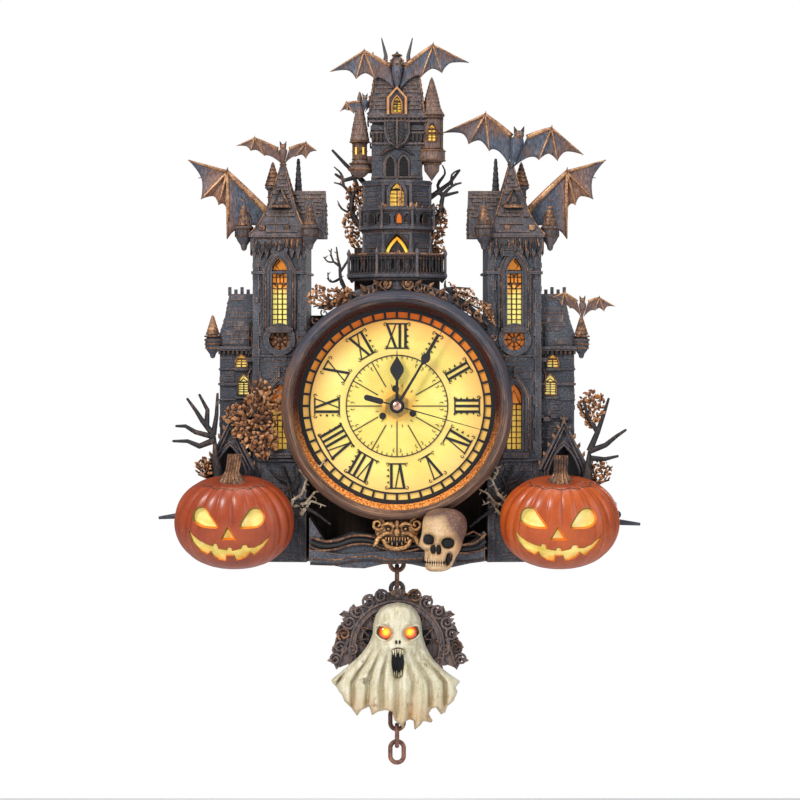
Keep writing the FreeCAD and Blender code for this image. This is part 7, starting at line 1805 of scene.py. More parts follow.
# Castle: stones, boards and shingles are laid on the CAD walls and roofs where a ray from outside meets them
class Wall:
    ways = {"front": ((0, 1, 0), lambda a, z: (a, -260, z)), "right": ((-1, 0, 0), lambda a, z: (260, a, z)),
            "left": ((1, 0, 0), lambda a, z: (-260, a, z))}

    def __init__(self, *names):
        points, faces = [], []
        for name in names:
            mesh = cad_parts[name].data
            first = len(points)
            points += [(v.co.x * 1000, v.co.y * 1000, v.co.z * 1000 - dialZ) for v in mesh.vertices]
            faces += [[first + i for i in poly.vertices] for poly in mesh.polygons]
        self.tree = BVHTree.FromPolygons(points, faces)

    def hit(self, way, a, z):
        aim, start = self.ways[way]
        point, normal, _, _ = self.tree.ray_cast(Vector(start(a, z)), Vector(aim))
        if point and normal.dot(Vector(aim)) > 0:
            normal = -normal
        return point, normal

    def tile(self, piece, way, a0, a1, z0, z1, lifts, deep, limits):
        centre, normal = self.hit(way, (a0 + a1) / 2, (z0 + z1) / 2)
        aim = Vector(self.ways[way][0])
        if centre is None or normal.dot(aim) > -0.22 or not limits[0] < centre.dot(aim) < limits[1]:
            return
        corners = []
        for a, z, lift in ((a0, z0, lifts[0]), (a1, z0, lifts[0]), (a1, z1, lifts[1]), (a0, z1, lifts[1])):
            point, facing = self.hit(way, a, z)
            if point is None or abs((point - centre).dot(normal)) > 0.35 or facing.dot(normal) < 0.93:
                return
            corners.append((point, lift))
        piece.skin([[tuple(p - normal * deep) for p, lift in corners],
                    [tuple(p + normal * lift) for p, lift in corners]])

    def courses(self, piece, way, span, rise, tall, wide, lifts, seed, fill, gap, lap=0.0,
                limits=(-400, 400)):
        rng = random.Random(seed)
        rows = max(1, round((rise[1] - rise[0]) / tall))
        for row in range(rows):
            z0 = blend(rise[0], rise[1], row / rows)
            z1 = blend(rise[0], rise[1], (row + 1) / rows)
            a = span[0] - rng.random() * wide
            while a < span[1]:
                width = wide * rng.uniform(0.75, 1.3)
                if rng.random() < fill:
                    extra = rng.uniform(0.7, 1.3)
                    self.tile(piece, way, max(a, span[0]) + gap / 2, min(a + width, span[1]) - gap / 2,
                              z0 + gap / 2 + lap * rng.uniform(-0.4, 0.4), z1 + lap - gap / 2,
                              (lifts[0] * extra, lifts[1] * extra), 0.35, limits)
                a += width


# Panes: lit glass behind lead bars
panes = {
    # finish, x, foot, apex, half width, front y
    "towers": [("towerGlass", tower["x"], 44.9, 81.2, 3.9, -34.0),
               ("lowerGlass", tower["x"], -23.7, 11.7, 3.9, -34.0)],
    "centre": [("drumGlass", 0, 110.1, 122.6, 3.7, -38.1), ("dormerGlass", 0, 162.0, 169.8, 2.05, -37.0),
               ("turretGlass", 19.2, 146.1, 154.8, 1.9, -37.3)],
    "houses": [(86.1, 21.6, 28.5), (84.8, 6.5, 17.3)],      # x, foot, apex
}


def bars(piece, x, foot, apex, half, y, columns, rows, thick=0.34, top=0.70):
    springing = foot + (apex - foot) * top
    for k in range(1, columns):
        across = x - half + 2 * half * k / columns
        piece.post(across, y, foot, springing, thick, 4)
    for k in range(1, rows):
        level = blend(foot, springing, k / rows)
        piece.tube([(x - half, y, level), (x + half, y, level)], thick * 0.8, 4)
    piece.tube([(x - half, y, springing), (x + half, y, springing)], thick * 1.5, 4)
    piece.tube([(x - half * 0.9, y, springing), (x, y, apex - half * 0.8), (x + half * 0.9, y, springing)],
               thick, 4)


def rim(piece, outline, y, thick, sides=6):
    piece.tube([(x, y, z) for x, z in outline + outline[:1]], thick, sides)


def archBar(piece, outline, y, thick, sides=6):
    # Up one side of an arch and down the other, open at the foot
    piece.tube([(x, y, z) for x, z in outline[1:] + outline[:1]], thick, sides)


def makePanes():
    mid, wheel = tower["x"], tower["wheel"]
    piece = Piece("lit_panes")
    lead = Piece("window_leads")
    for side in (-1, 1):
        piece.warp = lead.warp = towerPlace(side)
        for paint, x, foot, apex, half, front in panes["towers"]:
            piece.use(paint)
            piece.slab(lancet(x, foot, apex, half), front, front + 1)
            lead.use("copperTrim")
            if paint == "towerGlass":
                bars(lead, x, foot, 67.5, half, front - 0.3, 3, 8, 0.36, 1.0)
                bars(lead, x, 67.5, 74.6, half, front - 0.3, 4, 2, 0.36, 1.0)
                rim(lead, [(x, 80.2), (x + 2.3, 77.4), (x, 74.9), (x - 2.3, 77.4)], front - 0.3, 0.42, 4)
            else:
                bars(lead, x, foot, apex, half, front - 0.3, 3, 8)
        piece.use("lowerGlass" if side > 0 else "leafCopper")
        piece.faced(mid, wheel, [(5.7, -33.0), (5.7, -34.0)], 28)
        lead.use("copperTrim")
        for a in turnsOf(8):
            lead.tube([(mid, -34.4, wheel), roundAt(mid, -34.3, wheel, 5.6, a)], 0.42, 4)
            lead.tube([roundAt(mid, -34.3, wheel, 3.9, a + t) for t in (-0.3, 0, 0.3)], 0.3, 4)
        lead.faced(mid, wheel, [(1.5, -34.2), (1.2, -35.0), (0.4, -35.3)], 12)
        piece.warp = lead.warp = sidePlace(side)
        piece.use("houseGlass")
        for x, foot, apex in panes["houses"]:
            outline = lancet(x, foot, apex, 2.8)
            piece.slab(outline, -28.9, -28.0)
            lead.use("copperTrim")
            bars(lead, x, foot, apex, 2.8, -29.3, 2, 3 if apex > 20 else 5, 0.3, 0.62)
            rim(lead, [(x + (px - x) * 1.22, pz + (0.5 if pz > foot else -0.5)) for px, pz in outline],
                -30.25, 0.62)
        # Painted shade: a black sheet in the porch doorway
        piece.use("deepBlack")
        piece.slab(lancet(house["porch"], -65.2, -22.1, 8.2), -33.5, -32.5)
    piece.warp = lead.warp = upright
    for paint, x, foot, apex, half, front in panes["centre"]:
        piece.use(paint)
        piece.slab(lancet(x, foot, apex, half), front, front + 1)
        lead.use("copperTrim")
        bars(lead, x, foot, apex, half, front - 0.3, 2, 4, 0.3)
    # The low arch of the drum: planks with a knob, inside a glowing arch
    piece.use("darkStone")
    for k in range(9):
        across = -5.0 + k * 1.25
        piece.box(across - 0.55, across + 0.55, -37.9, -37.0, 75.2, 90.4 - 0.28 * across * across)
    piece.use("archGlass", True)
    archBar(piece, lancet(0, 74.6, 92.4, 6.2, 8), -38.6, 0.85, 8)
    piece.use("paleCopper", True)
    piece.ball(1.1, -38.4, 84.8, 0.9)
    piece.finish("castle", ["window_panes"], "window_glow")
    lead.finish("castle", (), "copper_resin")


makePanes()
print("panes")


def dressTowers():
    mid, wheel, roofY = tower["x"], tower["wheel"], tower["roofY"]
    for side, name in ((-1, "left"), (1, "right")):
        wall, roof = Wall(name + "_tower"), Wall(name + "_tower_roof")
        stones = Piece(name + "_tower_stones")
        stones.use("castleStone")
        span = sorted((side * 46, side * 78))
        wall.courses(stones, "front", span, (-84, 92), 3.2, 6.0, (0.45, 0.4), 20 + side, 0.62, 0.5,
                     limits=(-38, -30))
        outer = "right" if side > 0 else "left"
        wall.courses(stones, outer, (-36, -6), (-84, 92), 3.2, 6.5, (0.45, 0.4), 30 + side, 0.6, 0.5,
                     limits=(-90, -60))
        trim = Piece(name + "_tower_trim", towerPlace(side))
        for foot, apex, half in ((44.6, 81.5, 4.1), (-24, 12, 4.1)):
            for grow, y, thick, paint in ((0.7, -36.6, 0.5, "copperTrim"), (2.1, -37.1, 1.25, "plainStone"),
                                          (3.4, -37.5, 0.42, "copperTrim"),
                                          (4.5, -36.5, 0.95, "plainStone")):
                trim.use(paint, True)
                archBar(trim, lancet(mid, foot - grow * 0.5, apex + grow * 1.35, half + grow), y, thick)
            trim.use("plainStone")
            trim.box(mid - half - 3.4, mid + half + 3.4, -38.6, -35.8, foot - 3.0, foot - 1.7)
            trim.box(mid - half - 2.6, mid + half + 2.6, -38.0, -35.8, foot - 4.4, foot - 3.2)
            trim.tube([(mid, -37.8, apex + 4.0), (mid, -38.2, apex + 8.5)], (1.2, 0.15), 6)
            for hand in (-1, 1):
                for k in range(5):
                    z = blend(foot, apex - 8, k / 4)
                    trim.leaf((mid + hand * (half + 2.6), -36.8, z),
                              (mid + hand * (half + 5.4), -37.0, z + 2.2), 0.8, 0.3)
        trim.use("plainStone", True)
        for reach, thick in ((8.3, 0.85), (6.7, 0.6)):
            trim.tube([roundAt(mid, -36.7, wheel, reach, radians(10 * k)) for k in range(37)], thick, 7)
        trim.use("copperTrim")
        for a in turnsOf(16):
            trim.ball(*roundAt(mid, -36.9, wheel, 7.5, a), 0.5, 0.5, 0.5, 4, 6)
        # Quoins, courses, and the drip frieze under the eaves
        for k in range(27):
            z = -82 + k * 6.35
            wide = 3.6 if k % 2 else 2.4
            for x0, x1 in ((47.7, 47.9 + wide), (76.1 - wide, 76.3)):
                trim.use("castleStone")
                trim.box(x0, x1, -36.75, -35.2, z, z + 5.5)
        for z, thick in ((73.5, 0.9), (27.5, 0.55), (-30, 0.9), (90.2, 0.8)):
            trim.use("plainStone", True)
            trim.tube([(47.4, -5, z), (47.4, -36.9, z), (76.6, -36.9, z), (76.6, -5, z)], thick, 6)
        rng = random.Random(17 + side)
        for k in range(26):
            x = 48.4 + k * 1.09
            length = rng.uniform(4.5, 7.5) + 3.5 * abs(x - mid) / 14
            trim.use("darkTrim" if k % 3 else "copperTrim")
            path = [(x, -37.0, 92.2), (x + rng.uniform(-0.9, 0.9), -37.9, 92.2 - length * 0.5),
                    (x + rng.uniform(-1.6, 1.6), -36.9, 92.2 - length)]
            trim.tube(smoothed(path, 3), (0.85, 0.3), 5, 0.4, k)
            if k % 2 == 0:
                y = -36.5 + k * 1.24
                trim.tube([(77.6, y, 92.2), (78.0, y + rng.uniform(-0.8, 0.8), 92.2 - length)], (0.8, 0.25),
                          5)
        # Roof: fine shingles above two broad courses, with hips, finials and studs
        cover = Piece(name + "_roof_shingles")
        cover.use("slateBoards")
        reach = sorted((side * 34, side * 84))
        roof.courses(cover, "front", reach, (104.5, 134), 2.1, 2.4, (0.75, 0.15), 40 + side, 1.0, 0.22, 0.35,
                     limits=(-38, -8))
        roof.courses(cover, "front", reach, (95.2, 104.5), 4.6, 5.2, (0.85, 0.2), 44 + side, 1.0, 0.3, 0.3,
                     limits=(-38, -8))
        roof.courses(cover, outer, (-38, -4), (95.2, 133), 2.6, 3.0, (0.75, 0.15), 46 + side, 1.0, 0.22, 0.3,
                     limits=(-90, -60))
        roof.courses(cover, "left" if side > 0 else "right", (-32, -8), (95.2, 128), 2.6, 3.0, (0.7, 0.15),
                     48 + side, 1.0, 0.22, 0.3, limits=(-70, 90))
        cover.finish("castle", (), "slate_resin")
        flare = [(1, .035), (.80, .13), (.60, .27), (.42, .46), (.25, .68), (.12, .87), (.05, .97)]
        trim.use("copperTrim", True)
        for hand in (-1, 1):
            for front in (-1, 1):
                line = [(mid + hand * 16.7 * f, roofY + front * 18.2 * f, 93 + 43 * s) for f, s in flare]
                trim.tube(smoothed(line, 3), (0.62, 0.4), 6)
        for x in (58.0, 71.6):
            trim.box(x - 1.5, x + 1.5, -37.2, -34.8, 96.8, 99.8)
        trim.tube([(57.4, -31.4, 111), (mid, -31.0, 119.9), (66.6, -31.4, 111), (57.4, -31.4, 111)], 0.75, 6)
        trim.box(56.6, 67.4, -32.6, -29.8, 109.6, 110.8)
        trim.turned(mid, roofY, [(1.4, 133.2), (2.1, 134.4), (1.1, 135.4), (1.5, 136.0)], 12)
        for k in range(5):
            trim.collar(*tower["turret"], 2.9, 104 + 4.25 * k, 0.5, 14)
        for k in range(6):
            trim.turned(*tower["turret"],
                        [(4.75 - 0.68 * k, 123.2 + 2.2 * k), (3.82 - 0.68 * k, 125.3 + 2.2 * k)], 14)
        trim.use("darkStone")
        for k in range(6):
            r = 2.35 - 0.24 * k
            trim.turned(54.5, tower["pinY"],
                        [(r - 0.3, 119 + k * 3.2), (r, 119.6 + k * 3.2), (r - 0.5, 122.2 + k * 3.2)], 10)
        trim.use("copperTrim")
        for x, y in tower["corners"]:
            for r, z in ((4.6, 93.6), (4.6, 97.6), (4.14, 99.6)):
                trim.collar(x, y, r, z, 0.55, 16, 0.4)
            for a in turnsOf(8):
                trim.post(x + 4.7 * cos(a), y + 4.7 * sin(a), 93.8, 97.4, 0.45, 4)
            for k in range(5):
                trim.turned(x, y, [(4.1 - 0.6 * k, 99.9 + 2.3 * k), (3.3 - 0.6 * k, 102.1 + 2.3 * k)], 14)
            for hand in (-1, 1):
                trim.tube([(x, y, 113.0), (x + hand * 2.6, y - 0.4, 114.8)], (0.5, 0.08), 4)
        stones.finish("castle", (), "castle_resin", 0.12)
        trim.finish("castle", (), "copper_resin", 0.10)


dressTowers()
print("side towers")


centre = {"y": -22.1, "bartizanY": -32}
# drum: radius, foot and top; cone: radius and level; rings: level and radius; all as shares
bartizans = [
    {"x": -20.6, "foot": 125.6, "high": 48.0, "size": 6.2, "open": False, "drum": (0.62, .22, .40),
     "cone": ((0.80, .44), (0.60, .60), (0.40, .72), (0.24, .86), (0.08, .98)),
     "rings": ((.10, 1.0), (.17, .9), (.42, .86))},
    {"x": 19.2, "foot": 124.0, "high": 57.5, "size": 7.4, "open": True, "drum": (0.82, .31, .60),
     "cone": ((0.90, .64), (0.64, .70), (0.48, .80), (0.26, .90), (0.08, .98)),
     "rings": ((.17, .7), (.20, 1.0), (.29, 1.0), (.63, .92))},
]


def octagon(half):
    y, k = centre["y"], half * tan(pi / 8)
    return [(-half, y + k), (-half, y - k), (-k, y - half), (k, y - half), (half, y - k), (half, y + k)]


def facetY(x, half):
    # The front of an octagon at x
    return centre["y"] - half + max(0.0, abs(x) - half * tan(pi / 8))


def ledge(piece, half, z, thick):
    piece.tube([(x, y, z) for x, y in octagon(half)], thick, 6)


def along(points, step):
    # Points spaced along a line, with how far along each is
    for (ax, ay), (bx, by) in zip(points, points[1:]):
        parts = max(1, round(hypot(bx - ax, by - ay) / step))
        for k in range(parts):
            yield blend(ax, bx, k / parts), blend(ay, by, k / parts)
    yield points[-1]


def shingledCone(piece, x, y, profile, rows, sides=16):
    # Shingle rings down a cone; profile is radius and z from the foot up
    low, high = profile[0][1], profile[-1][1]

    def radius(z):
        for (r0, z0), (r1, z1) in zip(profile, profile[1:]):
            if z0 <= z <= z1:
                return blend(r0, r1, (z - z0) / (z1 - z0 + 1e-9))
        return profile[-1][0]

    for k in range(rows):
        z0, z1 = blend(low, high, k / rows), blend(low, high, (k + 1) / rows)
        piece.turned(x, y, [(radius(z0) * 0.8, z0 - 0.1), (radius(z0) + 0.5, z0),
                            (radius(z1) + 0.12, z1 + 0.3)], sides, k * 0.2)


def dressCentre():
    stones = Piece("centre_stones")
    stones.use("castleStone")
    wall = Wall("centre_tower", "upper_balcony", "lower_balcony")
    for way, span in (("front", (-18, 18)), ("right", (-38, -6)), ("left", (-38, -6))):
        wall.courses(stones, way, span, (84, 158), 2.9, 5.0, (0.45, 0.4), 61, 0.66, 0.45, limits=(-42, -12))
    stones.finish("castle", (), "castle_resin", 0.12)
    trim = Piece("centre_trim")
    for half, z, thick, paint in ((18.2, 60.5, 1.2, "plainStone"), (18.2, 95.8, 0.8, "plainStone"),
                                  (18.2, 109.4, 0.7, "plainStone"),
                                  (18.3, 123.6, 0.9, "plainStone"), (26.4, 83.4, 0.6, "copperTrim"),
                                  (26.4, 80.9, 0.4, "darkTrim"),
                                  (26.5, 71.4, 1.2, "plainStone"), (25.2, 69.6, 1.0, "darkTrim"),
                                  (20.1, 108.3, 0.8, "plainStone"),
                                  (20.0, 98.0, 1.0, "plainStone"), (19.0, 96.6, 0.8, "darkTrim")):
        trim.use(paint, True)
        ledge(trim, half, z, thick)
    trim.use("darkTrim")
    for x, y in along(octagon(26.5), 2.4):
        trim.turned(x, y, [(0.3, 72.2), (0.6, 74.6), (0.3, 77.5), (0.45, 80.8), (0.28, 83)], 6)
    # Five openings in the upper balcony's parapet, the middle one lit
    for number, x in enumerate((-13.9, -6.4, 1.1, 8.6, 15.8)):
        outline = lancet(x, 100.2, 106.4, 1.75)
        # Lit glass in the middle opening, a black sheet as painted shade in the others
        trim.use("lowerGlass" if number == 2 else "deepBlack")
        trim.skin([[(px, facetY(px, 20.0) + lift, pz) for px, pz in outline] for lift in (0.6, -0.25)])
        trim.use("darkTrim", True)
        trim.tube([(px, facetY(px, 20.0) - 0.3, pz) for px, pz in outline + outline[:1]], 0.42, 5)
    trim.use("plainStone")
    for half, low, high in ((26.6, 71, 84.8), (20.3, 97.4, 109.6)):
        for x, y in octagon(half)[1:5]:
            trim.turned(x, y, [(1.15, low), (1.15, low + 1.5), (0.8, low + 2), (0.8, high - 2),
                               (1.2, high - 1.2), (1.2, high - 0.6), (0.3, high + 1.6)], 8)
    # Pilasters on the drum and belfry, flared at the foot
    trim.use("plainStone")
    for x, y in octagon(18.1)[1:5]:
        trim.turned(x, y, [(2.0, 84), (1.3, 86.5), (1.0, 90), (1.0, 122), (1.6, 123.6)], 8)
    for z in (144.6, 150.6, 156.8, 159.2, 126.0):
        reach = 13.9 + (z > 144) * 0.8 + (z > 156) * 1.4
        trim.tube([(-reach, -8.4, z), (-reach, centre["y"] - reach, z), (reach, centre["y"] - reach, z),
                   (reach, -8.4, z)], 0.62, 6)
    trim.use("darkTrim")
    for number in range(13):
        x = -13.2 + number * 2.2
        if abs(x) > 7.2:
            trim.slab([(x - 0.8, 150), (x + 0.8, 150), (x + 0.8, 146.5), (x, 145.3), (x - 0.8, 146.5)], -37.0,
                      -35.6, 0.2)
        trim.box(x - 0.6, x + 0.6, -38.3, -37.0, 157.4, 158.7)
    # Shield of leaves between the cornices
    for number in range(7):
        for hand in (-1, 1):
            z = 156.0 - number * 1.9
            wide = 5.8 - abs(number - 1.5) * 0.75
            trim.leaf((hand * 0.6, -38.4, z), (hand * max(2.0, wide), -38.2, z - 2.4), 1.15, 0.6)
    trim.use("plainStone")
    trim.tube([(0, -38.9, 157), (0, -39.2, 149), (0, -38.4, 142.4)], (0.7, 0.9, 0.2), 6)
    rim(trim, [(-6.6, 157), (6.6, 157), (6.6, 150), (4.6, 145.6), (0, 142.2), (-4.6, 145.6), (-6.6, 150)],
        -38.3, 0.6)
    for x in (-3.67, 3.67):
        for grow, thick in ((0.35, 0.55), (1.3, 0.4)):
            outline = lancet(x, 126.4 - grow, 137.6 + grow * 1.5, 2.45 + grow * 0.8)
            rim(trim, outline, -36.0, thick)
        # Painted shade: a black sheet behind each window's bars
        trim.use("deepBlack")
        trim.slab(lancet(x, 126.8, 137.2, 2.2), -35.85, -35.0)
        trim.use("darkTrim")
        bars(trim, x, 126.8, 137.2, 2.2, -36.0, 2, 3, 0.22)
    trim.tube([(-8.6, -36.3, 138.5), (-5.0, -36.6, 141.4), (0, -36.8, 142.6), (5.0, -36.6, 141.4),
               (8.6, -36.3, 138.5)], 0.8, 6)
    for grow, thick, y in ((0.6, 0.6, -40.5), (1.9, 0.5, -40.3)):
        rim(trim, lancet(0, 109.8 - grow, 122.8 + grow * 1.3, 3.9 + grow), y, thick)
        rim(trim, lancet(0, 73.4, 95.0 + grow, 8.2 + grow * 0.6), y, thick)
    # Copper foliage over the window's right half and under it
    trim.use("leafCopper")
    rng = random.Random(71)
    for number in range(16):
        z = 110.4 + number * 0.72
        trim.leaf((3.0, -40.2, z), (0.9 + rng.uniform(-0.5, 0.8), -40.8, z + rng.uniform(-0.6, 1.6)), 0.85,
                  0.4)
    for number in range(34):
        x = rng.uniform(-8.5, 17)
        y = -40.3 if abs(x) < 7.4 else -40.3 + (abs(x) - 7.4)
        trim.leaf((x, y, 106.8 + rng.uniform(0, 1.6)),
                  (x + rng.uniform(-2.2, 2.2), y - 1.0, 109.0 + rng.uniform(0, 3.6)), 0.85, 0.4)
    # Roof: shingles, dormer boards, horns and cresting
    cover = Piece("centre_shingles")
    cover.use("slateBoards")
    roof = Wall("centre_roof")
    for way, span in (("front", (-17, 17)), ("right", (-39, -6)), ("left", (-39, -6))):
        roof.courses(cover, way, span, (161, 184), 2.2, 2.6, (0.75, 0.15), 81, 1.0, 0.22, 0.35,
                     limits=(-40, -8))
    cover.finish("castle", (), "slate_resin")
    trim.tube([(-4.9, -38.6, 160.4), (-4.9, -38.6, 169.6), (0, -38.9, 175.2), (4.9, -38.6, 169.6),
               (4.9, -38.6, 160.4)], 0.8, 6)
    rim(trim, lancet(0, 161.2, 170.8, 2.75), -38.3, 0.5)
    for hand in (-1, 1):
        line = [(hand * 16.2 * f, centre["y"] - 16.2 * f, 159.5 + 27 * s) for f,
                s in ((1, .04), (.92, .10), (.84, .5), (.74, .9), (.82, .94))]
        trim.use("copperTrim")
        trim.tube(line, 0.6, 6)
        trim.ball(hand * 7.05, centre["y"], 186.6, 1.5, 1.5, 1.2)
        for k in range(4):
            x = hand * (3.2 + k * 2.6)
            trim.post(x, -34.5, 186.0, 190.2, (0.5, 0.35), 5)
            trim.ball(x, -34.5, 190.6, 0.7, 0.7, 0.7, 4, 6)
    trim.tube([(-13, -34.5, 189.2), (13, -34.5, 189.2)], 0.45, 5)
    trim.tube([(-13.2, -34.9, 186.3), (13.2, -34.9, 186.3)], 0.8, 6)
    for k in range(3):
        trim.turned(0, centre["y"],
                    [(4.6 - k, 188.6 + k * 2.8), (5.1 - k, 189.2 + k * 2.8), (4.5 - k, 189.8 + k * 2.8)], 14)
    # Bartizans: rings, boards and shingled caps
    for b in bartizans:
        x, y, size, (share, low, top) = b["x"], centre["bartizanY"], b["size"], b["drum"]

        def level(s):
            return b["foot"] + b["high"] * s

        trim.use("turretBoards")
        shingledCone(trim, x, y, [(size * r, level(s)) for r, s in b["cone"]], 9)
        trim.use("copperTrim")
        for a in turnsOf(14, pi / 14):
            if b["open"] and abs(cos(a)) < 0.45 and sin(a) < 0:
                continue    # the lit window stands here
            trim.post(x + size * share * cos(a), y + size * share * sin(a), level(low), level(top), 0.36, 4)
        for s in (low, blend(low, top, 0.5), top):
            trim.collar(x, y, size * share, level(s), 0.75, 18)
        for s, r in b["rings"]:
            trim.collar(x, y, size * r, level(s), 0.6, 18)
        trim.post(x, y, level(0.97), level(0.999), (0.6, 0.2), 6)
    for hand in (-1, 1):
        x = -20.6 + hand * 2.0
        trim.use("turretGlass")
        trim.box(x - 0.5, x + 0.5, -36.1, -35.0, 138.6, 142.6)
    trim.use("copperTrim")
    rim(trim, lancet(19.2, 145.6, 155.8, 2.7), -38.0, 0.55)
    trim.finish("castle", (), "copper_resin", 0.08)


dressCentre()
print("centre tower")


def dressHouses():
    porch = house["porch"]
    stones, cover, trim = Piece("house_stones"), Piece("house_shingles"), Piece("house_trim")
    stones.use("castleStone")
    cover.use("slateBoards")
    wall = Wall("side_houses", "porches")
    for side in (-1, 1):
        span = sorted((side * 68, side * 108))
        outer = "right" if side > 0 else "left"
        wall.courses(stones, "front", span, (-84, 29), 3.1, 5.6, (0.45, 0.4), 91 + side, 0.66, 0.45,
                     limits=(-42, -24))
        wall.courses(stones, outer, (-38, -5), (-84, 29), 3.1, 6.0, (0.45, 0.4), 93 + side, 0.6, 0.45,
                     limits=(-112, -90))
        wall.courses(cover, "front", span, (34.5, 61), 2.4, 9.0, (0.55, 0.12), 95 + side, 1.0, 0.12, 0.25,
                     limits=(-42, -8))
        wall.courses(cover, outer, (-34, -5), (34.5, 61), 2.4, 9.0, (0.55, 0.12), 97 + side, 1.0, 0.12, 0.25,
                     limits=(-112, -80))
        trim.warp = sidePlace(side)
        trim.use("plainStone", True)
        for end, y, z, thick in ((100.8, -32.8, 31.8, 0.8), (98.2, -30.5, 20.3, 0.7),
                                 (98.2, -30.4, 3.4, 0.6)):
            trim.tube([(70, y, z), (end, y, z), (end, -6, z)], thick, 6)
        trim.box(80.6, 89.4, -31.9, -29.8, 4.0, 5.2)
        trim.box(82.2, 90.0, -31.9, -29.8, 19.6, 20.7)
        trim.use("darkTrim")
        for k in range(11):
            x = 73.5 + k * 2.45
            trim.box(x - 0.7, x + 0.7, -32.2, -30.6, 28.6, 30.6)
        # Balcony slats between house and tower, with corbel arches under the floor
        for k in range(9):
            x = 69.5 + k * 1.55
            trim.post(x, -31.2, 27.5, 49 - 2.4 * (k % 3), (0.55, 0.35), 5)
        for z in (27.0, 37.5, 46.0):
            trim.tube([(68.6, -31.2, z), (82.6, -31.2, z)], 0.55, 5)
        trim.use("plainStone")
        trim.box(68.4, 83, -33.4, -30.0, 24.6, 26.6)
        trim.use("copperTrim")
        for k in range(3):
            archBar(trim, lancet(71.5 + k * 4.4, 8.0, 22.6 - k, 1.9), -30.9, 0.45, 5)
        # Corner turret's rings, and the porch gable with its arch
        for z, r in ((34.2, 4.3), (32.0, 4.0), (38.5, 4.4)):
            trim.collar(*house["turret"], r, z, 0.5, 16)
        for k in range(5):
            trim.turned(*house["turret"],
                        [(4.0 - 0.66 * k, 39.4 + k * 2.1), (3.3 - 0.66 * k, 41.4 + k * 2.1)], 14)
        trim.use("plainStone")
        for grow, y, thick in ((0, -39.9, 1.0), (2.3, -39.7, 0.7)):
            trim.tube([(porch - 13.2 + grow, y, -35), (porch, y, -8.4 - grow * 1.6),
                       (porch + 13.2 - grow, y, -35)], thick, 7)
        arch = lancet(porch, -65.8, -21.5, 8.6)
        for grow, thick in ((0.3, 0.85), (1.9, 0.6)):
            grown = [(porch + (x - porch) * (1 + grow / 8.6), z + (grow if z > -60 else 0)) for x, z in arch]
            archBar(trim, grown, -38.5, thick, 7)
        trim.use("copperTrim")
        trim.tube([(porch, -39.8, -9), (porch, -39.9, -3.5)], (1.1, 0.15), 6)
        for k in range(5):
            for hand in (-1, 1):
                x = porch + hand * (12.4 - k * 2.5)
                trim.leaf((x, -40.2, -33.5 + k * 4.9), (x + hand * 1.4, -40.8, -29.6 + k * 4.9), 1.0, 0.4)
        # Rubble steps beside the tower
        rng = random.Random(33 + side)
        trim.use("plainStone")
        for k in range(30):
            x, z = 77.5 + rng.uniform(0, 17), -4 - rng.uniform(0, 30)
            if abs(x - porch) < 11 and z < -10:
                continue
            trim.box(x - rng.uniform(1, 2.4), x + rng.uniform(1, 2.4), -32.2 - rng.uniform(0, 1.5), -29.5,
                     z - 0.8, z + rng.uniform(0.4, 1.1))
        # Knots of the broken stakes
        trim.use("bark")
        knot = 119.3 if side < 0 else 120.8
        trim.tube([(knot, -34, -60), (knot - 1.0, -34.2, -53.2)], (1.9, 1.2), 7, 0.4)
        trim.ball(knot, -34, -60, 2.9, 2.7, 2.6, 6, 9)
    trim.warp = upright
    stones.finish("castle", (), "castle_resin", 0.12)
    cover.finish("castle", (), "slate_resin")
    trim.finish("castle", (), "copper_resin", 0.08)


dressHouses()
print("houses and porches")

# Pendulum frame: a scrolled border, a shell and dark tracery laid round the pierced plate
pendulum = {"y": -29.7, "z": -134, "origin": (397, 650), "scale": 0.5515, "ring": 25.6, "recess": 23.6,
            "border": [(384, 596), (379.2, 592.9), (377.3, 597.4), (367.8, 601.2), (366.1, 606.9),
                       (360.8, 608.2),
                       (355.7, 612), (351.2, 613.3), (350.6, 609.5), (348.7, 614.6), (343.6, 613.3),
                       (339.7, 615.9),
                       (345.5, 619), (346.1, 621), (342.9, 626.1), (339.1, 628.6), (335.9, 635),
                       (342.3, 632.4),
                       (344.2, 636.2), (336.6, 640.1), (335.3, 646.4), (332.5, 651.5), (335.3, 659.2),
                       (340.5, 669)],
            "arms": [[(349, 640), (344, 650), (341, 658), (339, 666)],
                     [(447, 640), (450, 650), (453, 658), (455, 666)]],
            "scrolls": [(381, 598, 3.4, 1), (369, 604, 3.6, 1), (358, 613, 3.6, 1), (349, 624, 3.5, 1),
                        (344, 636, 3.3, -1),
                        (340, 649, 3.2, 1), (335, 661, 2.8, 1), (352, 651, 2.6, -1), (356, 664, 2.8, 1)]}


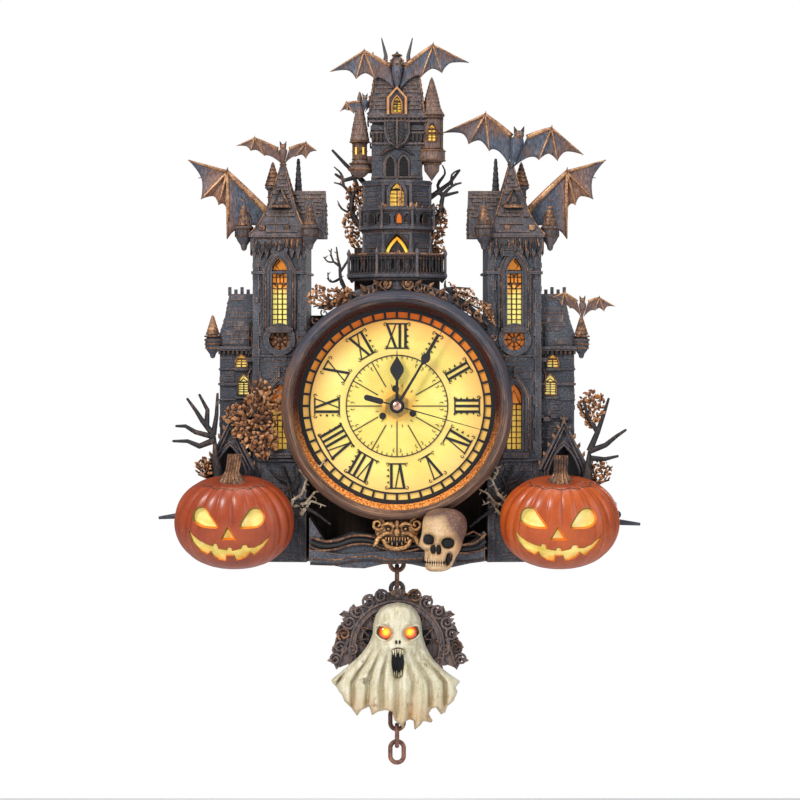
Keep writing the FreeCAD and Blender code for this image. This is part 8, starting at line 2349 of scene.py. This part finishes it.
def makeFrame():
    piece = Piece("frame_scrolls")
    y = pendulum["y"]
    # The scrolls of the left half are mirrored about pixel 398
    scrolls = pendulum["scrolls"] + [(796 - u, v, size, -hand) for u, v, size, hand in pendulum["scrolls"]]
    for side in (-1, 1):
        outer = [(side * -x, z) for x, z in (spotOf(pendulum, *p) for p in pendulum["border"])]
        arc = [radians(198 - 94 * k / 16) for k in range(17)]
        piece.use("frameBronze")
        inner = [(side * -pendulum["ring"] * cos(a), pendulum["z"] + pendulum["ring"] * sin(a)) for a in arc]
        piece.slab(outer + inner, y + 0.9, y + 2.5)
        piece.use("frameBronze", True)
        piece.tube([(x, y + 0.8, z) for x, z in outer], 0.7, 6)
    piece.use("darkStone")
    piece.faced(0, pendulum["z"], [(pendulum["recess"], y + 4.7), (pendulum["recess"], y + 3.9)], 48)
    for number, (u, v, size, hand) in enumerate(scrolls):
        x, z = spotOf(pendulum, u, v)
        piece.use("copperTrim" if number % 5 == 4 else "frameBronze", True)
        piece.spiral(x, y + 0.2, z, radians(60 * number), size, 1.5, 0.85, hand, 7)
        away = Vector((x, z - pendulum["z"])).normalized()
        piece.leaf((x, y + 0.6, z), (x + away.x * 4.6, y - 0.2, z + away.y * 4.6), 1.3, 0.4)
    for arm in pendulum["arms"]:
        piece.use("frameBronze", True)
        line = smoothed([(x, y + 0.4, z) for x, z in (spotOf(pendulum, *p) for p in arm)], 3)
        piece.tube(line, (1.5, 0.4), 7)
    piece.use("frameBronze", True)
    for reach, thick in ((26.0, 0.9), (23.4, 0.6)):
        piece.tube([roundAt(0, y + 0.3, pendulum["z"], reach, radians(-30 + 5 * k)) for k in range(49)],
                   thick, 7)
    # Gothic tracery between the ghost and the ring
    piece.use("frameBronze")
    bow = ((1.6, 16.5, 0.14), (0.6, pendulum["recess"], 0), (1.6, 16.5, -0.14))     # behind y, reach, turn
    for k in range(9):
        a = radians(10 + 20 * k)
        piece.tube([roundAt(0, y + back, pendulum["z"], reach, a + turn) for back, reach, turn in bow], 0.6,
                   5)
    # Shell under the link's eye
    sx, sz = spotOf(pendulum, 397.5, 594)
    for k in range(7):
        a = radians(30 + 20 * k)
        piece.leaf((sx, y + 0.4, sz - 2.0), roundAt(sx, y - 0.4, sz - 2.0, 5.4, a), 1.0, 0.5)
    piece.ball(sx, y - 0.3, sz - 2.0, 1.6, 1.2, 1.4)
    piece.finish("medallion", (), "frame_bronze")


makeFrame()
print("pendulum frame")


def buildFloor():
    # A pale floor well under the hanging clock
    shape = bpy.data.meshes.new("floor")
    floor = bmesh.new()
    corners = [(-700, -700), (700, -700), (700, 300), (-700, 300)]
    floor.faces.new([floor.verts.new(place(x, y, -262)) for x, y in corners])
    floor.to_mesh(shape)
    floor.free()
    piece = bpy.data.objects.new("floor", shape)
    scene.collection.objects.link(piece)
    shape.materials.append(Finish("floorPaint", Roughness=0.8).put(Base_Color=(0.85, 0.85, 0.85)))
    return piece


# Nodes that keep their shape from the CAD take these finishes
kept = {
    "boardWood": "back_board", "zincPlate": "hanger_plate",
    "plainBlack": "screws dial_markings chapter_ring hour_hand minute_hand second_hand",
    "blackPlastic": "light_switch movement_case movement_lid", "greyPlastic": "dial_housing",
    "dialFace": "dial_plate", "turnedWood": "bezel_ring", "copperTrim": "bezel_crest", "cellWrap": "battery",
    "springSteel": "battery_contacts", "boardGreen": "circuit_boards", "coilWire": "drive_coil",
    "whiteNylon": "rotor_pinion fifth_wheel second_wheel third_wheel minute_work_wheel hour_wheel setting_knob",
    "gearBrass": "centre_wheel minute_pipe", "nutBrass": "mounting_nut", "plainStone": "base_rail",
    "castleStone": "porches centre_tower lower_balcony upper_balcony left_tower right_tower side_houses",
    "rubbedGilt": "mascaron", "slateBoards": "centre_roof left_tower_roof right_tower_roof",
    "turretBoards": "bartizans", "towerGlass": "window_panes", "coolLeather": "top_bat right_bat",
    "warmLeather": "left_bat small_bats", "wingLeather": "side_wings", "bark": "bare_trees",
    "leafCopper": "foliage", "rightPumpkin": "pumpkins", "oldBone": "skull",
    "agedChain": "pendulum_eye chain_link_1 chain_link_2 chain_link_3 chain_link_4 chain_link_5",
    "frameBronze": "pendulum_frame", "ghostCloth": "ghost",
}
for paint, names in kept.items():
    for name in names.split():
        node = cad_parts[name]
        node.data.materials.clear()
        node.data.materials.append(finish(paint))
print("finishes on the CAD nodes")

buildFloor()
buildStudio()
print("studio")
